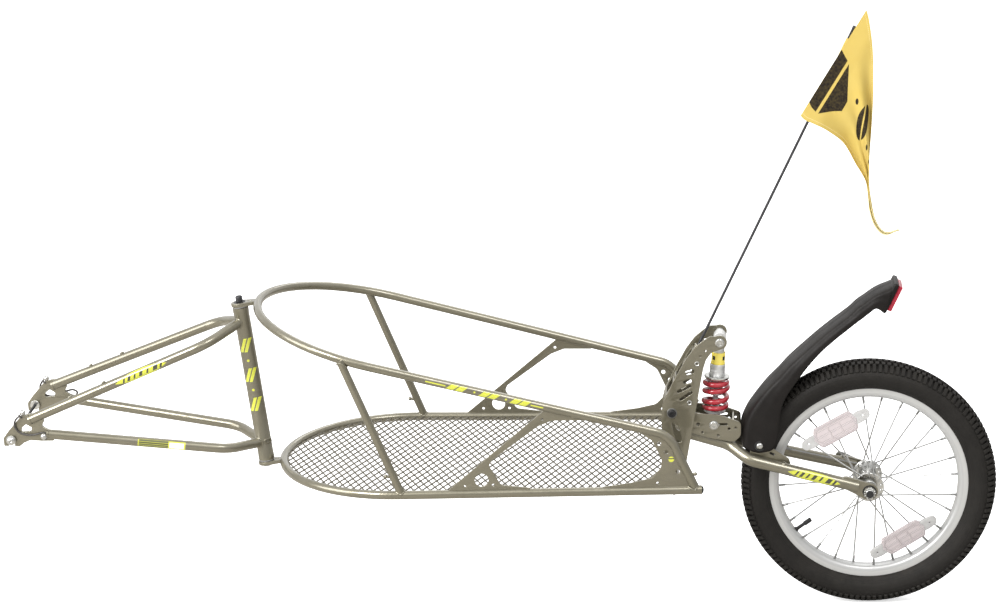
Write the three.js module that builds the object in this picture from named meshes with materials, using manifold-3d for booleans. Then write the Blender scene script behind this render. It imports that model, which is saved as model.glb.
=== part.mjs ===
// Single wheel touring trailer: fork that hangs on a bicycle axle, tubular cargo frame with a net floor,
// sprung swingarm with a small spoked wheel, fender, reflectors and a safety flag.
// Millimetres. +X runs rearwards, +Y to the trailer's right, +Z up. Origin: middle of the hitch axle line.
import * as THREE from 'three';
import { mergeVertices } from 'three/addons/utils/BufferGeometryUtils.js';
import Module from 'manifold-3d';

const wasm = await Module();
wasm.setup();

// Clearances and fineness of curves
const GAP = 0.3;
const MERGE_DISTANCE = 0.0001;
const CUT_OVERRUN = 40;
const BEND_STEP_DEGREES = 22.5;
const ARC_STEP = 36;
const TUBE_SIDES = 8;
const ROUND_SIDES = 12;
const HOLE_SIDES = 10;
const SMALL_SIDES = 6;
const WHEEL_SIDES = 32;

// Fork and head
const FORK_REACH = 382.6;
const HEAD_CENTRE_RISE = 61;
const HEAD_TILT_DEGREES = 6.4;
const HEAD_LENGTH = 260;
const HEAD_RADIUS = 12.7;
const HEAD_WALL = 1.6;
const BUSHING_FLANGE = 2;
const BUSHING_DEPTH = 18;
const HEAD_BOLT_RADIUS = 5;
const HEAD_BOLT_CAP_RADIUS = 5.6;
const HEAD_BOLT_CAP_HEIGHT = 10;
const HEAD_NUT_RADIUS = 8;
const HEAD_NUT_HEIGHT = 6;
const BRACKET_THICKNESS = 6;
const BRACKET_RADIUS = 13.5;
const BRACKET_REACH = 31;
const BRACKET_NECK_RADIUS = 10;
const BRACKET_SLOT_LENGTH = 8;
const BRACKET_SLOT_RADIUS = 2.2;
const LOWER_NOSE_LIFT = 6.6;
const FORK_TUBE_RADIUS = 8;
const DROPOUT_HALF_SPACING = 92;
const DROPOUT_THICKNESS = 6;
const DROPOUT_LENGTH = 64;
const DROPOUT_HEIGHT = 44;
const UPPER_ARM_START = 34;
const UPPER_ARM_START_RISE = 33;
const UPPER_ARM_SLOT = 22;
const UPPER_BEND_FROM_HEAD = 72;
const UPPER_BEND_HALF_WIDTH = 79;
const UPPER_BEND_RISE = 148;
const UPPER_JOIN_RISE = 166;
const LOWER_ARM_START = 61;
const LOWER_ARM_START_RISE = 4;
const LOWER_ARM_SLOT = 11;
const LOWER_BEND_FROM_HEAD = 47;
const LOWER_BEND_HALF_WIDTH = 67;
const LOWER_BEND_DROP = 28;
const LOWER_JOIN_DROP = 33;
const FORK_BEND_RADIUS = 42;

// Hitch axle, bobbins, retaining pins and their lanyards
const HITCH_ROD_RADIUS = 2.5;
const BOBBIN_NECK_RADIUS = 5;
const BOBBIN_FLANGE_RADIUS = 8;
const BOBBIN_FLANGE_WIDTH = 5;
const BOBBIN_DOME_DEPTH = 4.5;
const PIN_RADIUS = 1.6;
const PIN_KNOB_RADIUS = 5;
const PIN_DIRECTION = new THREE.Vector3(0.42, 0, 0.9075).normalize();
const PIN_SEAT = 43.9;
const LANYARD_RADIUS = 1.4;
const LANYARD_BOLT_RADIUS = 3.4;
const LANYARD_BOLT_HEAD = 4;

// Cargo frame
const RAIL_RADIUS = 7;
const BED_LENGTH = 680;
const FRONT_HALF_WIDTH = 205;
const REAR_HALF_WIDTH = 185;
const BOW_SHARE = 0.878;
const KNEE_RISE = 90.94;
const KNEE_INSET = 50;
const KNEE_RADIUS = 45;
const FOOT_INSET = 11;
const STRUT_RADIUS = 6.35;
const STRUT_TOP_SHARE = 0.225;
const STRUT_FOOT_SHARE = 0.3103;
const HOOK_RADIUS = 2.6;
const HOOK_LENGTH = 13;
const STRUT_HOOK_SHARE = 0.87;
const REAR_HOOK_SHARE = 0.62;
const CROSS_TUBE_RADIUS = 7;
const CROSS_TUBE_INSET = 43;
const GUSSET_THICKNESS = 3;
const GUSSET_TIP_SHARE = 0.4632;
const GUSSET_TOP_SHARE = 0.6853;
const GUSSET_STRIP_SHARE = 0.0868;
const GUSSET_HOLE_RADIUS = 11;
const GUSSET_BOLT_HOLE_RADIUS = 2.2;
const REAR_GUSSET_SHARE = 0.2103;
const REAR_GUSSET_TOP = 84;
const REAR_GUSSET_HOLE_RADIUS = 3.6;
const NET_THICKNESS = 2;
const NET_STRAND = 3.4;
const NET_CELL_LENGTH = 40;
const NET_CELL_WIDTH = 88;
const NET_BORDER = 5;

// Shock tower
const TOWER_INNER_HALF = 29.5;
const TOWER_PLATE = 3.5;
const TOWER_FRONT_INSET = 21;
const TOWER_REACH = 94.5;
const TOWER_HEIGHT = 193;
const TOWER_BOSS_RADIUS = 11;
const TOWER_FOOT_DROP = 12;
const WEB_THICKNESS = 3;
const WEB_LOW_RISE = 100;
const WEB_HIGH_RISE = 172;
const PIVOT_RISE = 76;
const PIVOT_INSET = 4.5;
const PIVOT_RADIUS = 6;
const PIVOT_SLEEVE_RADIUS = 10;
const PIVOT_HEAD_RADIUS = 9;
const BOLT_HEAD_DEPTH = 5;
const SHOCK_BOLT_RADIUS = 4;
const SHOCK_BOLT_HEAD_RADIUS = 7.5;
const SMALL_BOLT_HOLE_RADIUS = 2.4;

// Flag
const POLE_RADIUS = 3;
const POLE_LENGTH = 634;
const POLE_LEAN_DEGREES = 25.92;
const POLE_SEAT_AHEAD = 51.5;
const POLE_SEAT_BELOW = 49;
const SOCKET_RADIUS = 6;
const SOCKET_DEPTH = 40;
const SOCKET_FLOOR = 4;
const FLAG_HOIST = 200;
const FLAG_TOP_INSET = 3;
const FLAG_THICKNESS = 1.6;
const FLAG_SLEEVE_WALL = 1.3;
const FLAG_FOLD_DEPTH = 13;
const FLAG_FOLDS = 1.5;
const FLAG_ROWS = 10;
const FLAG_COLUMNS = 12;

// Swingarm
const SWING_REACH = 313.5;
const SWING_DROP = 128;
const BOX_PLATE = 3;
const BOX_SIDE_GAP = 0.7;
const BOX_CLEARANCE = 2;
const BOX_TOP = 15;
const SHOCK_FOOT_BACK = 66.5;
const SHOCK_FOOT_DROP = 22;
const BRIDGE_INSET = 9;
const LEG_RADIUS = 9.5;
const LEG_START_BACK = 18;
const LEG_START_DROP = 33;
const LEG_BEND_INSET = 17;
const LEG_BEND_DROP = 55;
const LEG_SHOULDER_BACK = 17;
const LEG_SHOULDER_DROP = 77;
const LEG_SHOULDER_HALF_WIDTH = 43.5;
const LEG_END_AHEAD = 22;
const LEG_END_RISE = 9;
const LEG_BEND_RADIUS = 34;
const AXLE_SPACING = 100;
const REAR_DROPOUT_THICKNESS = 6;
const REAR_DROPOUT_RADIUS = 13;
const TAB_THICKNESS = 3.4;
const TAB_LENGTH = 44;
const TAB_HEIGHT = 34;
const TAB_FOOT_DEPTH_SHARE = 0.9;
const FENDER_HALF_WIDTH = 38;
const FENDER_WALL = 3;
const FENDER_BOLT_RADIUS = 3;
const FENDER_BOLT_HEAD_RADIUS = 5.5;
const FENDER_BOLT_HEAD_DEPTH = 3;
const TAIL_LENS_THICKNESS = 8;
const TAIL_LENS_HEIGHT = 44;
const TAIL_LENS_WIDTH = 46;

// Shock
const SHOCK_EYE_RADIUS = 12;
const SHOCK_EYE_HALF = 13;
const SHOCK_SPACER_RADIUS = 7;
const SHOCK_BODY_RADIUS = 12.5;
const SHOCK_NECK_RADIUS = 9.3;
const SHOCK_TUBE_RADIUS = 11;
const SHOCK_BORE_RADIUS = 8;
const SHOCK_SEAL_DEPTH = 4;
const COLLAR_TOP = 25;
const COLLAR_FOOT = 44;
const COLLAR_WALL = 1.5;
const PRELOAD_TOP = 64;
const PRELOAD_DEPTH = 5;
const PRELOAD_RADIUS = 20.5;
const SPRING_TOP = 69.5;
const SPRING_FOOT = 121.5;
const SPRING_RADIUS = 18.25;
const SPRING_WIRE_RADIUS = 4.25;
const SPRING_CURLS = 3.5;
const SPRING_STEPS_PER_CURL = 8;
const SPRING_WIRE_SIDES = 5;
const SPRING_END_CLOSE_SHARE = 0.45;
const SHOCK_TUBE_FOOT = 96;
const SHAFT_RADIUS = 4.5;
const SHAFT_GAP = 0.4;
const PISTON_TOP = 50;
const PISTON_DEPTH = 8;
const PERCH_DEPTH = 4;
const PERCH_RADIUS = 19;
const LOWER_EYE_RADIUS = 10;
const LOWER_EYE_HALF = 11;
const LOWER_SPACER_RADIUS = 6.6;
const LOWER_EYE_PLAY = 0.6;

// Wheel
const TYRE_RADIUS = 205;
const TYRE_HALF_WIDTH = 27;
const TYRE_WALL = 4.5;
const TYRE_SECTION = 46;
const RIM_HALF_WIDTH = 14;
const RIM_DEPTH = 15.5;
const RIM_WALL = 2.5;
const HUB_HALF_LENGTH = 38;
const HUB_BARREL_RADIUS = 12;
const HUB_BORE_RADIUS = 6.5;
const HUB_FLANGE_RADIUS = 24;
const HUB_FLANGE_THICKNESS = 3;
const HUB_FLANGE_INSET = 4;
const AXLE_RADIUS = 5;
const AXLE_BORE_RADIUS = 2.9;
const CONE_LENGTH = 9;
const LOCKNUT_RADIUS = 8;
const SPOKE_COUNT = 28;
const SPOKE_CROSSES = 2;
const SPOKE_RADIUS = 1;
const SPOKE_SIDES = 3;
const SPOKE_RING_WALL = 2.4;
const SPOKE_RIM_OFFSET = 4;
const VALVE_ANGLE_DEGREES = 215.5;
const VALVE_LENGTH = 30;
const VALVE_RADIUS = 2.8;
const VALVE_CAP_RADIUS = 3.8;
const VALVE_CAP_LENGTH = 13;
const REFLECTOR_LENGTH = 112;
const REFLECTOR_HEIGHT = 34;
const REFLECTOR_THICKNESS = 6;
const REFLECTOR_INSET = 38.5;
const REFLECTOR_ANGLES_DEGREES = [119.4, 301.5];
const SKEWER_RADIUS = 2.5;
const SKEWER_NUT_RADIUS = 9.5;
const SKEWER_NUT_DEPTH = 11;
const SKEWER_BARREL_RADIUS = 9;
const SKEWER_BARREL_DEPTH = 10;
const LEVER_CAM_RADIUS = 6.5;
const LEVER_CAM_WIDTH = 12;
const LEVER_LENGTH = 52;
const LEVER_THICKNESS = 5;
const LEVER_ANGLE_DEGREES = 157.7;

// Finishes
const champagne = () => new THREE.MeshStandardMaterial({ color: 0x8f8873, roughness: 0.42, metalness: 0.55 });
const silver = () => new THREE.MeshStandardMaterial({ color: 0xc4c4c2, roughness: 0.3, metalness: 0.95 });
const darkSteel = () => new THREE.MeshStandardMaterial({ color: 0x35342f, roughness: 0.45, metalness: 0.7 });
const blackPlastic = () => new THREE.MeshStandardMaterial({ color: 0x37322f, roughness: 0.6, metalness: 0 });
const tyreRubber = () => new THREE.MeshStandardMaterial({ color: 0x332f2c, roughness: 0.85, metalness: 0 });
const springRed = () => new THREE.MeshStandardMaterial({ color: 0xbe1e2d, roughness: 0.35, metalness: 0.1 });
const collarYellow = () => new THREE.MeshStandardMaterial({ color: 0xe8c828, roughness: 0.5, metalness: 0 });
const flagYellow = () => new THREE.MeshStandardMaterial({ color: 0xebcd50, roughness: 0.8, metalness: 0 });
const lensRed = () => new THREE.MeshStandardMaterial({ color: 0xb0141e, roughness: 0.2, metalness: 0 });
const lensClear = () => new THREE.MeshStandardMaterial({ color: 0xcfc9c6, roughness: 0.25, metalness: 0 });
const netGrey = () => new THREE.MeshStandardMaterial({ color: 0x77736a, roughness: 0.5, metalness: 0.6 });

const radians = THREE.MathUtils.degToRad;
const vec = (x, y, z) => new THREE.Vector3(x, y, z);
const sides = [['left', -1], ['right', 1]];

// Closed geometry with shared corners and no flat slivers, its faces turned outwards
function tidy(geometry) {
  let bare = geometry.clone();
  bare.deleteAttribute('normal');
  bare.deleteAttribute('uv');
  bare = mergeVertices(bare, MERGE_DISTANCE);
  const index = bare.index.array;
  const kept = [];
  for (let i = 0; i < index.length; i += 3) {
    const [a, b, c] = [index[i], index[i + 1], index[i + 2]];
    if (a !== b && b !== c && c !== a) kept.push(a, b, c);
  }
  bare.setIndex(kept);
  if (signedVolume(bare) < 0) {
    for (let i = 0; i < kept.length; i += 3) [kept[i], kept[i + 1]] = [kept[i + 1], kept[i]];
    bare.setIndex(kept);
  }
  return bare;
}

function signedVolume(geometry) {
  const position = geometry.attributes.position;
  const index = geometry.index.array;
  const corner = [vec(0, 0, 0), vec(0, 0, 0), vec(0, 0, 0)];
  let volume = 0;
  for (let i = 0; i < index.length; i += 3) {
    corner.forEach((point, k) => point.fromBufferAttribute(position, index[i + k]));
    volume += corner[0].dot(corner[1].clone().cross(corner[2])) / 6;
  }
  return volume;
}

function toSolid(geometry) {
  const closed = tidy(geometry);
  const vertProperties = new Float32Array(closed.attributes.position.array);
  const triVerts = new Uint32Array(closed.index.array);
  return new wasm.Manifold(new wasm.Mesh({ numProp: 3, vertProperties, triVerts }));
}

function toGeometry(solid) {
  const { vertProperties, triVerts } = solid.getMesh();
  const geometry = new THREE.BufferGeometry();
  geometry.setAttribute('position', new THREE.Float32BufferAttribute(vertProperties, 3));
  geometry.setIndex(Array.from(triVerts));
  return geometry;
}

const join = (first, ...rest) => toGeometry(rest.reduce((sum, part) => sum.add(toSolid(part)), toSolid(first)));
const cut = (base, ...tools) => toGeometry(tools.reduce((sum, tool) => sum.subtract(toSolid(tool)), toSolid(base)));
const overlap = (first, second) => toGeometry(toSolid(first).intersect(toSolid(second)));

function piece(name, geometry, material) {
  const closed = tidy(geometry);
  closed.computeVertexNormals();
  const mesh = new THREE.Mesh(closed, material);
  mesh.name = name;
  return mesh;
}

function group(...children) {
  const made = new THREE.Group();
  made.add(...children.flat());
  return made;
}

// Outline makers, as lists of [along, up]
function arc(x, z, radius, fromDegrees, toDegrees, steps = ROUND_SIDES) {
  const points = [];
  for (let i = 0; i <= steps; i += 1) {
    const angle = radians(fromDegrees + (toDegrees - fromDegrees) * i / steps);
    points.push([x + radius * Math.cos(angle), z + radius * Math.sin(angle)]);
  }
  return points;
}

const circle = (x, z, radius, steps = HOLE_SIDES) => arc(x, z, radius, 0, 360 * (steps - 1) / steps, steps - 1);

// Outline round two circles joined by straight sides; equal circles give a slot
function link([ax, az], ra, [bx, bz], rb, steps = HOLE_SIDES / 2) {
  const heading = THREE.MathUtils.radToDeg(Math.atan2(bz - az, bx - ax));
  const lean = THREE.MathUtils.radToDeg(Math.asin((ra - rb) / Math.hypot(bx - ax, bz - az)));
  return [
    ...arc(bx, bz, rb, heading - 90 + lean, heading + 90 - lean, steps),
    ...arc(ax, az, ra, heading + 90 - lean, heading + 270 + lean, steps),
  ];
}

const scaled = (shares, x, z, width, height) => shares.map(([s, t]) => [x + s * width, z + t * height]);

const shapeOf = (outline) => new THREE.Shape(outline.map(([x, z]) => new THREE.Vector2(x, z)));

// Level plate in the XY plane from one or more shapes, its thickness centred on z
function levelPlate(shapes, thickness, z = 0) {
  const geometry = new THREE.ExtrudeGeometry(shapes, { depth: thickness, bevelEnabled: false });
  return geometry.translate(0, 0, z - thickness / 2);
}

function pierced(outline, holes, thickness) {
  const blank = levelPlate(shapeOf(outline), thickness);
  return cut(blank, ...holes.map((hole) => levelPlate(shapeOf(hole), thickness * 2)));
}

// Upright plate in the XZ plane, its thickness centred on y
function uprightPlate(outline, holes, thickness, y = 0) {
  return pierced(outline, holes, thickness).rotateX(Math.PI / 2).translate(0, y, 0);
}

// Turned part about the Y axis from a closed list of [radius, y]
function turned(profile, segments = ROUND_SIDES) {
  const closed = [...profile, profile[0]];
  return tidy(new THREE.LatheGeometry(closed.map(([r, y]) => new THREE.Vector2(r, y)), segments));
}

const turnedUpright = (profile, segments) => turned(profile, segments).rotateX(Math.PI / 2);

function rod(from, to, radius, segments = ROUND_SIDES) {
  const along = to.clone().sub(from);
  const geometry = tidy(new THREE.CylinderGeometry(radius, radius, along.length(), segments));
  const turn = new THREE.Quaternion().setFromUnitVectors(vec(0, 1, 0), along.clone().normalize());
  const middle = from.clone().add(to).multiplyScalar(1 / 2);
  return geometry.applyQuaternion(turn).translate(middle.x, middle.y, middle.z);
}

function slab(width, depth, height, centre) {
  return new THREE.BoxGeometry(width, depth, height).translate(centre.x, centre.y, centre.z);
}

// Path given ring by ring: a point and its heading at every station
class StationPath extends THREE.Curve {
  constructor(stations) {
    super();
    this.stations = stations;
  }

  getPoint(t, target = vec(0, 0, 0)) {
    return target.copy(this.stations[Math.round(t * (this.stations.length - 1))].point);
  }

  getPointAt(t, target) {
    return this.getPoint(t, target);
  }

  getTangentAt(t, target = vec(0, 0, 0)) {
    return target.copy(this.stations[Math.round(t * (this.stations.length - 1))].heading);
  }
}

// Stations of a bent tube whose corners are given with their bend radii
function bentPath(corners) {
  const last = corners.length - 1;
  const heading = (i) => corners[i + 1].at.clone().sub(corners[i].at).normalize();
  const stations = [{ point: corners[0].at.clone(), heading: heading(0) }];
  for (let i = 1; i < last; i += 1) {
    const [into, out] = [heading(i - 1), heading(i)];
    const turn = into.angleTo(out);
    const radius = corners[i].bend;
    const inward = out.clone().sub(into.clone().multiplyScalar(into.dot(out))).normalize();
    const start = corners[i].at.clone().addScaledVector(into, -radius * Math.tan(turn / 2));
    const centre = start.clone().addScaledVector(inward, radius);
    const steps = Math.max(2, Math.ceil(turn / radians(BEND_STEP_DEGREES)), Math.ceil(radius * turn / ARC_STEP));
    for (let k = 0; k <= steps; k += 1) {
      const angle = turn * k / steps;
      const point = centre.clone().addScaledVector(inward, -radius * Math.cos(angle));
      point.addScaledVector(into, radius * Math.sin(angle));
      const direction = into.clone().multiplyScalar(Math.cos(angle)).addScaledVector(inward, Math.sin(angle));
      stations.push({ point, heading: direction });
    }
  }
  stations.push({ point: corners[last].at.clone(), heading: heading(last - 1) });
  return stations;
}

function tube(stations, radius, segments = TUBE_SIDES) {
  const options = { steps: stations.length - 1, bevelEnabled: false, extrudePath: new StationPath(stations) };
  return new THREE.ExtrudeGeometry(shapeOf(circle(0, 0, radius, segments)), options);
}

// Places that the pieces share
const headTilt = radians(HEAD_TILT_DEGREES);
const headMatrix = new THREE.Matrix4().makeRotationY(-headTilt).setPosition(FORK_REACH, 0, HEAD_CENTRE_RISE);
const headPoint = (x, y, z) => vec(x, y, z).applyMatrix4(headMatrix);
const headHalf = HEAD_LENGTH / 2;
const bracketMiddle = headHalf + BUSHING_FLANGE + GAP + BRACKET_THICKNESS / 2;
const topNose = headPoint(BRACKET_REACH, 0, bracketMiddle);
const lowNose = headPoint(BRACKET_REACH, 0, LOWER_NOSE_LIFT - bracketMiddle);
const bedLevel = lowNose.z;
const railEnd = lowNose.x + BED_LENGTH;
const crossX = railEnd - CROSS_TUBE_INSET;
const sideAngle = Math.atan((FRONT_HALF_WIDTH - REAR_HALF_WIDTH) / (railEnd - topNose.x));
const sideHalf = (x) => FRONT_HALF_WIDTH - (x - topNose.x) * Math.tan(sideAngle);
const kneeX = railEnd - KNEE_INSET;
const topSlope = (topNose.z - bedLevel - KNEE_RISE) / (kneeX - topNose.x);
const topRailRise = (x) => topNose.z - (x - topNose.x) * topSlope;
const bowRadius = FRONT_HALF_WIDTH * BOW_SHARE;
const rearGussetLength = BED_LENGTH * REAR_GUSSET_SHARE;
const footX = railEnd - FOOT_INSET;
const pivot = vec(crossX - PIVOT_INSET, 0, bedLevel + PIVOT_RISE);
const shockTop = vec(crossX - TOWER_FRONT_INSET + TOWER_REACH, 0, bedLevel + TOWER_HEIGHT);
const shockFoot = vec(pivot.x + SHOCK_FOOT_BACK, 0, pivot.z - SHOCK_FOOT_DROP);
const shockLength = shockTop.distanceTo(shockFoot);
const axle = vec(pivot.x + SWING_REACH, 0, pivot.z - SWING_DROP);
const boxOuter = TOWER_INNER_HALF - BOX_SIDE_GAP;
const boxInner = boxOuter - BOX_PLATE;
const boxRear = axle.x - TYRE_RADIUS - BOX_CLEARANCE;
const towerX = crossX - TOWER_FRONT_INSET;
const towerOuter = TOWER_INNER_HALF + TOWER_PLATE;
const poleLean = radians(POLE_LEAN_DEGREES);
const poleSeat = vec(shockTop.x - POLE_SEAT_AHEAD, 0, shockTop.z - POLE_SEAT_BELOW);
const fenderBolt = vec(axle.x - 0.849 * TYRE_RADIUS, 0, axle.z + 0.356 * TYRE_RADIUS);

// Rails: a low hoop that holds the net and a high hoop that comes down to meet it at the back
function railCorner(side, x, z, bend) {
  return { at: vec(x, side * sideHalf(x), z), bend };
}

const topRailPath = bentPath([
  railCorner(-1, footX, bedLevel),
  railCorner(-1, kneeX, topRailRise(kneeX), KNEE_RADIUS),
  railCorner(-1, topNose.x, topNose.z, bowRadius),
  railCorner(1, topNose.x, topNose.z, bowRadius),
  railCorner(1, kneeX, topRailRise(kneeX), KNEE_RADIUS),
  railCorner(1, footX, bedLevel),
]);

const lowRailPath = bentPath([
  railCorner(-1, railEnd, bedLevel),
  railCorner(-1, lowNose.x, bedLevel, bowRadius),
  railCorner(1, lowNose.x, bedLevel, bowRadius),
  railCorner(1, railEnd, bedLevel),
]);

const topRailRoom = tube(topRailPath, RAIL_RADIUS + GAP);
const lowRailRoom = tube(lowRailPath, RAIL_RADIUS + GAP);

function makeTopRail() {
  const hooks = sides.map(([, side]) => {
    const knee = vec(kneeX, side * sideHalf(kneeX), topRailRise(kneeX));
    const foot = vec(footX, side * sideHalf(footX), bedLevel);
    const root = knee.lerp(foot, REAR_HOOK_SHARE);
    return rod(root, root.clone().add(vec(HOOK_LENGTH, 0, HOOK_RADIUS)), HOOK_RADIUS, TUBE_SIDES);
  });
  return piece('top_rail', cut(join(tube(topRailPath, RAIL_RADIUS), ...hooks), lowRailRoom), champagne());
}

function makeStrut(label, side) {
  const topX = topNose.x + BED_LENGTH * STRUT_TOP_SHARE;
  const footXStrut = lowNose.x + BED_LENGTH * STRUT_FOOT_SHARE;
  const top = vec(topX, side * sideHalf(topX), topRailRise(topX));
  const foot = vec(footXStrut, side * sideHalf(footXStrut), bedLevel);
  const root = top.clone().lerp(foot, STRUT_HOOK_SHARE);
  const hook = rod(root, root.clone().add(vec(-HOOK_LENGTH, 0, HOOK_RADIUS)), HOOK_RADIUS, TUBE_SIDES);
  const bar = join(rod(top, foot, STRUT_RADIUS, TUBE_SIDES), hook);
  return piece(`strut_${label}`, cut(bar, topRailRoom, lowRailRoom), champagne());
}

// Gussets lie in the sides of the frame, in the corners between the two rails
const railClear = RAIL_RADIUS + GAP;
const underTopRail = (x) => topRailRise(x) - railClear * Math.hypot(1, topSlope);
const overLowRail = bedLevel + railClear;

function inSide(geometry, side) {
  const turn = new THREE.Matrix4().makeRotationZ(-side * sideAngle);
  turn.setPosition(topNose.x, side * FRONT_HALF_WIDTH, 0);
  return geometry.translate(-topNose.x, 0, 0).applyMatrix4(turn);
}

const FRONT_GUSSET_INNER_SHARES = [[1.086, 0.88], [0.94, 0.81], [0.444, 0.376], [0.417, 0.3], [0.45, 0.24], [0.536, 0.05]];
const FRONT_GUSSET_HOLE_SHARES = [0.34, 0.12];
const FRONT_GUSSET_BOLT_SHARES = [[0.17, 0.05], [0.46, 0.05], [0.93, 0.93]];
const FRONT_GUSSET_TOE_SHARE = 0.848;

function makeFrontGusset(label, side) {
  const tip = topNose.x + BED_LENGTH * GUSSET_TIP_SHARE;
  const top = topNose.x + BED_LENGTH * GUSSET_TOP_SHARE;
  const strip = BED_LENGTH * GUSSET_STRIP_SHARE;
  const span = top - tip;
  const height = underTopRail(top) - overLowRail;
  const outline = [
    [tip, overLowRail],
    [top, underTopRail(top)],
    [top + strip, underTopRail(top + strip)],
    ...scaled(FRONT_GUSSET_INNER_SHARES, tip, overLowRail, span, height),
    [tip + FRONT_GUSSET_TOE_SHARE * span, overLowRail],
  ];
  const [[holeX, holeZ]] = scaled([FRONT_GUSSET_HOLE_SHARES], tip, overLowRail, span, height);
  const bolts = scaled(FRONT_GUSSET_BOLT_SHARES, tip, overLowRail, span, height);
  const holes = [
    circle(holeX, holeZ, GUSSET_HOLE_RADIUS, ROUND_SIDES),
    ...bolts.map(([x, z]) => circle(x, z, GUSSET_BOLT_HOLE_RADIUS, SMALL_SIDES)),
  ];
  const blank = uprightPlate(outline, holes, GUSSET_THICKNESS);
  return piece(`front_gusset_${label}`, inSide(blank, side), champagne());
}

const REAR_GUSSET_FRONT_SHARES = [[0.308, 0.07], [0.53, 0.155], [0.643, 0.357], [0.65, 0.524], [0.552, 0.893]];
const REAR_GUSSET_HOLE_SHARES = [[0.622, 0.83], [0.7, 0.67], [0.82, 0.28], [0.6, 0.06]];
const REAR_GUSSET_TOP_SHARE = 0.41;

function makeRearGusset(label, side) {
  const start = footX - rearGussetLength;
  const meet = start + REAR_GUSSET_TOP_SHARE * rearGussetLength;
  const rail = bentPath([
    { at: vec(meet, 0, topRailRise(meet)) },
    { at: vec(kneeX, 0, topRailRise(kneeX)), bend: KNEE_RADIUS },
    { at: vec(footX, 0, bedLevel) },
  ]);
  const inner = rail.map(({ point, heading }) => [point.x + heading.z * railClear, point.z - heading.x * railClear]);
  const [lastX, lastZ] = inner[inner.length - 1];
  const [aboveX, aboveZ] = inner[inner.length - 2];
  const share = (overLowRail - lastZ) / (aboveZ - lastZ);
  inner[inner.length - 1] = [lastX + share * (aboveX - lastX), overLowRail];
  const outline = [
    [start, overLowRail],
    ...scaled(REAR_GUSSET_FRONT_SHARES, start, overLowRail, rearGussetLength, REAR_GUSSET_TOP),
    ...inner,
  ];
  const holes = scaled(REAR_GUSSET_HOLE_SHARES, start, overLowRail, rearGussetLength, REAR_GUSSET_TOP)
    .map(([x, z], i) => circle(x, z, i === 3 ? GUSSET_BOLT_HOLE_RADIUS : REAR_GUSSET_HOLE_RADIUS, SMALL_SIDES));
  const blank = uprightPlate(outline, holes, GUSSET_THICKNESS);
  return piece(`rear_gusset_${label}`, inSide(blank, side), champagne());
}

function makeCrossTube() {
  const reach = sideHalf(crossX);
  const bar = rod(vec(crossX, -reach, bedLevel), vec(crossX, reach, bedLevel), CROSS_TUBE_RADIUS);
  return piece('rear_cross_tube', cut(bar, lowRailRoom), champagne());
}

// Net floor inside the low rail
function netEdge(inset) {
  const border = inset - railClear;
  const back = crossX - CROSS_TUBE_RADIUS - GAP - border;
  const notch = { x: towerX - GAP - border, half: towerOuter + GAP + border };
  const edge = lowRailPath.map(({ point, heading }) => [point.x + heading.y * inset, point.y - heading.x * inset]);
  const inside = edge.filter(([x]) => x < back);
  const rearHalf = sideHalf(back) - inset;
  return [[notch.x, -notch.half], [back, -notch.half], [back, -rearHalf], ...inside, [back, rearHalf],
    [back, notch.half], [notch.x, notch.half]];
}

function makeNet() {
  const sheet = levelPlate(shapeOf(netEdge(railClear)), NET_THICKNESS, bedLevel);
  const room = levelPlate(shapeOf(netEdge(railClear + NET_BORDER)), NET_THICKNESS + CUT_OVERRUN, bedLevel);
  const [halfLength, halfWidth] = [NET_CELL_LENGTH / 2, NET_CELL_WIDTH / 2];
  const open = 1 - (NET_STRAND / 2) * Math.hypot(halfLength, halfWidth) / (halfLength * halfWidth);
  const rows = Math.ceil(FRONT_HALF_WIDTH / halfWidth);
  const columns = Math.ceil(BED_LENGTH / halfLength);
  const cells = [];
  for (let row = -rows; row <= rows; row += 1) {
    for (let column = 0; column <= columns; column += 1) {
      if ((row + column) % 2 !== 0) continue;
      const [x, y] = [lowNose.x + column * halfLength, row * halfWidth];
      const [across, along] = [open * halfLength, open * halfWidth];
      cells.push(shapeOf([[x - across, y], [x, y - along], [x + across, y], [x, y + along]]));
    }
  }
  const openings = overlap(levelPlate(cells, NET_THICKNESS + CUT_OVERRUN / 2, bedLevel), room);
  return piece('bed_net', cut(sheet, openings), netGrey());
}

// Head: two brackets on the frame carry a long bolt that the fork's head tube turns on
function makeBracket(name, sign, railRoom) {
  const reach = BRACKET_REACH;
  const outline = link([0, 0], BRACKET_RADIUS, [reach, 0], BRACKET_NECK_RADIUS);
  const slotStart = BRACKET_RADIUS + BRACKET_SLOT_RADIUS / 2;
  const slotEnd = slotStart + BRACKET_SLOT_LENGTH - BRACKET_SLOT_RADIUS * 2;
  const holes = [
    circle(0, 0, HEAD_BOLT_RADIUS + GAP),
    link([slotStart, 0], BRACKET_SLOT_RADIUS, [slotEnd, 0], BRACKET_SLOT_RADIUS, TUBE_SIDES / 2),
  ];
  const blank = pierced(outline, holes, BRACKET_THICKNESS).translate(0, 0, sign * bracketMiddle);
  blank.applyMatrix4(headMatrix);
  const beyond = sign > 0 ? topNose : lowNose;
  const trim = slab(CUT_OVERRUN, CUT_OVERRUN, CUT_OVERRUN, vec(beyond.x + CUT_OVERRUN / 2, 0, beyond.z));
  return piece(name, cut(blank, railRoom, trim), champagne());
}

function makeHeadTube() {
  const inner = HEAD_RADIUS - HEAD_WALL;
  const profile = [[inner, -headHalf], [HEAD_RADIUS, -headHalf], [HEAD_RADIUS, headHalf], [inner, headHalf]];
  return piece('head_tube', turnedUpright(profile, ROUND_SIDES).applyMatrix4(headMatrix), champagne());
}

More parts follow.
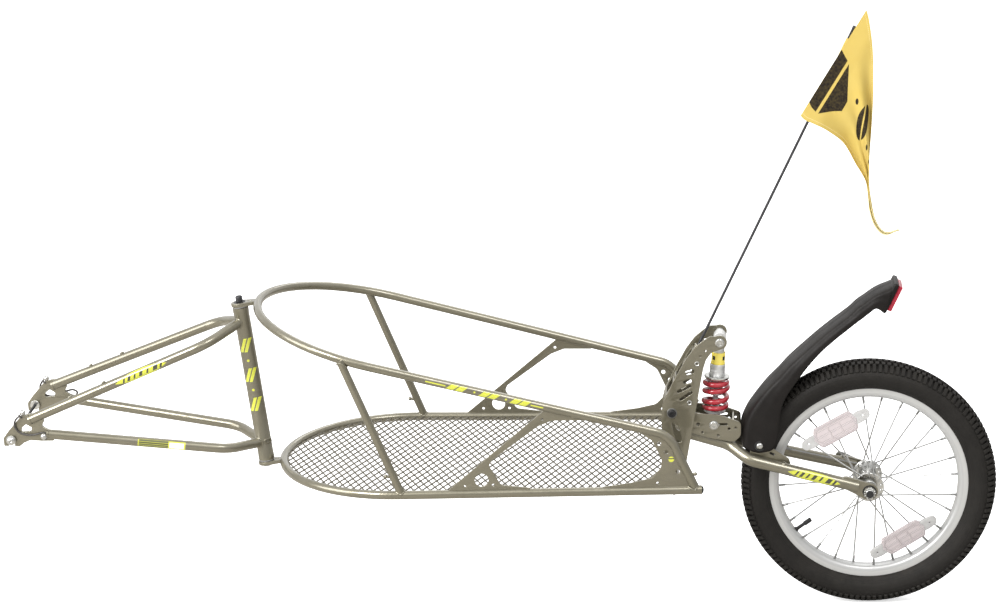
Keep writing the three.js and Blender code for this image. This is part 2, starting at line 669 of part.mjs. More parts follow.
function makeBushing(name, sign) {
  const outer = HEAD_RADIUS - HEAD_WALL - GAP;
  const bore = HEAD_BOLT_RADIUS + GAP;
  const [seat, top] = [headHalf + GAP / 2, headHalf + BUSHING_FLANGE];
  const profile = [
    [bore, headHalf - BUSHING_DEPTH],
    [outer, headHalf - BUSHING_DEPTH],
    [outer, seat],
    [HEAD_RADIUS, seat],
    [HEAD_RADIUS, top],
    [bore, top],
  ].map(([r, z]) => [r, sign * z]);
  return piece(name, turnedUpright(profile).applyMatrix4(headMatrix), blackPlastic());
}

function makeHeadBolt() {
  const face = bracketMiddle + BRACKET_THICKNESS / 2 + GAP;
  const profile = [
    [0, -face - HEAD_NUT_HEIGHT],
    [HEAD_NUT_RADIUS, -face - HEAD_NUT_HEIGHT],
    [HEAD_NUT_RADIUS, -face],
    [HEAD_BOLT_RADIUS, -face],
    [HEAD_BOLT_RADIUS, face],
    [HEAD_BOLT_CAP_RADIUS, face],
    [HEAD_BOLT_CAP_RADIUS, face + HEAD_BOLT_CAP_HEIGHT],
    [0, face + HEAD_BOLT_CAP_HEIGHT],
  ];
  return piece('head_bolt', turnedUpright(profile).applyMatrix4(headMatrix), darkSteel());
}

// Fork arms run from the dropouts to the head tube
const headRoom = rod(
  headPoint(0, 0, -headHalf - CUT_OVERRUN),
  headPoint(0, 0, headHalf + CUT_OVERRUN),
  HEAD_RADIUS + GAP,
);

function headAxisAt(rise) {
  return vec(FORK_REACH - (rise - HEAD_CENTRE_RISE) * Math.tan(headTilt), 0, rise);
}

function makeForkArm(name, side, start, bend, joinRise, slotLength) {
  const path = bentPath([
    { at: vec(start.x, side * DROPOUT_HALF_SPACING, start.z) },
    { at: vec(bend.x, side * bend.y, bend.z), bend: FORK_BEND_RADIUS },
    { at: headAxisAt(joinRise) },
  ]);
  const slotCentre = vec(start.x + slotLength - CUT_OVERRUN, side * DROPOUT_HALF_SPACING, start.z);
  const slot = slab(CUT_OVERRUN * 2, DROPOUT_THICKNESS + 2 * GAP, CUT_OVERRUN, slotCentre);
  const half = slab(CUT_OVERRUN * 2, CUT_OVERRUN, CUT_OVERRUN * 2, headAxisAt(joinRise));
  half.translate(0, -side * (CUT_OVERRUN - GAP) / 2, 0);
  return piece(name, cut(tube(path, FORK_TUBE_RADIUS), headRoom, slot, half), champagne());
}

const DROPOUT_SHARES = [
  [-0.19, -0.23], [-0.2, 0.05], [-0.06, 0.32], [0.12, 0.61], [0.27, 0.86], [0.47, 0.96], [0.8, 1],
  [0.85, 0.68], [0.78, 0.5], [0.94, 0.36], [1.09, 0.25], [1.09, -0.05], [0.78, -0.05], [0.47, -0.02],
  [0.31, -0.12], [0.2, -0.25],
];
const DROPOUT_WINDOW_SHARES = [[0.25, 0.27], [0.53, 0.31], [0.55, 0.46], [0.4, 0.6], [0.28, 0.46]];
const LANYARD_BOLT_SHARES = [0.84, 0.14];

const dropoutAt = (shares) => scaled(shares, 0, 0, DROPOUT_LENGTH, DROPOUT_HEIGHT);
const [[lanyardBoltX, lanyardBoltZ]] = dropoutAt([LANYARD_BOLT_SHARES]);

function makeDropout(label, side) {
  const y = side * DROPOUT_HALF_SPACING;
  const slotHalf = BOBBIN_NECK_RADIUS + GAP;
  const blank = uprightPlate(dropoutAt(DROPOUT_SHARES), [dropoutAt(DROPOUT_WINDOW_SHARES)], DROPOUT_THICKNESS, y);
  const neck = rod(vec(0, y - CUT_OVERRUN, 0), vec(0, y + CUT_OVERRUN, 0), slotHalf);
  const slot = slab(slotHalf * 2, CUT_OVERRUN, CUT_OVERRUN, vec(0, y, -CUT_OVERRUN / 2));
  const bore = rod(vec(0, y, 0), PIN_DIRECTION.clone().multiplyScalar(PIN_SEAT * 2).setY(y), PIN_RADIUS + GAP, TUBE_SIDES);
  const face = DROPOUT_THICKNESS / 2;
  const head = rod(
    vec(lanyardBoltX, y, lanyardBoltZ),
    vec(lanyardBoltX, y + side * (face + LANYARD_BOLT_HEAD), lanyardBoltZ),
    LANYARD_BOLT_RADIUS,
    TUBE_SIDES,
  );
  return piece(`dropout_${label}`, join(cut(blank, neck, slot, bore), head), champagne());
}

function makeRetainingPin(label, side) {
  const y = side * DROPOUT_HALF_SPACING;
  const along = (distance) => PIN_DIRECTION.clone().multiplyScalar(distance).setY(y);
  const knobAt = along(PIN_SEAT + GAP + PIN_KNOB_RADIUS);
  const shank = rod(along(BOBBIN_NECK_RADIUS + GAP), knobAt, PIN_RADIUS, TUBE_SIDES);
  const knob = tidy(new THREE.SphereGeometry(PIN_KNOB_RADIUS, TUBE_SIDES, TUBE_SIDES - 2));
  return piece(`retaining_pin_${label}`, join(shank, knob.translate(knobAt.x, knobAt.y, knobAt.z)), silver());
}

// Lanyard route on the outer face of a dropout: from the pin's knob, round its plate, to a turn about the bolt
const LANYARD_ROUTE = [
  [18.5, 101.2, 42.5], [14.5, 100.2, 36], [11, 98.4, 28], [11.5, 97, 19.5], [16.5, 96.9, 12.5], [24, 96.9, 9],
  [33, 96.9, 8.2], [42, 96.9, 9.4], [48, 96.9, 11], [53, 96.9, 11.4], [57.6, 96.9, 9.6], [58.9, 96.9, 5.6],
  [56.8, 96.9, 2], [53.4, 96.9, 1],
];
const LANYARD_STEPS = 20;

function makeLanyard(label, side) {
  const route = new THREE.CatmullRomCurve3(LANYARD_ROUTE.map(([x, y, z]) => vec(x, side * y, z)), false, 'centripetal');
  const section = shapeOf(circle(0, 0, LANYARD_RADIUS, SMALL_SIDES));
  const options = { steps: LANYARD_STEPS, bevelEnabled: false, extrudePath: route };
  return piece(`lanyard_${label}`, new THREE.ExtrudeGeometry(section, options), blackPlastic());
}

const bobbinFaces = {
  inner: DROPOUT_HALF_SPACING - DROPOUT_THICKNESS / 2 - GAP,
  outer: DROPOUT_HALF_SPACING + DROPOUT_THICKNESS / 2 + GAP,
};

function makeBobbin(label, side) {
  const { inner, outer } = bobbinFaces;
  const bore = HITCH_ROD_RADIUS + GAP;
  const rim = outer + BOBBIN_FLANGE_WIDTH;
  const profile = [
    [bore, inner - BOBBIN_FLANGE_WIDTH],
    [BOBBIN_FLANGE_RADIUS, inner - BOBBIN_FLANGE_WIDTH],
    [BOBBIN_FLANGE_RADIUS, inner],
    [BOBBIN_NECK_RADIUS, inner],
    [BOBBIN_NECK_RADIUS, outer],
    [BOBBIN_FLANGE_RADIUS, outer],
    [BOBBIN_FLANGE_RADIUS, rim],
    [BOBBIN_NECK_RADIUS, rim + BOBBIN_DOME_DEPTH * 0.8],
    [0, rim + BOBBIN_DOME_DEPTH],
    [0, rim],
    [bore, rim],
  ].map(([r, y]) => [r, side * y]);
  return piece(`bobbin_${label}`, turned(profile), silver());
}

function makeHitchRod() {
  const reach = bobbinFaces.outer + BOBBIN_FLANGE_WIDTH - GAP;
  return piece('hitch_rod', rod(vec(0, -reach, 0), vec(0, reach, 0), HITCH_ROD_RADIUS, TUBE_SIDES), darkSteel());
}

// Tower plates carry the swingarm's pivot and the top of the shock
const TOWER_FRONT_SHARES = [
  [0.053, 0], [0, 0.29], [0, 0.404], [0.042, 0.497], [0.2, 0.658], [0.423, 0.855], [0.571, 0.953], [0.709, 1.01],
  [0.825, 1.049],
];
const TOWER_REAR_SHARES = [[0.857, 0.917], [0.762, 0.855], [0.714, 0.782], [0.672, 0.679], [0.587, 0.451], [0.392, 0]];
const TOWER_WINDOW_SHARES = [
  [[0.42, 0.745], [0.56, 0.775], [0.57, 0.725], [0.45, 0.71]],
  [[0.38, 0.672], [0.5, 0.695], [0.5, 0.65], [0.4, 0.638]],
];
const TOWER_SLOT_SHARES = [
  { from: [0.3, 0.572], to: [0.42, 0.62], radius: 2.4 },
  { from: [0.35, 0.53], to: [0.47, 0.58], radius: 2.4 },
  { from: [0.235, 0.3], to: [0.235, 0.2], radius: 6 },
];
const TOWER_BOLT_SHARES = [[0.752, 0.93], [0.667, 0.883], [0.33, 0.48]];

const inTower = (shares) => scaled(shares, towerX, bedLevel, TOWER_REACH, TOWER_HEIGHT);

function makeTowerPlate(label, side) {
  const front = inTower(TOWER_FRONT_SHARES);
  const rear = inTower(TOWER_REAR_SHARES);
  const foot = bedLevel - TOWER_FOOT_DROP;
  const outline = [
    [front[0][0], foot],
    ...front,
    ...arc(shockTop.x, shockTop.z, TOWER_BOSS_RADIUS, 118, -62, HOLE_SIDES - 2),
    ...rear,
    [rear[rear.length - 1][0], foot],
  ];
  const slots = TOWER_SLOT_SHARES.map(({ from, to, radius }) => {
    const [a, b] = inTower([from, to]);
    return link(a, radius, b, radius, TUBE_SIDES / 2);
  });
  const holes = [
    circle(pivot.x, pivot.z, PIVOT_RADIUS + GAP),
    circle(shockTop.x, shockTop.z, SHOCK_BOLT_RADIUS + GAP),
    circle(crossX, bedLevel, CROSS_TUBE_RADIUS + GAP, ROUND_SIDES),
    ...TOWER_WINDOW_SHARES.map(inTower),
    ...slots,
    ...inTower(TOWER_BOLT_SHARES).map(([x, z]) => circle(x, z, SMALL_BOLT_HOLE_RADIUS, SMALL_SIDES)),
  ];
  const y = side * (TOWER_INNER_HALF + TOWER_PLATE / 2);
  return piece(`tower_plate_${label}`, uprightPlate(outline, holes, TOWER_PLATE, y), champagne());
}

// Ladder web between the tower plates, with the flag's socket welded to it
const WEB_WINDOWS = 3;
const WEB_BAR_SHARE = 0.22;
const WEB_EDGE_SHARE = 0.2;
const WEB_FRONT_SHARES = [0.06, 0.55];

function makeTowerWeb() {
  const low = vec(towerX + WEB_FRONT_SHARES[0] * TOWER_REACH, 0, bedLevel + WEB_LOW_RISE);
  const high = vec(towerX + WEB_FRONT_SHARES[1] * TOWER_REACH, 0, bedLevel + WEB_HIGH_RISE);
  const length = low.distanceTo(high);
  const half = TOWER_INNER_HALF - GAP;
  const pitch = length / WEB_WINDOWS;
  const windows = Array.from({ length: WEB_WINDOWS }, (_, i) => {
    const [from, to] = [(i + WEB_BAR_SHARE) * pitch, (i + 1 - WEB_BAR_SHARE / 2) * pitch];
    const edge = half * (1 - WEB_EDGE_SHARE);
    return shapeOf([[from, -edge], [to, -edge], [to, edge], [from, edge]]);
  });
  const outline = [[0, -half], [length, -half], [length, half], [0, half]];
  const panel = cut(levelPlate(shapeOf(outline), WEB_THICKNESS), levelPlate(windows, CUT_OVERRUN));
  panel.rotateY(-Math.atan2(high.z - low.z, high.x - low.x)).translate(low.x, 0, low.z);
  const along = vec(Math.sin(poleLean), 0, Math.cos(poleLean));
  const foot = poleSeat.clone().addScaledVector(along, -SOCKET_FLOOR);
  const mouth = poleSeat.clone().addScaledVector(along, SOCKET_DEPTH);
  const socket = rod(foot, mouth, SOCKET_RADIUS);
  const bridge = slab(WEB_THICKNESS * 2, half * 2, WEB_THICKNESS, poleSeat.clone().lerp(mouth, WEB_EDGE_SHARE));
  const ground = poleSeat.clone().addScaledVector(along, -GAP);
  const bore = rod(ground, mouth.clone().addScaledVector(along, CUT_OVERRUN), POLE_RADIUS + GAP);
  return piece('tower_web', cut(join(panel, socket, bridge), bore), champagne());
}

function makeThroughBolt(name, at, radius, headRadius, headFace, material) {
  const outer = headFace + BOLT_HEAD_DEPTH;
  const profile = [
    [0, -outer],
    [headRadius, -outer],
    [headRadius, -headFace],
    [radius, -headFace],
    [radius, headFace],
    [headRadius, headFace],
    [headRadius, outer],
    [0, outer],
  ];
  return piece(name, turned(profile).translate(at.x, 0, at.z), material);
}

// Flag: a thin pole that stands in its socket, and a pennant sleeved on it
function makePole() {
  const along = vec(Math.sin(poleLean), 0, Math.cos(poleLean));
  const tip = poleSeat.clone().addScaledVector(along, POLE_LENGTH);
  return piece('flag_pole', rod(poleSeat, tip, POLE_RADIUS, TUBE_SIDES), darkSteel());
}

// Pennant edges in shares of the hoist, measured from the foot of the sleeve
const FLAG_UPPER_SHARES = [
  [0.42, 0.86], [0.465, 0.62], [0.485, 0.38], [0.475, -0.08], [0.46, -0.36], [0.45, -0.52], [0.475, -0.71],
  [0.51, -0.85], [0.575, -0.93], [0.69, -0.885],
];
const FLAG_LOWER_SHARES = [
  [0.03, -0.02], [0.12, -0.07], [0.225, -0.145], [0.325, -0.3], [0.41, -0.44], [0.435, -0.55], [0.46, -0.73],
  [0.5, -0.875], [0.57, -0.96], [0.685, -0.92],
];

function edgeCurve(shares, origin) {
  return new THREE.CatmullRomCurve3(scaled(shares, origin.x, origin.z, FLAG_HOIST, FLAG_HOIST).map(([x, z]) => vec(x, 0, z)));
}

function clothSheet(surface, columns, rows, thickness) {
  const points = [];
  const stepU = 1 / columns;
  const stepV = 1 / rows;
  for (let layer = 0; layer < 2; layer += 1) {
    for (let i = 0; i <= columns; i += 1) {
      for (let j = 0; j <= rows; j += 1) {
        const [u, v] = [i * stepU, j * stepV];
        const alongU = surface(Math.min(u + stepU, 1), v).sub(surface(Math.max(u - stepU, 0), v));
        const alongV = surface(u, Math.min(v + stepV, 1)).sub(surface(u, Math.max(v - stepV, 0)));
        const normal = alongU.cross(alongV).normalize();
        points.push(surface(u, v).addScaledVector(normal, (layer - 1 / 2) * thickness));
      }
    }
  }
  const at = (layer, i, j) => (layer * (columns + 1) + i) * (rows + 1) + j;
  const faces = [];
  const quad = (a, b, c, d) => faces.push(a, b, c, a, c, d);
  for (let i = 0; i < columns; i += 1) {
    for (let j = 0; j < rows; j += 1) {
      quad(at(0, i, j), at(0, i, j + 1), at(0, i + 1, j + 1), at(0, i + 1, j));
      quad(at(1, i, j), at(1, i + 1, j), at(1, i + 1, j + 1), at(1, i, j + 1));
    }
    quad(at(0, i, 0), at(0, i + 1, 0), at(1, i + 1, 0), at(1, i, 0));
    quad(at(0, i, rows), at(1, i, rows), at(1, i + 1, rows), at(0, i + 1, rows));
  }
  for (let j = 0; j < rows; j += 1) {
    quad(at(0, 0, j), at(1, 0, j), at(1, 0, j + 1), at(0, 0, j + 1));
    quad(at(0, columns, j), at(0, columns, j + 1), at(1, columns, j + 1), at(1, columns, j));
  }
  const geometry = new THREE.BufferGeometry();
  geometry.setAttribute('position', new THREE.Float32BufferAttribute(points.flatMap((p) => p.toArray()), 3));
  geometry.setIndex(faces);
  return geometry;
}

function makeFlag() {
  const along = vec(Math.sin(poleLean), 0, Math.cos(poleLean));
  const top = poleSeat.clone().addScaledVector(along, POLE_LENGTH - FLAG_TOP_INSET);
  const foot = top.clone().addScaledVector(along, -FLAG_HOIST);
  const sleeveOuter = POLE_RADIUS + GAP + FLAG_SLEEVE_WALL;
  const upper = edgeCurve(FLAG_UPPER_SHARES, foot);
  const lower = edgeCurve(FLAG_LOWER_SHARES, foot);
  const clear = vec(Math.cos(poleLean), 0, -Math.sin(poleLean)).multiplyScalar(sleeveOuter - FLAG_SLEEVE_WALL / 2);
  const hoistTop = top.clone().add(clear).addScaledVector(along, -FLAG_TOP_INSET);
  const hoistFoot = foot.clone().add(clear).addScaledVector(along, FLAG_TOP_INSET);
  const surface = (u, v) => {
    const start = hoistTop.clone().lerp(hoistFoot, u);
    const fly = upper.getPoint(v).lerp(lower.getPoint(v), u);
    const blend = Math.min(1, v * 4);
    const fold = Math.sin(2 * Math.PI * FLAG_FOLDS * u + v) * Math.sin(Math.PI * Math.min(1, v * 0.9 + 0.08));
    return start.lerp(fly, blend).setY(FLAG_FOLD_DEPTH * fold * blend);
  };
  const cloth = clothSheet(surface, FLAG_COLUMNS, FLAG_ROWS, FLAG_THICKNESS);
  const room = rod(foot.clone().addScaledVector(along, -CUT_OVERRUN), top.clone().addScaledVector(along, CUT_OVERRUN),
    POLE_RADIUS + GAP);
  const sleeve = rod(foot, top, sleeveOuter);
  return piece('flag', cut(join(cloth, sleeve), room), flagYellow());
}

// Swingarm box: two side plates on the pivot sleeve, closed at the back by a bridge
const BOX_TOP_SHARES = [[0.1, 1], [0.36, 0.02], [1, -0.7]];
const BOX_LOW_SHARES = [[1, -3.9], [0.88, -4.1], [0.72, -3.1], [0.25, -2.45]];
const BOX_HOLE_SHARES = [[0.39, -1.27], [0.465, -2.1], [0.69, -2.5], [0.87, -2.4], [0.96, -1.67]];
const BOX_SLOT_SHARES = [[0.75, -1.33], [0.84, -1.33]];

function makeSwingBox() {
  const length = boxRear - pivot.x;
  const inBox = (shares) => scaled(shares, pivot.x, pivot.z, length, BOX_TOP);
  const outline = [...arc(pivot.x, pivot.z, BOX_TOP, 95, 250, HOLE_SIDES / 2), ...inBox(BOX_LOW_SHARES).reverse(),
    ...inBox(BOX_TOP_SHARES).slice(1).reverse()];
  const [slotFrom, slotTo] = inBox(BOX_SLOT_SHARES);
  const holes = [
    circle(shockFoot.x, shockFoot.z, SHOCK_BOLT_RADIUS + GAP),
    ...inBox(BOX_HOLE_SHARES).map(([x, z]) => circle(x, z, SMALL_BOLT_HOLE_RADIUS, SMALL_SIDES)),
    link(slotFrom, SMALL_BOLT_HOLE_RADIUS, slotTo, SMALL_BOLT_HOLE_RADIUS, TUBE_SIDES / 2),
  ];
  const plates = sides.map(([, side]) => uprightPlate(outline, holes, BOX_PLATE, side * (boxOuter - BOX_PLATE / 2)));
  const sleeve = rod(vec(pivot.x, -boxOuter, pivot.z), vec(pivot.x, boxOuter, pivot.z), PIVOT_SLEEVE_RADIUS);
  const bridgeTop = pivot.z - BOX_TOP;
  const bridgeFoot = bridgeTop - BOX_TOP * 2;
  const bridge = slab(BOX_PLATE, boxOuter * 2 - BOX_PLATE, bridgeTop - bridgeFoot,
    vec(boxRear - BRIDGE_INSET, 0, (bridgeTop + bridgeFoot) / 2));
  const legRooms = sides.map(([, side]) => tube(legPath(side), LEG_RADIUS + GAP));
  const bore = rod(vec(pivot.x, -CUT_OVERRUN, pivot.z), vec(pivot.x, CUT_OVERRUN, pivot.z), PIVOT_RADIUS + GAP);
  return piece('swing_box', cut(join(plates[0], plates[1], sleeve, bridge), bore, ...legRooms), champagne());
}

function legPath(side) {
  const inner = boxInner - GAP - LEG_RADIUS;
  const outer = AXLE_SPACING / 2 + REAR_DROPOUT_THICKNESS / 2;
  return bentPath([
    { at: vec(pivot.x + LEG_START_BACK, side * inner, pivot.z - LEG_START_DROP) },
    { at: vec(boxRear - LEG_BEND_INSET, side * inner, pivot.z - LEG_BEND_DROP), bend: LEG_BEND_RADIUS },
    {
      at: vec(boxRear + LEG_SHOULDER_BACK, side * LEG_SHOULDER_HALF_WIDTH, pivot.z - LEG_SHOULDER_DROP),
      bend: LEG_BEND_RADIUS,
    },
    { at: vec(axle.x - LEG_END_AHEAD, side * outer, axle.z + LEG_END_RISE) },
  ]);
}

const TAB_SHARES = [[-0.35, -0.35], [-0.18, 0.1], [0, 0.24], [0.18, 0.1], [0.6, -0.3]];
const TAB_FOOT_SHARES = [0.65, -0.35];

function makeLeg(label, side) {
  const y = side * (AXLE_SPACING + REAR_DROPOUT_THICKNESS) / 2;
  const root = [axle.x - LEG_END_AHEAD * 1.7, axle.z + LEG_END_RISE * 1.7];
  const claw = uprightPlate(
    link(root, LEG_RADIUS, [axle.x, axle.z], REAR_DROPOUT_RADIUS, HOLE_SIDES - 2),
    [],
    REAR_DROPOUT_THICKNESS,
    y,
  );
  const slotHalf = AXLE_RADIUS + GAP;
  const eye = rod(vec(axle.x, y - CUT_OVERRUN, axle.z), vec(axle.x, y + CUT_OVERRUN, axle.z), slotHalf);
  const slot = slab(slotHalf * 2, CUT_OVERRUN, CUT_OVERRUN, vec(axle.x, y, axle.z - CUT_OVERRUN / 2));
  const tabFace = FENDER_HALF_WIDTH - FENDER_WALL - GAP;
  const tabFoot = pivot.z - LEG_SHOULDER_DROP - LEG_RADIUS * TAB_FOOT_DEPTH_SHARE;
  const tab = uprightPlate(
    [
      ...scaled(TAB_SHARES, fenderBolt.x, fenderBolt.z, TAB_LENGTH, TAB_HEIGHT),
      ...TAB_FOOT_SHARES.map((share) => [fenderBolt.x + share * TAB_LENGTH, tabFoot]),
    ],
    [circle(fenderBolt.x, fenderBolt.z, FENDER_BOLT_RADIUS + GAP, TUBE_SIDES)],
    TAB_THICKNESS,
    side * (tabFace - TAB_THICKNESS / 2),
  );
  const leg = join(tube(legPath(side), LEG_RADIUS), tab, claw);
  return piece(`swing_leg_${label}`, cut(leg, eye, slot), champagne());
}

// Fender: a channel over the front of the tyre, in shares of the tyre's radius from the axle
const FENDER_TOP_SHARES = [
  [-0.99, 0.365], [-0.98, 0.59], [-0.854, 0.82], [-0.673, 1.039], [-0.459, 1.249], [-0.224, 1.434], [-0.09, 1.531],
  [0.1, 1.644], [0.18, 1.702],
];
const FENDER_LOW_SHARES = [
  [0.11, 1.375], [0.05, 1.41], [-0.09, 1.38], [-0.224, 1.263], [-0.39, 1.107], [-0.49, 1.005], [-0.576, 0.902],
  [-0.693, 0.712], [-0.717, 0.571], [-0.712, 0.395], [-0.83, 0.3], [-0.9, 0.31],
];
const FENDER_INNER_DROP_SHARE = 0.6;

const inFender = (shares) => scaled(shares, axle.x, axle.z, TYRE_RADIUS, TYRE_RADIUS);

function makeFender() {
  const top = inFender(FENDER_TOP_SHARES);
  const low = inFender(FENDER_LOW_SHARES);
  const shell = uprightPlate([...top, ...low], [], FENDER_HALF_WIDTH * 2);
  const inset = top.slice(0, -1).map(([x, z], i) => {
    const [nextX, nextZ] = top[i + 1];
    const length = Math.hypot(nextX - x, nextZ - z);
    return [x + (nextZ - z) / length * FENDER_WALL, z - (nextX - x) / length * FENDER_WALL];
  });
  const reach = TYRE_RADIUS * FENDER_INNER_DROP_SHARE;
  const channel = [
    [inset[0][0], inset[0][1] - reach],
    ...inset,
    [inset[inset.length - 1][0] + reach / 2, inset[inset.length - 1][1] - reach],
  ];
  const hollow = uprightPlate(channel, [], (FENDER_HALF_WIDTH - FENDER_WALL) * 2);
  const half = FENDER_HALF_WIDTH + CUT_OVERRUN;
  const boltHole = rod(vec(fenderBolt.x, -half, fenderBolt.z), vec(fenderBolt.x, half, fenderBolt.z),
    FENDER_BOLT_RADIUS + GAP, TUBE_SIDES);
  return piece('fender', cut(shell, hollow, boltHole), blackPlastic());
}

function makeTailReflector() {
  const high = inFender([FENDER_TOP_SHARES[FENDER_TOP_SHARES.length - 1]])[0];
  const low = inFender([FENDER_LOW_SHARES[0]])[0];
  const middle = vec((high[0] + low[0]) / 2, 0, (high[1] + low[1]) / 2);
  const lean = Math.atan2(high[0] - low[0], high[1] - low[1]);
  const lens = new THREE.BoxGeometry(TAIL_LENS_THICKNESS, TAIL_LENS_WIDTH, TAIL_LENS_HEIGHT);
  lens.translate(TAIL_LENS_THICKNESS / 2 + GAP, 0, 0).rotateY(lean).translate(middle.x, 0, middle.z);
  return piece('tail_reflector', lens, lensRed());
}

function makeFenderBolt(label, side) {
  const inner = FENDER_HALF_WIDTH - FENDER_WALL - GAP - TAB_THICKNESS - GAP;
  const outer = FENDER_HALF_WIDTH + GAP;
  const profile = [
    [0, inner - FENDER_BOLT_HEAD_DEPTH],
    [FENDER_BOLT_HEAD_RADIUS, inner - FENDER_BOLT_HEAD_DEPTH],
    [FENDER_BOLT_HEAD_RADIUS, inner],
    [FENDER_BOLT_RADIUS, inner],
    [FENDER_BOLT_RADIUS, outer],
    [FENDER_BOLT_HEAD_RADIUS, outer],
    [FENDER_BOLT_RADIUS, outer + FENDER_BOLT_HEAD_DEPTH],
    [0, outer + FENDER_BOLT_HEAD_DEPTH],
  ].map(([r, y]) => [r, side * y]);
  return piece(`fender_bolt_${label}`, turned(profile, TUBE_SIDES).translate(fenderBolt.x, 0, fenderBolt.z), silver());
}

// Shock, drawn downwards from its upper eye
const shockTurn = Math.atan2(shockTop.x - shockFoot.x, shockTop.z - shockFoot.z);

function inShock(mesh) {
  mesh.position.copy(shockTop);
  mesh.rotation.y = shockTurn;
  return mesh;
}

function eyeSolid(depth, eyeRadius, eyeHalf, spacerRadius, spacerHalf) {
  const barrel = rod(vec(0, -eyeHalf, -depth), vec(0, eyeHalf, -depth), eyeRadius);
  return join(barrel, rod(vec(0, -spacerHalf, -depth), vec(0, spacerHalf, -depth), spacerRadius));
}

const boltBore = (depth, radius) => rod(vec(0, -CUT_OVERRUN, -depth), vec(0, CUT_OVERRUN, -depth), radius);

function makeShockBody() {
  const cavityTop = COLLAR_TOP + COLLAR_WALL;
  const sealRadius = SHAFT_RADIUS + SHAFT_GAP;
  const profile = [
    [0, SHOCK_EYE_RADIUS / 2],
    [SHOCK_NECK_RADIUS, SHOCK_EYE_RADIUS / 2],
    [SHOCK_NECK_RADIUS, COLLAR_FOOT + GAP],
    [SHOCK_BODY_RADIUS, COLLAR_FOOT + GAP],
    [SHOCK_BODY_RADIUS, SPRING_TOP],
    [SHOCK_TUBE_RADIUS, SPRING_TOP],
    [SHOCK_TUBE_RADIUS, SHOCK_TUBE_FOOT],
    [sealRadius, SHOCK_TUBE_FOOT],
    [sealRadius, SHOCK_TUBE_FOOT - SHOCK_SEAL_DEPTH],
    [SHOCK_BORE_RADIUS, SHOCK_TUBE_FOOT - SHOCK_SEAL_DEPTH],
    [SHOCK_BORE_RADIUS, cavityTop],
    [0, cavityTop],
  ].map(([r, depth]) => [r, -depth]);
  const eye = eyeSolid(0, SHOCK_EYE_RADIUS, SHOCK_EYE_HALF, SHOCK_SPACER_RADIUS, TOWER_INNER_HALF - GAP);
  const body = cut(join(turnedUpright(profile), eye), boltBore(0, SHOCK_BOLT_RADIUS + GAP));
  return inShock(piece('shock_body', body, silver()));
}

function makeShockRing(name, inner, outer, top, foot, material) {
  const profile = [[inner, -top], [outer, -top], [outer, -foot], [inner, -foot]];
  return inShock(piece(name, turnedUpright(profile), material));
}

function makeShockShaft() {
  const perchTop = SPRING_FOOT + GAP;
  const profile = [
    [0, PISTON_TOP],
    [SHOCK_BORE_RADIUS - SHAFT_GAP, PISTON_TOP],
    [SHOCK_BORE_RADIUS - SHAFT_GAP, PISTON_TOP + PISTON_DEPTH],
    [SHAFT_RADIUS, PISTON_TOP + PISTON_DEPTH],
    [SHAFT_RADIUS, perchTop],
    [PERCH_RADIUS, perchTop],
    [PERCH_RADIUS, perchTop + PERCH_DEPTH],
    [LOWER_EYE_RADIUS, perchTop + PERCH_DEPTH],
    [LOWER_EYE_RADIUS, shockLength],
    [0, shockLength],
  ].map(([r, depth]) => [r, -depth]);
  const eye = eyeSolid(shockLength, LOWER_EYE_RADIUS, LOWER_EYE_HALF, LOWER_SPACER_RADIUS, boxInner - GAP);
  const bore = boltBore(shockLength, SHOCK_BOLT_RADIUS + LOWER_EYE_PLAY);
  return inShock(piece('shock_shaft', cut(join(turnedUpright(profile), eye), bore), silver()));
}

// Spring: one unbroken wire whose curls close up towards both ends
function springPoint(share) {
  const eased = share - SPRING_END_CLOSE_SHARE * Math.sin(2 * Math.PI * share) / (2 * Math.PI);
  const from = SPRING_TOP + SPRING_WIRE_RADIUS;
  const depth = from + eased * (SPRING_FOOT - SPRING_WIRE_RADIUS - from);
  const angle = 2 * Math.PI * SPRING_CURLS * share;
  return vec(SPRING_RADIUS * Math.cos(angle), SPRING_RADIUS * Math.sin(angle), -depth);
}

class CoilPath extends THREE.Curve {
  getPoint(t, target = vec(0, 0, 0)) {
    return target.copy(springPoint(t));
  }
}

function springRings() {
  const steps = SPRING_CURLS * SPRING_STEPS_PER_CURL;
  return Array.from({ length: steps + 1 }, (_, i) => {
    const share = i / steps;
    const point = springPoint(share);
    const outward = vec(point.x, point.y, 0).normalize();
    return Array.from({ length: SPRING_WIRE_SIDES }, (_unused, k) => {
      const angle = 2 * Math.PI * k / SPRING_WIRE_SIDES;
      const ring = point.clone().addScaledVector(outward, SPRING_WIRE_RADIUS * Math.cos(angle));
      return ring.setZ(point.z + SPRING_WIRE_RADIUS * Math.sin(angle));
    });
  });
}

function leastSpringGap() {
  const samples = Array.from({ length: 600 }, (_, i) => springPoint(i / 599));
  const curl = Math.floor(600 / SPRING_CURLS);
  let least = Infinity;
  samples.forEach((point, i) => {
    for (let j = i + Math.floor(curl / 2); j < samples.length; j += 1) {
      least = Math.min(least, point.distanceTo(samples[j]) - SPRING_WIRE_RADIUS * 2);
    }
  });
  return least;
}

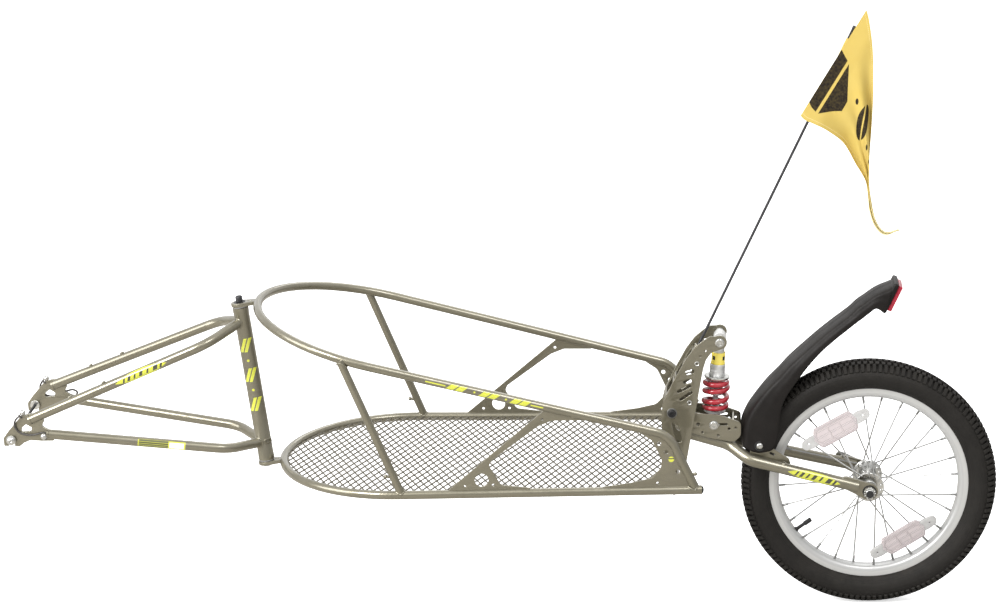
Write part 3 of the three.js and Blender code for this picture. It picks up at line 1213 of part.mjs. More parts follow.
function makeSpring() {
  const rings = springRings();
  const count = SPRING_WIRE_SIDES;
  const points = rings.flat();
  const faces = [];
  for (let i = 0; i < rings.length - 1; i += 1) {
    for (let k = 0; k < count; k += 1) {
      const [a, b] = [i * count + k, i * count + (k + 1) % count];
      faces.push(a, b, b + count, a, b + count, a + count);
    }
  }
  const last = (rings.length - 1) * count;
  for (let k = 1; k < count - 1; k += 1) faces.push(0, k + 1, k, last, last + k, last + k + 1);
  const geometry = new THREE.BufferGeometry();
  geometry.setAttribute('position', new THREE.Float32BufferAttribute(points.flatMap((p) => p.toArray()), 3));
  geometry.setIndex(faces);
  console.log(`least gap between the spring's curls: ${leastSpringGap().toFixed(2)} mm`);
  return inShock(piece('spring', geometry, springRed()));
}

// Wheel, about its own axle
const rimRadius = TYRE_RADIUS - TYRE_SECTION;
const rimInner = rimRadius - RIM_DEPTH;
const reflectorRadius = rimInner - REFLECTOR_INSET;

function mirrored(half) {
  return [...half, ...half.slice().reverse().filter(([, y]) => y !== 0).map(([r, y]) => [r, -y])];
}

function makeRim() {
  const inner = RIM_HALF_WIDTH - RIM_WALL;
  const profile = mirrored([
    [rimInner, -RIM_HALF_WIDTH * 0.4],
    [rimInner + RIM_WALL, -RIM_HALF_WIDTH * 0.85],
    [rimRadius, -RIM_HALF_WIDTH],
    [rimRadius, -inner],
    [rimInner + RIM_DEPTH * 0.55, -inner],
    [rimInner + RIM_DEPTH * 0.4, -inner / 2],
  ]);
  const [outerHalf, backHalf] = [profile.slice(0, 6), profile.slice(6)];
  return piece('rim', turned([...outerHalf, ...backHalf], WHEEL_SIDES), silver());
}

const TYRE_OUTER_SHARES = [[0.14, 0.85], [0.45, 1], [0.8, 0.8], [0.97, 0.36], [1, 0]];
const TYRE_INNER_SHARES = [[0.95, 0.3], [0.6, 0.98], [0.2, 0.8]];

function makeTyre() {
  const seat = rimRadius + GAP;
  const depth = TYRE_RADIUS - seat;
  const innerDepth = depth - TYRE_WALL;
  const innerHalf = TYRE_HALF_WIDTH - TYRE_WALL;
  const outer = [[seat, -RIM_HALF_WIDTH], ...TYRE_OUTER_SHARES.map(([d, w]) => [seat + d * depth, -w * TYRE_HALF_WIDTH])];
  const inner = [...TYRE_INNER_SHARES.map(([d, w]) => [seat + d * innerDepth, -w * innerHalf]),
    [seat, RIM_WALL - RIM_HALF_WIDTH]];
  const across = (list) => list.slice().reverse().map(([r, y]) => [r, -y]);
  const profile = [...outer, ...across(outer.slice(0, -1)), ...across(inner), ...inner];
  return piece('tyre', turned(profile, WHEEL_SIDES), tyreRubber());
}

function makeHub() {
  const [flange, thick] = [HUB_FLANGE_RADIUS, HUB_FLANGE_THICKNESS];
  const face = HUB_HALF_LENGTH - HUB_FLANGE_INSET;
  const shoulder = HUB_BARREL_RADIUS + thick;
  const half = [
    [HUB_BORE_RADIUS, HUB_HALF_LENGTH],
    [HUB_BARREL_RADIUS, HUB_HALF_LENGTH],
    [HUB_BARREL_RADIUS, face],
    [flange, face],
    [flange, face - thick],
    [shoulder, face - thick * 2],
    [HUB_BARREL_RADIUS, face - thick * 5],
  ];
  const profile = [...half, ...half.slice().reverse().map(([r, y]) => [r, -y])];
  return piece('hub_shell', turned(profile), silver());
}

const spokeRingFace = HUB_HALF_LENGTH - HUB_FLANGE_INSET + GAP;
const spokeStart = { radius: HUB_FLANGE_RADIUS - SPOKE_RING_WALL / 2, offset: spokeRingFace + SPOKE_RING_WALL / 2 };
const perSide = SPOKE_COUNT / 2;
const spokePitch = 360 / perSide;

function makeSpokes(label, side) {
  const { radius, offset } = spokeStart;
  const shift = side > 0 ? spokePitch / 2 : 0;
  const first = VALVE_ANGLE_DEGREES + spokePitch / 4 + shift;
  const end = rimInner - GAP;
  const bars = [];
  for (let i = 0; i < perSide; i += 1) {
    const hubAngle = radians(first + i * spokePitch);
    const lead = i % 2 === 0 ? 1 : -1;
    const rimAngle = radians(first + (i + lead * SPOKE_CROSSES) * spokePitch);
    const from = vec(radius * Math.cos(hubAngle), side * offset, radius * Math.sin(hubAngle));
    const to = vec(end * Math.cos(rimAngle), side * SPOKE_RIM_OFFSET, end * Math.sin(rimAngle));
    bars.push(rod(from, to, SPOKE_RADIUS, SPOKE_SIDES));
  }
  const [low, high] = [spokeRingFace, spokeRingFace + SPOKE_RING_WALL];
  const [inner, outer] = [HUB_FLANGE_RADIUS - SPOKE_RING_WALL, HUB_FLANGE_RADIUS];
  const ring = turned([[inner, side * low], [outer, side * low], [outer, side * high], [inner, side * high]], perSide * 2);
  const beyond = turned([
    [end, -HUB_HALF_LENGTH],
    [end + CUT_OVERRUN, -HUB_HALF_LENGTH],
    [end + CUT_OVERRUN, HUB_HALF_LENGTH],
    [end, HUB_HALF_LENGTH],
  ], WHEEL_SIDES);
  return piece(`spokes_${label}`, cut(join(ring, ...bars), beyond), silver());
}

function makeAxle() {
  const spread = AXLE_SPACING / 2;
  const cone = HUB_HALF_LENGTH + GAP;
  const half = [
    [AXLE_BORE_RADIUS, spread + REAR_DROPOUT_THICKNESS - GAP],
    [AXLE_RADIUS, spread + REAR_DROPOUT_THICKNESS - GAP],
    [AXLE_RADIUS, spread - GAP],
    [LOCKNUT_RADIUS, spread - GAP],
    [LOCKNUT_RADIUS, cone],
    [HUB_BORE_RADIUS - GAP, cone],
    [HUB_BORE_RADIUS - GAP, cone - CONE_LENGTH],
    [AXLE_RADIUS, cone - CONE_LENGTH],
  ];
  return piece('wheel_axle', turned([...half, ...half.slice().reverse().map(([r, y]) => [r, -y])]), silver());
}

function makeValve() {
  const from = rimInner * Math.cos(Math.PI / WHEEL_SIDES) - GAP;
  const to = from - VALVE_LENGTH;
  const profile = [
    [0, from],
    [VALVE_RADIUS, from],
    [VALVE_RADIUS, to + VALVE_CAP_LENGTH],
    [VALVE_CAP_RADIUS, to + VALVE_CAP_LENGTH],
    [VALVE_CAP_RADIUS, to],
    [0, to],
  ];
  const stem = turned(profile, TUBE_SIDES).rotateZ(-Math.PI / 2).rotateY(-radians(VALVE_ANGLE_DEGREES));
  return piece('valve', stem, blackPlastic());
}

// Clear reflectors lie flat on the left spokes
function makeSpokeReflector(name, degrees) {
  const rise = spokeStart.offset - SPOKE_RIM_OFFSET;
  const run = rimInner - spokeStart.radius;
  const slope = Math.atan2(rise, run);
  const angle = radians(degrees);
  const radial = vec(Math.cos(angle), 0, Math.sin(angle));
  const tangent = vec(-Math.sin(angle), 0, Math.cos(angle));
  const up = radial.clone().multiplyScalar(Math.cos(slope)).add(vec(0, Math.sin(slope), 0));
  const out = radial.clone().multiplyScalar(Math.sin(slope)).add(vec(0, -Math.cos(slope), 0));
  const offset = spokeStart.offset - (reflectorRadius - spokeStart.radius) * Math.tan(slope);
  const lift = SPOKE_RADIUS + GAP + REFLECTOR_THICKNESS / 2;
  const centre = radial.clone().multiplyScalar(reflectorRadius).add(vec(0, -offset, 0));
  centre.addScaledVector(out, lift);
  const matrix = new THREE.Matrix4().makeBasis(tangent, up, tangent.clone().cross(up)).setPosition(centre);
  const half = REFLECTOR_LENGTH / 2 - REFLECTOR_HEIGHT / 4;
  const outline = link([-half, 0], REFLECTOR_HEIGHT / 4, [half, 0], REFLECTOR_HEIGHT / 4, TUBE_SIDES / 2)
    .map(([x, y]) => [x, y * 2]);
  const geometry = levelPlate(shapeOf(outline), REFLECTOR_THICKNESS, 0).applyMatrix4(matrix);
  return piece(name, geometry, lensClear());
}

function makeSkewer() {
  const face = AXLE_SPACING / 2 + REAR_DROPOUT_THICKNESS + GAP;
  const nut = face + SKEWER_NUT_DEPTH;
  const barrel = face + SKEWER_BARREL_DEPTH;
  const profile = [
    [0, -nut],
    [SKEWER_NUT_RADIUS * 0.6, -nut],
    [SKEWER_NUT_RADIUS, -face],
    [SKEWER_RADIUS, -face],
    [SKEWER_RADIUS, face],
    [SKEWER_BARREL_RADIUS, face],
    [SKEWER_BARREL_RADIUS, barrel],
    [0, barrel],
  ];
  return piece('wheel_skewer', turned(profile), silver());
}

function makeLever() {
  const angle = radians(LEVER_ANGLE_DEGREES);
  const along = vec(Math.cos(angle), 0, Math.sin(angle));
  const across = vec(-Math.sin(angle), 0, Math.cos(angle));
  const y = AXLE_SPACING / 2 + REAR_DROPOUT_THICKNESS + SKEWER_BARREL_DEPTH + GAP * 2 + LEVER_CAM_RADIUS;
  const centre = vec(0, y, 0);
  const cam = rod(
    centre.clone().addScaledVector(across, -LEVER_CAM_WIDTH / 2),
    centre.clone().addScaledVector(across, LEVER_CAM_WIDTH / 2),
    LEVER_CAM_RADIUS,
  );
  const blade = new THREE.BoxGeometry(LEVER_LENGTH, LEVER_THICKNESS, LEVER_CAM_WIDTH);
  blade.translate(LEVER_LENGTH / 2, 0, 0).rotateY(-angle).translate(0, y, 0);
  return piece('skewer_lever', join(cam, blade), silver());
}

const wheel = group(
  makeRim(),
  makeTyre(),
  makeHub(),
  sides.map(([label, side]) => makeSpokes(label, side)),
  makeValve(),
  makeSpokeReflector('spoke_reflector_upper', REFLECTOR_ANGLES_DEGREES[0]),
  makeSpokeReflector('spoke_reflector_lower', REFLECTOR_ANGLES_DEGREES[1]),
);
const wheelCarrier = group(wheel, makeAxle(), makeSkewer(), makeLever());
wheelCarrier.position.copy(axle);

const frame = group(
  makeTopRail(),
  piece('low_rail', tube(lowRailPath, RAIL_RADIUS), champagne()),
  sides.map(([label, side]) => makeStrut(label, side)),
  sides.map(([label, side]) => makeFrontGusset(label, side)),
  sides.map(([label, side]) => makeRearGusset(label, side)),
  makeCrossTube(),
  makeNet(),
  makeBracket('upper_bracket', 1, topRailRoom),
  makeBracket('lower_bracket', -1, lowRailRoom),
  makeHeadBolt(),
  sides.map(([label, side]) => makeTowerPlate(label, side)),
  makeTowerWeb(),
  makeThroughBolt('pivot_bolt', pivot, PIVOT_RADIUS, PIVOT_HEAD_RADIUS, towerOuter + GAP, darkSteel()),
  makeThroughBolt('upper_shock_bolt', shockTop, SHOCK_BOLT_RADIUS, SHOCK_BOLT_HEAD_RADIUS, towerOuter + GAP, silver()),
);

const upperStart = vec(UPPER_ARM_START, 0, UPPER_ARM_START_RISE);
const upperBend = vec(FORK_REACH - UPPER_BEND_FROM_HEAD, UPPER_BEND_HALF_WIDTH, UPPER_BEND_RISE);
const lowerStart = vec(LOWER_ARM_START, 0, LOWER_ARM_START_RISE);
const lowerBend = vec(FORK_REACH - LOWER_BEND_FROM_HEAD, LOWER_BEND_HALF_WIDTH, -LOWER_BEND_DROP);

const fork = group(
  makeHeadTube(),
  makeBushing('upper_bushing', 1),
  makeBushing('lower_bushing', -1),
  sides.map(([label, side]) => [
    makeForkArm(`upper_arm_${label}`, side, upperStart, upperBend, UPPER_JOIN_RISE, UPPER_ARM_SLOT),
    makeForkArm(`lower_arm_${label}`, side, lowerStart, lowerBend, -LOWER_JOIN_DROP, LOWER_ARM_SLOT),
    makeDropout(label, side),
    makeRetainingPin(label, side),
    makeLanyard(label, side),
    makeBobbin(label, side),
  ]).flat(),
  makeHitchRod(),
);

const swingarm = group(
  makeSwingBox(),
  sides.map(([label, side]) => makeLeg(label, side)),
  makeFender(),
  makeTailReflector(),
  sides.map(([label, side]) => makeFenderBolt(label, side)),
  makeThroughBolt('lower_shock_bolt', shockFoot, SHOCK_BOLT_RADIUS, SHOCK_BOLT_HEAD_RADIUS, boxOuter + GAP, silver()),
  wheelCarrier,
);

// A many-sided bore that turns about a many-sided body clears the body's corners with its flats
const preloadBore = SHOCK_BODY_RADIUS / Math.cos(Math.PI / ROUND_SIDES) + GAP / 2;

const shock = group(
  makeShockBody(),
  makeShockRing('shock_collar', SHOCK_NECK_RADIUS + GAP, SHOCK_NECK_RADIUS + GAP + COLLAR_WALL, COLLAR_TOP,
    COLLAR_FOOT, collarYellow()),
  makeShockRing('preload_nut', preloadBore, PRELOAD_RADIUS, PRELOAD_TOP, PRELOAD_TOP + PRELOAD_DEPTH,
    silver()),
  makeSpring(),
  makeShockShaft(),
);

const trailer = group(frame, fork, swingarm, shock, makePole(), makeFlag());

export default trailer;
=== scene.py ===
"""Dresses the single wheel touring trailer: smooth tubes, wheel, shock, fender, flag and their finishes."""

import math

import bpy
from mathutils import Matrix, Vector


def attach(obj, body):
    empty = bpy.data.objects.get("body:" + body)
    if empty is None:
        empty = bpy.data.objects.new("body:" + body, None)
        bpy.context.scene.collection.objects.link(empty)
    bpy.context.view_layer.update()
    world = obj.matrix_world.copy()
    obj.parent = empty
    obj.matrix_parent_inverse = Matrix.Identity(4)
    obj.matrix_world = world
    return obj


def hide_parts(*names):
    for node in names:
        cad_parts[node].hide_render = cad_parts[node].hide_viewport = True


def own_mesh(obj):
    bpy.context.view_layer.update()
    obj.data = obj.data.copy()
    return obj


bl_info = {
    "name": "Single Wheel Trailer",
    "version": (1, 0, 0),
    "blender": (4, 5, 0),
    "location": "View3D > Sidebar > Trailer",
    "description": "Models and finishes a single wheel touring trailer round its packed solids",
    "category": "Object",
}

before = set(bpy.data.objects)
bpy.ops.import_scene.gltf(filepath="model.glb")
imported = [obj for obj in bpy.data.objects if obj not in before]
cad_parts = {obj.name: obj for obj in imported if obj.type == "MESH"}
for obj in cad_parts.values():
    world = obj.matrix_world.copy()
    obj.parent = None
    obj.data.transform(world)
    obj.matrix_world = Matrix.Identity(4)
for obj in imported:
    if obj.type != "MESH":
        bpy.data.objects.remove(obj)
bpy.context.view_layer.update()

MM = 0.001
Y_AXIS = Vector((0, 1, 0))
SIDES = (("left", -1), ("right", 1))


def mm(x, y, z):
    """A point given in millimetres, in metres."""
    return Vector((x, y, z)) * MM


# Places that several pieces share, in millimetres
HEAD = (382.6, 61.0)
HEAD_TILT = math.radians(6.4)
HEAD_AXIS = Vector((-math.sin(HEAD_TILT), 0, math.cos(HEAD_TILT)))
HEAD_AHEAD = Vector((math.cos(HEAD_TILT), 0, math.sin(HEAD_TILT)))
TOP_NOSE = (398.325, 198.912)
LOW_NOSE = (427.753, -63.442)
BED = -63.442
RAIL_END = 1107.753
CROSS_X = 1064.753
KNEE_X = 1057.753
FOOT_X = 1096.753
SIDE_TAPER = 20 / (RAIL_END - TOP_NOSE[0])
TOP_SLOPE = 0.259943
PIVOT = (1060.253, 12.558)
SHOCK_TOP = (1138.253, 129.558)
SHOCK_FOOT = (1126.753, -9.442)
AXLE = (1373.753, -115.442)
POLE_SEAT = (1086.753, 80.558)
POLE_LEAN = math.radians(25.92)
NOSE_BOW = 200.0
FENDER_BOLT = (1199.7, -42.46)
HITCH_HALF = 92.0
TYRE_RADIUS = 205
TAIL_TOP = (1424.6, 221.8)
TAIL_FOOT = (1400.8, 172.2)
LEG_KNEE = (1183.753, -64.442)
LEG_END = (1351.753, -106.442)
UPPER_KNEE = (322, 65, 148)
LOWER_KNEE = (345, 60, -31)


def side_half(x):
    """Half of the bed's width at x."""
    return 205 - (x - TOP_NOSE[0]) * SIDE_TAPER


def rail_rise(x):
    """Height of the upper hoop's middle line at x."""
    return TOP_NOSE[1] - (x - TOP_NOSE[0]) * TOP_SLOPE


def head_point(ahead, across, rise):
    """A point in the head tube's own directions."""
    return mm(HEAD[0], across, HEAD[1]) + (HEAD_AHEAD * ahead + HEAD_AXIS * rise) * MM


def head_axis_at(z):
    """The point of the head tube's middle line at height z."""
    return (HEAD[0] - (z - HEAD[1]) * math.tan(HEAD_TILT), 0, z)


# Sizes and colours


def in_metres(title, text, value):
    """A length property with its title, description and default in metres."""
    return bpy.props.FloatProperty(name=title, description=text, default=value, unit="LENGTH")


def in_watts(title, text, value):
    """A lamp's power with its title, description and default in watts."""
    return bpy.props.FloatProperty(name=title, description=text, default=value, unit="POWER")


def as_factor(title, text, value):
    """A strength from 0 to 2 with its title, description and default."""
    return bpy.props.FloatProperty(name=title, description=text, default=value, subtype="FACTOR", min=0,
                                   max=2)


def colour(title, text, value):
    """A colour property with its title, description and default."""
    return bpy.props.FloatVectorProperty(
        name=title, description=text, default=value, subtype="COLOR", size=3, min=0, max=1)


class TrailerSizes(bpy.types.PropertyGroup):
    """Sizes of the trailer's details"""

    tube_sides: bpy.props.IntProperty(name="Tube sides", description="Faces round each tube", default=28,
                                      min=8)
    rail_radius: in_metres("Rail radius", "Radius of both hoops", 0.007)
    strut_radius: in_metres("Strut radius", "Radius of the slanted struts", 0.00635)
    fork_radius: in_metres("Fork arm radius", "Radius of the four fork arms", 0.008)
    leg_radius: in_metres("Swingarm leg radius", "Radius of the swingarm's legs", 0.0095)
    bead_radius: in_metres("Weld bead radius", "Radius of the weld beads", 0.0013)
    net_length: in_metres("Net diamond length", "Diamond of the net along the trailer", 0.0129)
    net_width: in_metres("Net diamond width", "Diamond of the net across the trailer", 0.0295)
    net_strand: in_metres("Net strand", "Width of the net's strands", 0.0023)
    tread_blocks: bpy.props.IntProperty(
        name="Tread blocks", description="Blocks in each row of the tread", default=132, min=24)
    flag_rows: bpy.props.IntProperty(name="Flag rows", description="Faces along the flag", default=64, min=12)


class TrailerColours(bpy.types.PropertyGroup):
    """Colours of the trailer's finishes"""

    paint: colour("Frame paint", "Champagne metallic paint of the tubes", (0.15, 0.137, 0.094))
    paint_pale: colour("Frame paint, light side", "Light flake of the paint", (0.38, 0.352, 0.27))
    decal: colour("Decals", "Yellow of the plain bars and dots", (0.43, 0.44, 0.03))
    steel: colour("Silver metal", "Bright parts, rim and hub", (0.62, 0.62, 0.6))
    dark_steel: colour("Dark steel", "Blackened bolts", (0.045, 0.045, 0.047))
    tyre: colour("Tyre", "Rubber of the tyre", (0.0095, 0.0085, 0.0073))
    fender: colour("Fender", "Plastic of the fender", (0.0062, 0.005, 0.0044))
    spring: colour("Spring", "Powder coat of the coil spring", (0.31, 0.008, 0.018))
    collar: colour("Collar", "Yellow collar of the shock", (0.84, 0.7, 0.12))
    flag: colour("Flag", "Cloth of the flag", (0.46, 0.335, 0.082))
    print_ink: colour("Flag print", "Dark print of the flag", (0.012, 0.009, 0.008))
    lens: colour("Tail lens", "Red tail reflector", (0.36, 0.008, 0.03))


class TrailerStage(bpy.types.PropertyGroup):
    """Floor and light of the picture"""

    floor: colour("Floor", "Colour of the floor", (0.93, 0.93, 0.93))
    key: in_watts("Key light", "Power of the key light", 105.0)
    fill: in_watts("Fill light", "Power of the fill light", 48.0)
    floor_mirrored: colour("Mirrored floor", "Colour of the floor as shiny pieces mirror it",
                           (0.42, 0.4, 0.365))
    sky: as_factor("Sky", "Strength of the sky's light overhead", 1.15)
    front: as_factor("Front", "Strength of the sky's light from the front", 0.55)
    lift: as_factor("Floor lift", "Light that the floor adds for the camera", 0.6)


def sizes():
    return bpy.context.scene.trailer_sizes


def tints():
    return bpy.context.scene.trailer_colours


# Modelling helpers


def fresh():
    """Leaves edit mode and deselects everything."""
    if bpy.context.mode != "OBJECT":
        bpy.ops.object.mode_set(mode="OBJECT")
    bpy.ops.object.select_all(action="DESELECT")


def only(made):
    """Selects one object alone and makes it the active one."""
    fresh()
    made.select_set(True)
    bpy.context.view_layer.objects.active = made


def shade_up_to(degrees):
    """Shades the active mesh smooth, but for edges sharper than an angle."""
    bpy.ops.object.shade_smooth_by_angle(angle=math.radians(degrees))


def edit_all():
    """Opens the active mesh with all of it selected."""
    bpy.ops.object.mode_set(mode="EDIT")
    bpy.ops.mesh.select_all(action="SELECT")


def close_up(smooth=35, fill=True):
    """Merges doubles, closes open ends, points the faces outwards and shades the edges."""
    bpy.ops.mesh.select_all(action="SELECT")
    bpy.ops.mesh.remove_doubles(threshold=2e-6)
    if fill:
        bpy.ops.mesh.fill_holes(sides=0)
    bpy.ops.mesh.select_all(action="SELECT")
    bpy.ops.mesh.normals_make_consistent(inside=False)
    bpy.ops.object.mode_set(mode="OBJECT")
    shade_up_to(smooth)
    return bpy.context.object


def settle(name=None):
    """Lays the active object's place into its mesh, so that it sits at the origin."""
    bpy.ops.object.transform_apply(location=True, rotation=True, scale=True)
    made = bpy.context.object
    if name:
        made.name = made.data.name = name
    return made


def bent_tube(name, corners, radius, sides=None):
    """A tube along corners of (point in mm, bend radius in mm), by extruding and spinning a ring."""
    points = [Vector(p) * MM for p, _bend in corners]
    heads = [(b - a).normalized() for a, b in zip(points, points[1:])]
    fresh()
    bpy.ops.mesh.primitive_circle_add(
        vertices=sides or sizes().tube_sides, radius=radius, fill_type="NOTHING", location=points[0],
        rotation=heads[0].to_track_quat("Z", "Y").to_euler())
    settle(name)
    edit_all()
    at = points[0]
    for i in range(1, len(points) - 1):
        into, out, bend = heads[i - 1], heads[i], corners[i][1] * MM
        turn = into.angle(out)
        start = points[i] - into * bend * math.tan(turn / 2)
        inward = (out - into * into.dot(out)).normalized()
        bpy.ops.mesh.extrude_region_move(TRANSFORM_OT_translate={"value": start - at})
        steps = max(3, math.ceil(math.degrees(turn) / 6))
        bpy.ops.mesh.spin(steps=steps, angle=-turn, center=start + inward * bend, axis=into.cross(out))
        at = points[i] + out * bend * math.tan(turn / 2)
    bpy.ops.mesh.extrude_region_move(TRANSFORM_OT_translate={"value": points[-1] - at})
    return close_up()


def rod(name, start, end, radius, sides=24, rounding=0.0):
    """A straight bar between two points in mm, with rounded ends."""
    start, end = Vector(start) * MM, Vector(end) * MM
    along = end - start
    edge = min(rounding, radius * 0.98)
    length = along.length
    profile = [(0, 0), (radius - edge, 0)]
    if edge:
        profile += [(radius - edge + edge * math.sin(a), edge - edge * math.cos(a))
                    for a in (0.4, 0.8, 1.2, 1.5708)]
        profile += [(r, length - d) for r, d in profile[:1:-1]]
    profile += [(radius - edge, length), (0, length)]
    return lathe(name, [(r / MM, d / MM) for r, d in profile], start, along, sides)


def lathe(name, profile, centre, axis, steps=40, smooth=35, closed=False):
    """Turns a profile of (radius, distance along the axis) in mm about an axis through centre."""
    axis = Vector(axis).normalized()
    out = axis.orthogonal().normalized()
    spots = [Vector(centre) + (out * r + axis * d) * MM for r, d in profile]
    if closed:
        spots.append(spots[0])
    fresh()
    bpy.ops.mesh.primitive_plane_add(size=MM, location=spots[0])
    settle(name)
    edit_all()
    bpy.ops.mesh.merge(type="CENTER")
    for a, b in zip(spots, spots[1:]):
        if (b - a).length > 1e-7:
            bpy.ops.mesh.extrude_vertices_move(TRANSFORM_OT_translate={"value": b - a})
    bpy.ops.mesh.select_all(action="SELECT")
    bpy.ops.mesh.spin(steps=steps, angle=math.tau, center=Vector(centre), axis=axis)
    return close_up(smooth, fill=False)


def rounded(corners, steps=5):
    """An outline of (x, y) or (x, y, radius) corners with its corners rounded."""
    points = []
    count = len(corners)
    for i, corner in enumerate(corners):
        here = Vector(corner[:2])
        radius = corner[2] if len(corner) > 2 else 0
        before = Vector(corners[i - 1][:2]) - here
        after = Vector(corners[(i + 1) % count][:2]) - here
        opening = before.angle(after)
        if radius <= 0 or opening > math.pi - 0.02:
            points.append(here)
            continue
        reach = min(radius / math.tan(opening / 2), before.length * 0.49, after.length * 0.49)
        radius = reach * math.tan(opening / 2)
        middle = (before.normalized() + after.normalized()).normalized()
        centre = here + middle * radius / math.sin(opening / 2)
        first = here + before.normalized() * reach - centre
        last = here + after.normalized() * reach - centre
        swing = first.angle_signed(last)
        for k in range(steps + 1):
            angle = swing * k / steps
            turned = Vector((
                first.x * math.cos(angle) + first.y * math.sin(angle),
                first.y * math.cos(angle) - first.x * math.sin(angle)))
            points.append(centre + turned)
    return points


def ring(x, y, radius, count=28):
    """A round outline."""
    return [Vector((x + radius * math.cos(math.tau * k / count), y + radius * math.sin(math.tau * k / count)))
            for k in range(count)]


def swept(centre, radius, start, sweep, count):
    """Points of an arc round centre, from an angle over a sweep, both in radians."""
    angles = [start + sweep * k / count for k in range(count + 1)]
    return [centre + Vector((math.cos(angle), math.sin(angle))) * radius for angle in angles]


def slot(a, b, radius, count=10):
    """An outline round two points, as of a slotted hole."""
    a, b = Vector(a), Vector(b)
    lean = math.atan2(b.y - a.y, b.x - a.x)
    points = []
    for middle, start in ((b, lean - math.pi / 2), (a, lean + math.pi / 2)):
        points += swept(middle, radius, start, math.pi, count)
    return points


def arc(x, y, radius, start, end, count=12):
    """Points of an arc, with its angles in degrees."""
    return [(x + radius * math.cos(math.radians(start + (end - start) * k / count)), y
             + radius * math.sin(math.radians(start + (end - start) * k / count)))
            for k in range(count + 1)]


UPRIGHT = Matrix.Rotation(math.radians(90), 4, "X")


def moved(x, y, z):
    """A move by millimetres."""
    return Matrix.Translation(mm(x, y, z))


def upright(x, y, z):
    """A move by millimetres for an outline that stands upright, along the trailer."""
    return moved(x, y, z) @ UPRIGHT


def facing(x_way, y_way, z_way, at):
    """A place at a point in metres, with its axes along three directions."""
    place = Matrix((x_way, y_way, z_way)).transposed().to_4x4()
    place.translation = at
    return place


def draw_line(curve, points, closed, thick=None):
    """Adds a line through points in metres to a curve; thick gives its radius at each point, as a share."""
    spline = curve.splines.new("POLY")
    spline.points.add(len(points) - 1)
    for i, (spot, point) in enumerate(zip(spline.points, points)):
        spot.co = (*point, 1)
        spot.radius = thick[i] if thick else 1
    spline.use_cyclic_u = closed


def as_mesh(name, curve):
    """Puts a curve into the scene and turns it into a mesh."""
    made = bpy.data.objects.new(name, curve)
    bpy.context.scene.collection.objects.link(made)
    only(made)
    bpy.ops.object.convert(target="MESH")
    return bpy.context.object


def plate(name, outline, holes, thickness, place, edge=0.35):
    """A plate with round edges from outlines in mm, made flat and then put in its place."""
    fresh()
    flat = bpy.data.curves.new(name, "CURVE")
    flat.dimensions, flat.fill_mode = "2D", "BOTH"
    flat.extrude, flat.bevel_depth, flat.bevel_resolution = (thickness / 2 - edge) * MM, edge * MM, 2
    for points in [outline, *holes]:
        draw_line(flat, [(point[0] * MM, point[1] * MM, 0) for point in points], True)
    as_mesh(name, flat).matrix_world = place
    settle(name)
    edit_all()
    return close_up(40, fill=False)


def block(name, size, place, edge, segments=2, shape=None):
    """A block with bevelled edges, size in mm; shape changes it before its edges are bevelled."""
    fresh()
    bpy.ops.mesh.primitive_cube_add(size=1)
    made = bpy.context.object
    made.scale = [side * MM for side in size]
    settle(name)
    if shape:
        edit_all()
        shape(made)
    edit_all()
    bpy.ops.mesh.bevel(offset=edge * MM, segments=segments, affect="EDGES")
    bpy.ops.object.mode_set(mode="OBJECT")
    made.matrix_world = place
    settle(name)
    shade_up_to(35)
    return made


def wire(name, points, radius, sides=3, thick=None, closed=False):
    """A round wire along points in metres; thick gives its radius at each point, as a share."""
    fresh()
    path = bpy.data.curves.new(name, "CURVE")
    path.dimensions, path.bevel_depth, path.bevel_resolution = "3D", radius, sides
    path.use_fill_caps = not closed
    draw_line(path, points, closed, thick)
    as_mesh(name, path)
    edit_all()
    return close_up(50)


def smooth_path(points, steps=8):
    """Points of a smooth curve through the given ones."""
    spots = [Vector(p) for p in points]
    spots = [spots[0] * 2 - spots[1], *spots, spots[-1] * 2 - spots[-2]]
    path = []
    for a, b, c, d in zip(spots, spots[1:], spots[2:], spots[3:]):
        for k in range(steps):
            t = k / steps
            path.append(0.5 * (2 * b + (c - a) * t + (2 * a - 5 * b + 4 * c - d) * t * t
                               + (3 * b - a - 3 * c + d) * t * t * t))
    path.append(spots[-2])
    return path


def bead(name, base, toward, radius, parent_at, parent_axis, parent_radius):
    """A weld bead where a tube that starts at base and runs toward meets a parent tube, all in metres."""
    toward, parent_axis = Vector(toward).normalized(), Vector(parent_axis).normalized()
    across = toward.cross(parent_axis).normalized()
    other = toward.cross(across)
    points = []
    count = 40
    for k in range(count):
        angle = math.tau * k / count
        start = Vector(base) + (across * math.cos(angle) + other * math.sin(angle)) * radius
        gap = start - Vector(parent_at)
        side = gap - parent_axis * gap.dot(parent_axis)
        run = toward - parent_axis * toward.dot(parent_axis)
        a, b, c = run.dot(run), 2 * run.dot(side), side.dot(side) - parent_radius ** 2
        inside = max(b * b - 4 * a * c, 0)
        points.append(start + toward * ((-b + math.sqrt(inside)) / (2 * a)))
    ripple = [1 + 0.16 * math.sin(math.tau * k * 10 / count) for k in range(count)]
    return wire(name, points, sizes().bead_radius, 2, ripple, closed=True)


def merge_objects(name, parts):
    """Joins finished parts into one object."""
    fresh()
    for part in parts:
        part.select_set(True)
    bpy.context.view_layer.objects.active = parts[0]
    if len(parts) > 1:
        bpy.ops.object.join()
    made = bpy.context.object
    made.name = made.data.name = name
    return made


def cut_away(made, cutter, operation="DIFFERENCE"):
    """Cuts one mesh with another and takes the cutter away."""
    only(made)
    cut = made.modifiers.new("cut", "BOOLEAN")
    cut.operation, cut.object, cut.solver = operation, cutter, "EXACT"
    bpy.ops.object.modifier_apply(modifier="cut")
    bpy.data.objects.remove(cutter)
    return made


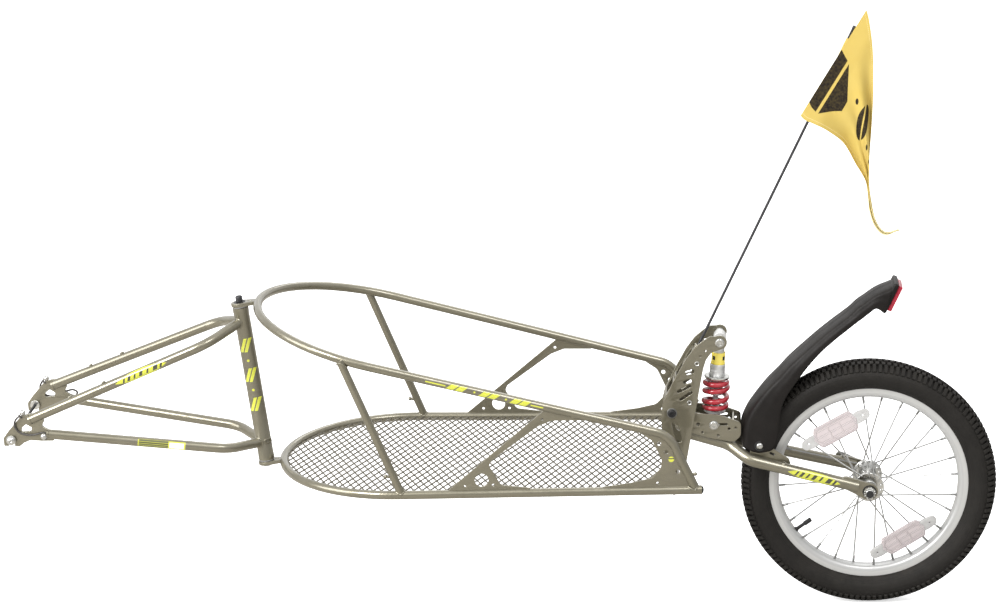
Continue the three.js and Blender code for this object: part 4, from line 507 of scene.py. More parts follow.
def round_again(made, copies, centre, axis):
    """Copies a part round an axis, so that it stands there copies times in one mesh."""
    only(made)
    edit_all()
    bpy.ops.mesh.spin(
        steps=copies - 1, angle=math.tau * (copies - 1) / copies, center=centre, axis=axis, dupli=True)
    bpy.ops.object.mode_set(mode="OBJECT")
    return made


# The slot of each finish; the paints that aren't named here are all the frame's
FINISHES = {}


def dress(made, body, coat, *nodes):
    """Gives a piece its finish, its body and the solids that it stands for."""
    made.data.materials.clear()
    made.data.materials.append(FINISHES[coat])
    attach(made, body)
    if nodes:
        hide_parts(*nodes)
    return made


# Node helpers


def feed(tree, node, sockets):
    """Links or fills a node's sockets; a colour of three numbers gets its alpha."""
    for key, value in sockets.items():
        socket = node.inputs[key]
        if isinstance(value, bpy.types.NodeSocket):
            tree.links.new(value, socket)
        elif socket.type == "RGBA" and len(value) == 3:
            socket.default_value = (*value, 1)
        else:
            socket.default_value = value


def add(tree, kind, settings=None, sockets=None):
    """Adds a node, sets it, and links or fills its sockets."""
    node = tree.nodes.new(kind)
    for key, value in (settings or {}).items():
        setattr(node, key, value)
    feed(tree, node, sockets or {})
    return node


def calc(tree, operation, a, b=0.0, c=0.0):
    """A Math node's result."""
    return add(tree, "ShaderNodeMath", {"operation": operation}, {0: a, 1: b, 2: c}).outputs[0]


def times(tree, a, b):
    """A product."""
    return calc(tree, "MULTIPLY", a, b)


def less(tree, a, b):
    """The first value less the second."""
    return calc(tree, "SUBTRACT", a, b)


def times_plus(tree, a, b, c):
    """The product of the first two values, with the third added."""
    return calc(tree, "MULTIPLY_ADD", a, b, c)


def long_side(tree, a, b):
    """The long side over two short ones."""
    return calc(tree, "SQRT", calc(tree, "ADD", times(tree, a, a), times(tree, b, b)))


def axes(tree, place):
    """The three parts of a place."""
    return add(tree, "ShaderNodeSeparateXYZ", sockets={0: place}).outputs


def noise(tree, place, scale, **more):
    """A noise's value at a place."""
    sockets = {"Vector": place, "Scale": scale} | {key.title(): value for key, value in more.items()}
    return add(tree, "ShaderNodeTexNoise", sockets=sockets).outputs["Fac"]


def mix(tree, share, a, b):
    """A colour mixed from two."""
    return add(tree, "ShaderNodeMix", {"data_type": "RGBA"}, {0: share, 6: a, 7: b}).outputs[2]


def spread(tree, value, low, high, out_low=0.0, out_high=1.0):
    """A value mapped from one range to another, and kept in it."""
    node = add(tree, "ShaderNodeMapRange", {"clamp": True}, {
        "Value": value, "From Min": low, "From Max": high, "To Min": out_low, "To Max": out_high})
    return node.outputs[0]


def within(tree, value, half, soft=0.00025):
    """1 where the value lies within half of zero, with a soft edge."""
    return spread(tree, calc(tree, "ABSOLUTE", value), half - soft, half + soft, 1, 0)


def group_tree(name, inputs, outputs):
    """A node group with its named sockets."""
    tree = bpy.data.node_groups.new(name, "ShaderNodeTree")
    for title, kind, value in inputs:
        socket = tree.interface.new_socket(name=title, in_out="INPUT", socket_type=kind)
        socket.default_value = value
    for title, kind in outputs:
        tree.interface.new_socket(name=title, in_out="OUTPUT", socket_type=kind)
    return tree, add(tree, "NodeGroupInput"), add(tree, "NodeGroupOutput")


def placed(tree, name, sockets):
    """Places a node group in a material."""
    return add(tree, "ShaderNodeGroup", {"node_tree": bpy.data.node_groups[name]}, sockets)


def mottled(tree, place, blotch, grain):
    """Blotches, grain and height of a mottled surface."""
    return placed(tree, "surface_mottle", {"Place": place, "Blotch Scale": blotch,
                                           "Grain Scale": grain}).outputs


def scuffed(tree, place, amount, scale=60.0):
    """A mask of scuffs."""
    return placed(tree, "scuff_marks", {"Place": place, "Scale": scale, "Amount": amount}).outputs[0]


def dusted(tree, place, amount):
    """A mask of dust."""
    return placed(tree, "settled_dust", {"Place": place, "Amount": amount}).outputs[0]


def from_axle(tree, place):
    """Distance from the wheel's axle, in metres."""
    parts = axes(tree, place)
    return long_side(tree, less(tree, parts[0], AXLE[0] * MM), less(tree, parts[2], AXLE[1] * MM))


def finish(name):
    """A new material: its tree, its shader and its object coordinates."""
    made = bpy.data.materials.new(name)
    made.use_nodes = True
    tree = made.node_tree
    shader = tree.nodes["Principled BSDF"]
    coordinates = add(tree, "ShaderNodeTexCoord").outputs["Object"]
    return made, tree, shader, coordinates


def bump(tree, height, distance, strength=1.0):
    """A normal from a height."""
    return add(tree, "ShaderNodeBump", sockets={
        "Height": height, "Distance": distance, "Strength": strength}).outputs["Normal"]


def make_mottle_group():
    """Soft blotches and fine grain: a mask of each and a height."""
    tree, given, out = group_tree(
        "surface_mottle",
        [("Place", "NodeSocketVector", (0, 0, 0)), ("Blotch Scale", "NodeSocketFloat", 30.0),
         ("Grain Scale", "NodeSocketFloat", 900.0)],
        [("Blotch", "NodeSocketFloat"), ("Grain", "NodeSocketFloat"), ("Height", "NodeSocketFloat")])
    blotch = noise(tree, given.outputs[0], given.outputs[1], detail=4.0, roughness=0.6)
    grain = noise(tree, given.outputs[0], given.outputs[2], detail=2.0)
    tree.links.new(spread(tree, blotch, 0.3, 0.7), out.inputs[0])
    tree.links.new(spread(tree, grain, 0.3, 0.7), out.inputs[1])
    tree.links.new(times_plus(tree, blotch, 0.5, grain), out.inputs[2])


def make_scuff_group():
    """Thin scattered scratches and specks of wear, as a mask."""
    tree, given, out = group_tree(
        "scuff_marks",
        [("Place", "NodeSocketVector", (0, 0, 0)), ("Scale", "NodeSocketFloat", 60.0),
         ("Amount", "NodeSocketFloat", 0.3)],
        [("Mask", "NodeSocketFloat")])
    stretched = add(tree, "ShaderNodeMapping", sockets={"Vector": given.outputs[0],
                                                        "Scale": (1, 1, 7)}).outputs[0]
    lines = noise(tree, stretched, given.outputs[1], detail=6.0, roughness=0.75)
    where = noise(tree, given.outputs[0], 9.0)
    edge = less(tree, 0.78, times(tree, given.outputs[2], 0.16))
    marks = times(tree, less(tree, lines, edge), 14)
    marks = times(tree, spread(tree, marks, 0, 1), spread(tree, where, 0.45, 0.6))
    tree.links.new(marks, out.inputs[0])


def make_dust_group():
    """Pale dust that settles on upward faces and in hollows of a noise."""
    tree, given, out = group_tree("settled_dust", [("Place", "NodeSocketVector", (0, 0, 0)),
                                                   ("Amount", "NodeSocketFloat", 0.2)],
                                  [("Mask", "NodeSocketFloat")])
    normal = add(tree, "ShaderNodeNewGeometry").outputs["Normal"]
    up = axes(tree, normal)[2]
    hollows = noise(tree, given.outputs[0], 45.0, detail=5.0, roughness=0.7)
    lying = times(tree, spread(tree, up, -0.2, 1), spread(tree, hollows, 0.38, 0.75))
    tree.links.new(times(tree, lying, given.outputs[1]), out.inputs[0])


def make_flake_group():
    """Metallic flake: a sparkle between two tones, with orange peel as its height."""
    tree, given, out = group_tree(
        "metal_flake",
        [("Place", "NodeSocketVector", (0, 0, 0)), ("Dark", "NodeSocketColor", (0.2, 0.2, 0.2, 1)),
         ("Light", "NodeSocketColor", (0.5, 0.5, 0.5, 1))],
        [("Color", "NodeSocketColor"), ("Height", "NodeSocketFloat")])
    flake = add(tree, "ShaderNodeTexVoronoi", sockets={"Vector": given.outputs[0], "Scale": 2600.0})
    sparkle = add(tree, "ShaderNodeSeparateColor", sockets={0: flake.outputs["Color"]}).outputs[0]
    drift = noise(tree, given.outputs[0], 14.0, detail=3.0)
    peel = noise(tree, given.outputs[0], 420.0)
    share = times_plus(tree, spread(tree, sparkle, 0.5, 1), 0.16, times(tree, drift, 0.3))
    tree.links.new(mix(tree, share, given.outputs[1], given.outputs[2]), out.inputs[0])
    tree.links.new(peel, out.inputs[1])


# Finishes


def paint_finish(name, marks=None):
    """Champagne metallic paint under clear lacquer; marks returns the yellow and dark masks of its decals."""
    made, tree, shader, place = finish(name)
    flake = placed(tree, "metal_flake", {"Place": place, "Dark": tints().paint, "Light": tints().paint_pale})
    scuffs = scuffed(tree, place, 0.3)
    dust = dusted(tree, place, 0.12)
    body = mix(tree, times(tree, scuffs, 0.4), flake.outputs[0], (0.5, 0.47, 0.4))
    body = mix(tree, dust, body, (0.55, 0.52, 0.46))
    metal = 0.75
    if marks:
        yellow, dark, *pale = marks(tree, place)
        body = mix(tree, yellow, body, tuple(tints().decal))
        body = mix(tree, dark, body, (0.03, 0.032, 0.02))
        body = mix(tree, pale[0], body, (0.78, 0.78, 0.66)) if pale else body
        metal = spread(tree, calc(tree, "MAXIMUM", yellow, dark), 0, 1, 0.75, 0)
    feed(tree, shader, {"Base Color": body, "Metallic": metal, "Coat Weight": 0.9, "Coat Roughness": 0.035,
                        "Roughness": times_plus(tree, dust, 0.5, times_plus(tree, scuffs, 0.2, 0.3)),
                        "Normal": bump(tree, flake.outputs[1], 0.00006, 0.15)})
    return made


def slanted(tree, x, z, middle, half_long, half_high, lean, gap=0.0):
    """A slanted bar at middle along x; gap splits it into two with a dark seam."""
    shifted = less(tree, less(tree, x, middle * MM), times(tree, z, lean))
    whole = times(tree, within(tree, shifted, half_long * MM), within(tree, z, half_high * MM))
    if gap:
        whole = times(tree, whole, less(tree, 1, within(tree, shifted, gap * MM)))
    return whole


def spot(tree, x, z, middle, radius):
    """A round dot at middle along x."""
    run = less(tree, x, middle * MM)
    far = long_side(tree, run, z)
    return spread(tree, far, (radius - 0.25) * MM, (radius + 0.25) * MM, 1, 0)


def either(tree, masks):
    """The greatest of several masks."""
    whole = masks[0]
    for mask in masks[1:]:
        whole = calc(tree, "MAXIMUM", whole, mask)
    return whole


def along_line(tree, place, start, end):
    """Distance along a line in the XZ plane from start, and height above it, both in metres."""
    parts = axes(tree, place)
    x = less(tree, parts[0], start[0] * MM)
    z = less(tree, parts[2], start[1] * MM)
    lean = math.atan2(end[1] - start[1], end[0] - start[0])
    run = times_plus(tree, z, math.sin(lean), times(tree, x, math.cos(lean)))
    rise = times_plus(tree, x, -math.sin(lean), times(tree, z, math.cos(lean)))
    return run, rise, parts[1]


def head_marks(tree, place):
    """Three slanted bars with dots between them on both sides of the head tube."""
    foot = (HEAD[0] + math.sin(HEAD_TILT) * 100, HEAD[1] - math.cos(HEAD_TILT) * 100)
    run, rise, _y = along_line(tree, place, foot, HEAD)
    bars = [slanted(tree, rise, less(tree, run, s * MM), 0, 6.4, 11.5, -0.42, 0.9)
            for s in (168, 117.5, 67.5)]
    dots = [spot(tree, run, rise, s, 2.2) for s in (142, 92)]
    shade = [slanted(tree, rise, less(tree, run, s * MM), 0, 8.0, 12.4, -0.42) for s in (168, 117.5, 67.5)]
    yellow = either(tree, bars + dots)
    dark = times(tree, either(tree, shade), less(tree, 1, yellow))
    return yellow, times(tree, dark, 0.55)


def rail_marks(tree, place):
    """A dash, three split bars with dots between them and a dash, on the outer sides of the upper hoop."""
    run, rise, y = along_line(tree, place, TOP_NOSE, (TOP_NOSE[0] + 100, TOP_NOSE[1] - 100 * TOP_SLOPE))
    grow = math.hypot(1, TOP_SLOPE)
    at = [(x - TOP_NOSE[0]) * grow for x in (699, 731.5, 759, 781.5, 807.5, 829, 855)]
    masks = [slanted(tree, run, rise, at[0], 16, 1.1, 0)]
    masks += [slanted(tree, run, rise, at[i], 13, 4.6, 0.9, 1.1) for i in (1, 3, 5)]
    masks += [spot(tree, run, rise, at[i], 1.7) for i in (2, 4)]
    masks += [slanted(tree, run, rise, at[6], 10, 1.1, 0)]
    yellow = either(tree, masks)
    outside = less(tree, calc(tree, "ABSOLUTE", y), 0.1935)
    out = spread(tree, outside, -0.0005, 0.0005)
    shade = either(tree, [slanted(tree, run, rise, at[i], 14.2, 5.4, 0.9) for i in (1, 3, 5)])
    dark = times(tree, shade, less(tree, 1, yellow))
    return times(tree, yellow, out), times(tree, times(tree, dark, out), 0.5)


def lozenge(tree, run, rise, start, end, high):
    """A long lens with dark slashes in it, between two distances along a tube."""
    middle, half = (start + end) / 2, (end - start) / 2
    x = calc(tree, "DIVIDE", less(tree, run, middle * MM), half * MM)
    bow = times(tree, less(tree, 1, calc(tree, "POWER", calc(tree, "ABSOLUTE", x), 2.6)), high * MM)
    yellow = spread(tree, less(tree, bow, calc(tree, "ABSOLUTE", rise)), -0.0002, 0.0003)
    slashes = [slanted(tree, run, rise, start + half * 2 * s, wide, high * 0.52, 0.55)
               for s, wide in ((0.17, 1.6), (0.27, 2.4), (0.38, 1.6), (0.5, 2.8), (0.63, 1.6),
                               (0.78, 3.8), (0.89, 2.0))]
    return yellow, times(tree, either(tree, slashes), yellow)


def outer_side(tree, y, low, run, fall):
    """1 on the outer faces of two tubes that start at low from the middle and close in by fall."""
    past = less(tree, calc(tree, "ABSOLUTE", y), low * MM)
    return spread(tree, times_plus(tree, run, fall, past), -0.0004, 0.0004)


def arm_marks(tree, place):
    """The lozenge on the upper arms."""
    run, rise, y = along_line(tree, place, (34, 33), UPPER_KNEE[::2])
    yellow, dark = lozenge(tree, run, rise, 150, 240, 7.4)
    out = outer_side(tree, y, 92, run, 0.087)
    return times(tree, yellow, out), times(tree, dark, out)


def lower_arm_marks(tree, place):
    """A plain label on the lower arms: a lined yellow field and a pale one."""
    run, rise, y = along_line(tree, place, (61, 8), LOWER_KNEE[::2])
    out = outer_side(tree, y, 92, run, 0.112)
    field = times(tree, slanted(tree, run, rise, 181, 38, 6.4, 0), out)
    lines = times(tree, either(tree, [slanted(tree, run, less(tree, rise, h * MM), 168, 23.5, 1.25, 0)
                                      for h in (4.8, 1.7, -1.4, -4.5)]), out)
    pale = times(tree, slanted(tree, run, rise, 205, 11.5, 4.6, 0), out)
    return field, times(tree, lines, 0.93), pale


def gusset_marks(tree, place):
    """A plain dot with a dark bar across it, on both faces of the rear gussets."""
    parts = axes(tree, place)
    dot = spot(tree, parts[0], less(tree, parts[2], -12 * MM), 1061, 4.6)
    bar = within(tree, less(tree, parts[2], -11 * MM), 0.9 * MM)
    return dot, times(tree, dot, bar)


def leg_marks(tree, place):
    """The lozenge on the swingarm's legs."""
    run, rise, y = along_line(tree, place, LEG_KNEE, LEG_END)
    yellow, dark = lozenge(tree, run, rise, 62, 148, 8.2)
    out = outer_side(tree, y, 43.5, run, -0.0549)
    return times(tree, yellow, out), times(tree, dark, out)


def metal_finish(name, base, rough, metallic=1.0, brushed=0.0, coat=0.0):
    """Bare or plated metal with fine grain, dull spots and a few scratches."""
    made, tree, shader, place = finish(name)
    mottle = mottled(tree, place, 60.0, 1500.0)
    scuffs = scuffed(tree, place, 0.6, 140.0)
    dark = tuple(c * 0.8 for c in base)
    body = mix(tree, times(tree, mottle[0], 0.4), tuple(base), dark)
    body = mix(tree, times(tree, scuffs, 0.35), body, tuple(min(1, c * 1.25 + 0.02) for c in base))
    roughness = times_plus(tree, mottle[0], 0.12, times_plus(tree, scuffs, 0.15, rough))
    feed(tree, shader, {"Base Color": body, "Metallic": metallic, "Roughness": roughness,
                        "Coat Weight": coat, "Normal": bump(tree, mottle[2], 0.00004 + brushed * 0.0001,
                                                            0.5)})
    return made


def rim_finish():
    """Turned aluminium: fine rings round the wheel's axle."""
    made, tree, shader, place = finish("rim_metal")
    far = from_axle(tree, place)
    rings = add(tree, "ShaderNodeTexNoise", {"noise_dimensions": "1D"}, {"W": far, "Scale": 2600.0,
                    "Detail": 3.0}).outputs["Fac"]
    mottle = mottled(tree, place, 24.0, 700.0)
    brake = spread(tree, calc(tree, "ABSOLUTE", less(tree, far, 0.1555)), 0.003, 0.0034, 1, 0)
    body = mix(tree, times(tree, mottle[0], 0.22), (0.47, 0.47, 0.462), (0.39, 0.39, 0.385))
    body = mix(tree, times(tree, brake, 0.3), body, (0.62, 0.62, 0.6))
    feed(tree, shader, {"Base Color": body, "Metallic": 0.5, "Roughness": times_plus(tree, rings, 0.14,
                            0.3), "Normal": bump(tree, rings, 0.00005, 0.6)})
    return made


def spoke_finish():
    """Drawn stainless wire, with darker nipples at the rim."""
    made, tree, shader, place = finish("spoke_wire")
    far = from_axle(tree, place)
    nipple = spread(tree, far, 0.1328, 0.1332)
    mottle = mottled(tree, place, 60.0, 1500.0)
    body = mix(tree, times(tree, mottle[0], 0.35), (0.37, 0.37, 0.36), (0.27, 0.27, 0.27))
    body = mix(tree, nipple, body, (0.24, 0.24, 0.235))
    feed(tree, shader, {"Base Color": body, "Metallic": 0.7, "Roughness": times_plus(tree, mottle[0], 0.12,
                            0.26), "Normal": bump(tree, mottle[1], 0.00004, 0.5)})
    return made


def rubber_finish():
    """Tyre rubber: dusty matt black-brown with moulded lines round the sidewall."""
    made, tree, shader, place = finish("tyre_rubber")
    far = from_axle(tree, place)
    mottle = mottled(tree, place, 35.0, 1200.0)
    dust = dusted(tree, place, 0.25)
    lines = [within(tree, less(tree, far, r), 0.0004, 0.0003) for r in (0.1655, 0.1682, 0.1795, 0.1845)]
    moulded = either(tree, lines)
    warm = tuple(c * 1.7 for c in tints().tyre)
    body = mix(tree, times(tree, mottle[0], 0.5), tuple(tints().tyre), warm)
    body = mix(tree, times(tree, dust, 0.5), body, (0.14, 0.12, 0.1))
    feed(tree, shader, {"Base Color": body, "Specular IOR Level": 0.2, "Roughness": times_plus(tree,
                            mottle[0], 0.14, 0.55),
                        "Normal": bump(tree, calc(tree, "ADD", times(tree, mottle[1], 0.12), moulded),
                                       0.0004, 0.6)})
    return made


def plastic_finish(name, base, rough=0.42, grain=900.0, coat=0.0):
    """Moulded plastic with a fine leather grain and worn, paler spots."""
    made, tree, shader, place = finish(name)
    mottle = mottled(tree, place, 18.0, grain)
    scuffs = scuffed(tree, place, 0.5, 80.0)
    dust = dusted(tree, place, 0.22)
    body = mix(tree, times(tree, mottle[0], 0.4), tuple(base), tuple(c * 1.35 for c in base))
    body = mix(tree, times(tree, scuffs, 0.3), body, tuple(min(1, c * 2 + 0.02) for c in base))
    body = mix(tree, times(tree, dust, 0.35), body, (0.2, 0.18, 0.16))
    feed(tree, shader, {"Base Color": body, "Coat Weight": coat, "Coat Roughness": 0.1,
                        "Specular IOR Level": 0.2, "Roughness": times_plus(tree, mottle[0], 0.12, rough),
                        "Normal": bump(tree, mottle[1], 0.00012, 0.6)})
    return made


def lens_finish(name, base, clear):
    """Reflector plastic: a grid of little prisms under a smooth face."""
    made, tree, shader, place = finish(name)
    turned = add(tree, "ShaderNodeMapping", sockets={
        "Vector": place, "Rotation": (0, math.radians(29), 0), "Scale": (420, 420, 420)}).outputs[0]
    parts = axes(tree, turned)
    waves = [calc(tree, "ABSOLUTE", less(tree, calc(tree, "FRACT", parts[i]), 0.5)) for i in (0, 1, 2)]
    prisms = either(tree, waves)
    mottle = mottled(tree, place, 40.0, 700.0)
    pale = tuple(min(1, c * 1.5 + (0.05 if clear else 0)) for c in base)
    rough = (0.2, 0.34) if clear else (0.06, 0.16)
    body = mix(tree, times(tree, prisms, 0.8), tuple(base), pale)
    body = mix(tree, times(tree, mottle[0], 0.15), body, tuple(c * 0.7 for c in base))
    feed(tree, shader, {"Base Color": body, "Transmission Weight": 0.4 if clear else 0.15, "IOR": 1.3
                        if clear else 1.49, "Roughness": spread(tree, prisms, 0, 0.5, *rough),
                        "Coat Weight": 0.4, "Coat Roughness": 0.03, "Normal": bump(tree, prisms, 0.0004,
                            0.5 if clear else 0.8)})
    return made


def cloth_finish():
    """Flag cloth: a fine weave along its own directions, dark print, hems with stitches, and painted light
    through it, paler towards the tip.
    """
    made, tree, shader, place = finish("flag_cloth")
    flat = add(tree, "ShaderNodeUVMap", {"uv_map": "cloth"}).outputs[0]
    parts = axes(tree, flat)
    along, down = parts[0], parts[1]
    threads = [calc(tree, "SINE", times(tree, axis, 9500.0)) for axis in (along, down)]
    weave = times(tree, threads[0], threads[1])
    mottle = mottled(tree, place, 14.0, 300.0)
    body = mix(tree, times(tree, mottle[0], 0.35), tuple(tints().flag), (0.48, 0.375, 0.13))
    # Painted light: the cloth turns paler towards the tip, as where light shines through it
    body = mix(tree, spread(tree, along, 0.22, 0.3, 0, 0.8), body, (0.66, 0.6, 0.36))
    # Dark print: a broad band beside the pole, an arrow head, and dots towards the tip
    hoist = less(tree, down, 0.123)
    band = times(tree, within(tree, less(tree, along, 0.0105), 0.0105, 0.0004), within(tree, hoist, 0.047,
                     0.0004))
    wedge = less(tree, 0.047, times(tree, less(tree, along, 0.0265), 0.98))
    arrow = times(tree, spread(tree, less(tree, wedge, calc(tree, "ABSOLUTE", hoist)), 0, 0.0006),
                  spread(tree, along, 0.0265, 0.027))
    arrow = times(tree, arrow, spread(tree, along, 0.064, 0.0645, 1, 0))
    across = less(tree, down, 0.093)
    narrowed = times(tree, across, 0.66)
    disc = spot(tree, along, narrowed, 121, 20)
    bar = within(tree, less(tree, less(tree, along, 0.121), narrowed), 0.0036)
    marks = [band, arrow, times(tree, disc, less(tree, 1, bar))]
    for at, radius in ((83, 4.6), (160, 4.4), (184, 3.2), (202, 2.6)):
        marks.append(spot(tree, along, across, at, radius))
    ink = either(tree, marks)
    ink = times(tree, ink, spread(tree, mottle[1], 0, 1, 0.93, 1))
    body = mix(tree, ink, body, tuple(tints().print_ink))
    edge = add(tree, "ShaderNodeAttribute", {"attribute_name": "hem"}).outputs["Fac"]
    seam = within(tree, less(tree, edge, 0.0055), 0.0004, 0.0002)
    stitch = times(tree, seam, spread(tree, calc(tree, "SINE", times(tree, along, 2400.0)), -0.1, 0.1))
    body = mix(tree, times(tree, stitch, 0.5), body, (0.93, 0.86, 0.55))
    height = calc(tree, "ADD", times(tree, weave, 0.25), times(tree, stitch, 0.8))
    feed(tree, shader, {"Base Color": body, "Roughness": spread(tree, ink, 0, 1, 0.85, 0.75),
                        "Specular IOR Level": 0.12, "Normal": bump(tree, height, 0.00025, 0.5)})
    return made


def net_finish():
    """Painted expanded metal, duller than the tubes."""
    made, tree, shader, place = finish("net_paint")
    mottle = mottled(tree, place, 26.0, 800.0)
    dust = dusted(tree, place, 0.3)
    body = mix(tree, times(tree, mottle[0], 0.5), (0.15, 0.138, 0.112), (0.22, 0.205, 0.17))
    body = mix(tree, times(tree, dust, 0.35), body, (0.36, 0.34, 0.3))
    feed(tree, shader, {"Base Color": body, "Metallic": 0.55, "Roughness": times_plus(tree, mottle[0],
                            0.15, 0.4), "Normal": bump(tree, mottle[1], 0.0001, 0.6)})
    return made


def spring_finish():
    """Red powder coat: glossy, with orange peel and darker hollows."""
    made, tree, shader, place = finish("spring_coat")
    mottle = mottled(tree, place, 70.0, 500.0)
    dust = dusted(tree, place, 0.15)
    body = mix(tree, times(tree, mottle[0], 0.35), tuple(tints().spring), (0.24, 0.006, 0.014))
    body = mix(tree, times(tree, dust, 0.3), body, (0.6, 0.25, 0.22))
    feed(tree, shader, {"Base Color": body, "Roughness": times_plus(tree, mottle[0], 0.12, 0.24),
                        "Coat Weight": 0.6, "Coat Roughness": 0.07, "Normal": bump(tree, mottle[1],
                            0.00007, 0.5)})
    return made


def collar_finish():
    """Yellow collar: satin plastic with a fine grain."""
    made, tree, shader, place = finish("collar_plastic")
    mottle = mottled(tree, place, 90.0, 900.0)
    body = mix(tree, times(tree, mottle[0], 0.3), tuple(tints().collar), (0.62, 0.42, 0.01))
    feed(tree, shader, {"Base Color": body, "Roughness": times_plus(tree, mottle[0], 0.15, 0.3),
                        "Coat Weight": 0.3, "Normal": bump(tree, mottle[1], 0.00006, 0.5)})
    return made


def cord_finish():
    """Black braided cord with a plastic sheath."""
    made, tree, shader, place = finish("lanyard_cord")
    braid = add(tree, "ShaderNodeTexWave", {"bands_direction": "DIAGONAL"}, {
        "Vector": place, "Scale": 450.0, "Distortion": 0.4}).outputs["Fac"]
    mottle = mottled(tree, place, 120.0, 900.0)
    body = mix(tree, braid, (0.022, 0.02, 0.018), (0.055, 0.05, 0.045))
    body = mix(tree, times(tree, mottle[0], 0.25), body, (0.1, 0.09, 0.08))
    feed(tree, shader, {"Base Color": body, "Roughness": 0.45, "Normal": bump(tree, braid, 0.0002, 0.6)})
    return made


class TRAILER_OT_finishes(bpy.types.Operator):
    """Makes the trailer's paints, metals, rubber, plastics and cloth"""

    bl_idname = "trailer.finishes"
    bl_label = "Finishes"

    def execute(self, context):
        make_mottle_group()
        make_scuff_group()
        make_dust_group()
        make_flake_group()
        tint = tints()
        FINISHES.update({
            "paint": paint_finish("frame_paint"),
            "paint_head": paint_finish("head_tube_paint", head_marks),
            "paint_rail": paint_finish("upper_hoop_paint", rail_marks),
            "paint_gusset": paint_finish("rear_gusset_paint", gusset_marks),
            "paint_arm": paint_finish("upper_arm_paint", arm_marks),
            "paint_low_arm": paint_finish("lower_arm_paint", lower_arm_marks),
            "paint_leg": paint_finish("swingarm_leg_paint", leg_marks),
            "steel": metal_finish("silver_metal", tint.steel, 0.2),
            "satin": metal_finish("satin_metal", (0.66, 0.66, 0.65), 0.36, 0.65),
            "dull": metal_finish("dull_metal", (0.3, 0.3, 0.29), 0.3),
            "dark": metal_finish("dark_steel", tint.dark_steel, 0.36, 0.7),
            "wire": spoke_finish(),
            "rim": rim_finish(),
            "rubber": rubber_finish(),
            "fender": plastic_finish("fender_plastic", tint.fender, 0.4),
            "black": plastic_finish("black_plastic", (0.02, 0.02, 0.02), 0.38, 1200.0),
            "clip": plastic_finish("clip_plastic", (0.36, 0.355, 0.345), 0.3, 1500.0, 0.3),
            "fibre": plastic_finish("pole_fibre", (0.026, 0.026, 0.028), 0.3, 2000.0, 0.2),
            "lens_red": lens_finish("red_lens", tint.lens, False),
            "lens_clear": lens_finish("clear_lens", (0.52, 0.465, 0.465), True),
            "cloth": cloth_finish(),
            "net": net_finish(),
            "spring": spring_finish(),
            "collar": collar_finish(),
            "cord": cord_finish(),
        })
        return {"FINISHED"}


# Camera, light and floor


# The camera as it was fitted to the photograph
CAMERA_AT = mm(1161.81, -4804.39, 1574.17)
CAMERA_ANGLES = (4.45, 16.01, -1.99)
FOCAL_PIXELS = 3129.98
PICTURE_PIXELS = 1000
SENSOR_WIDTH = 36


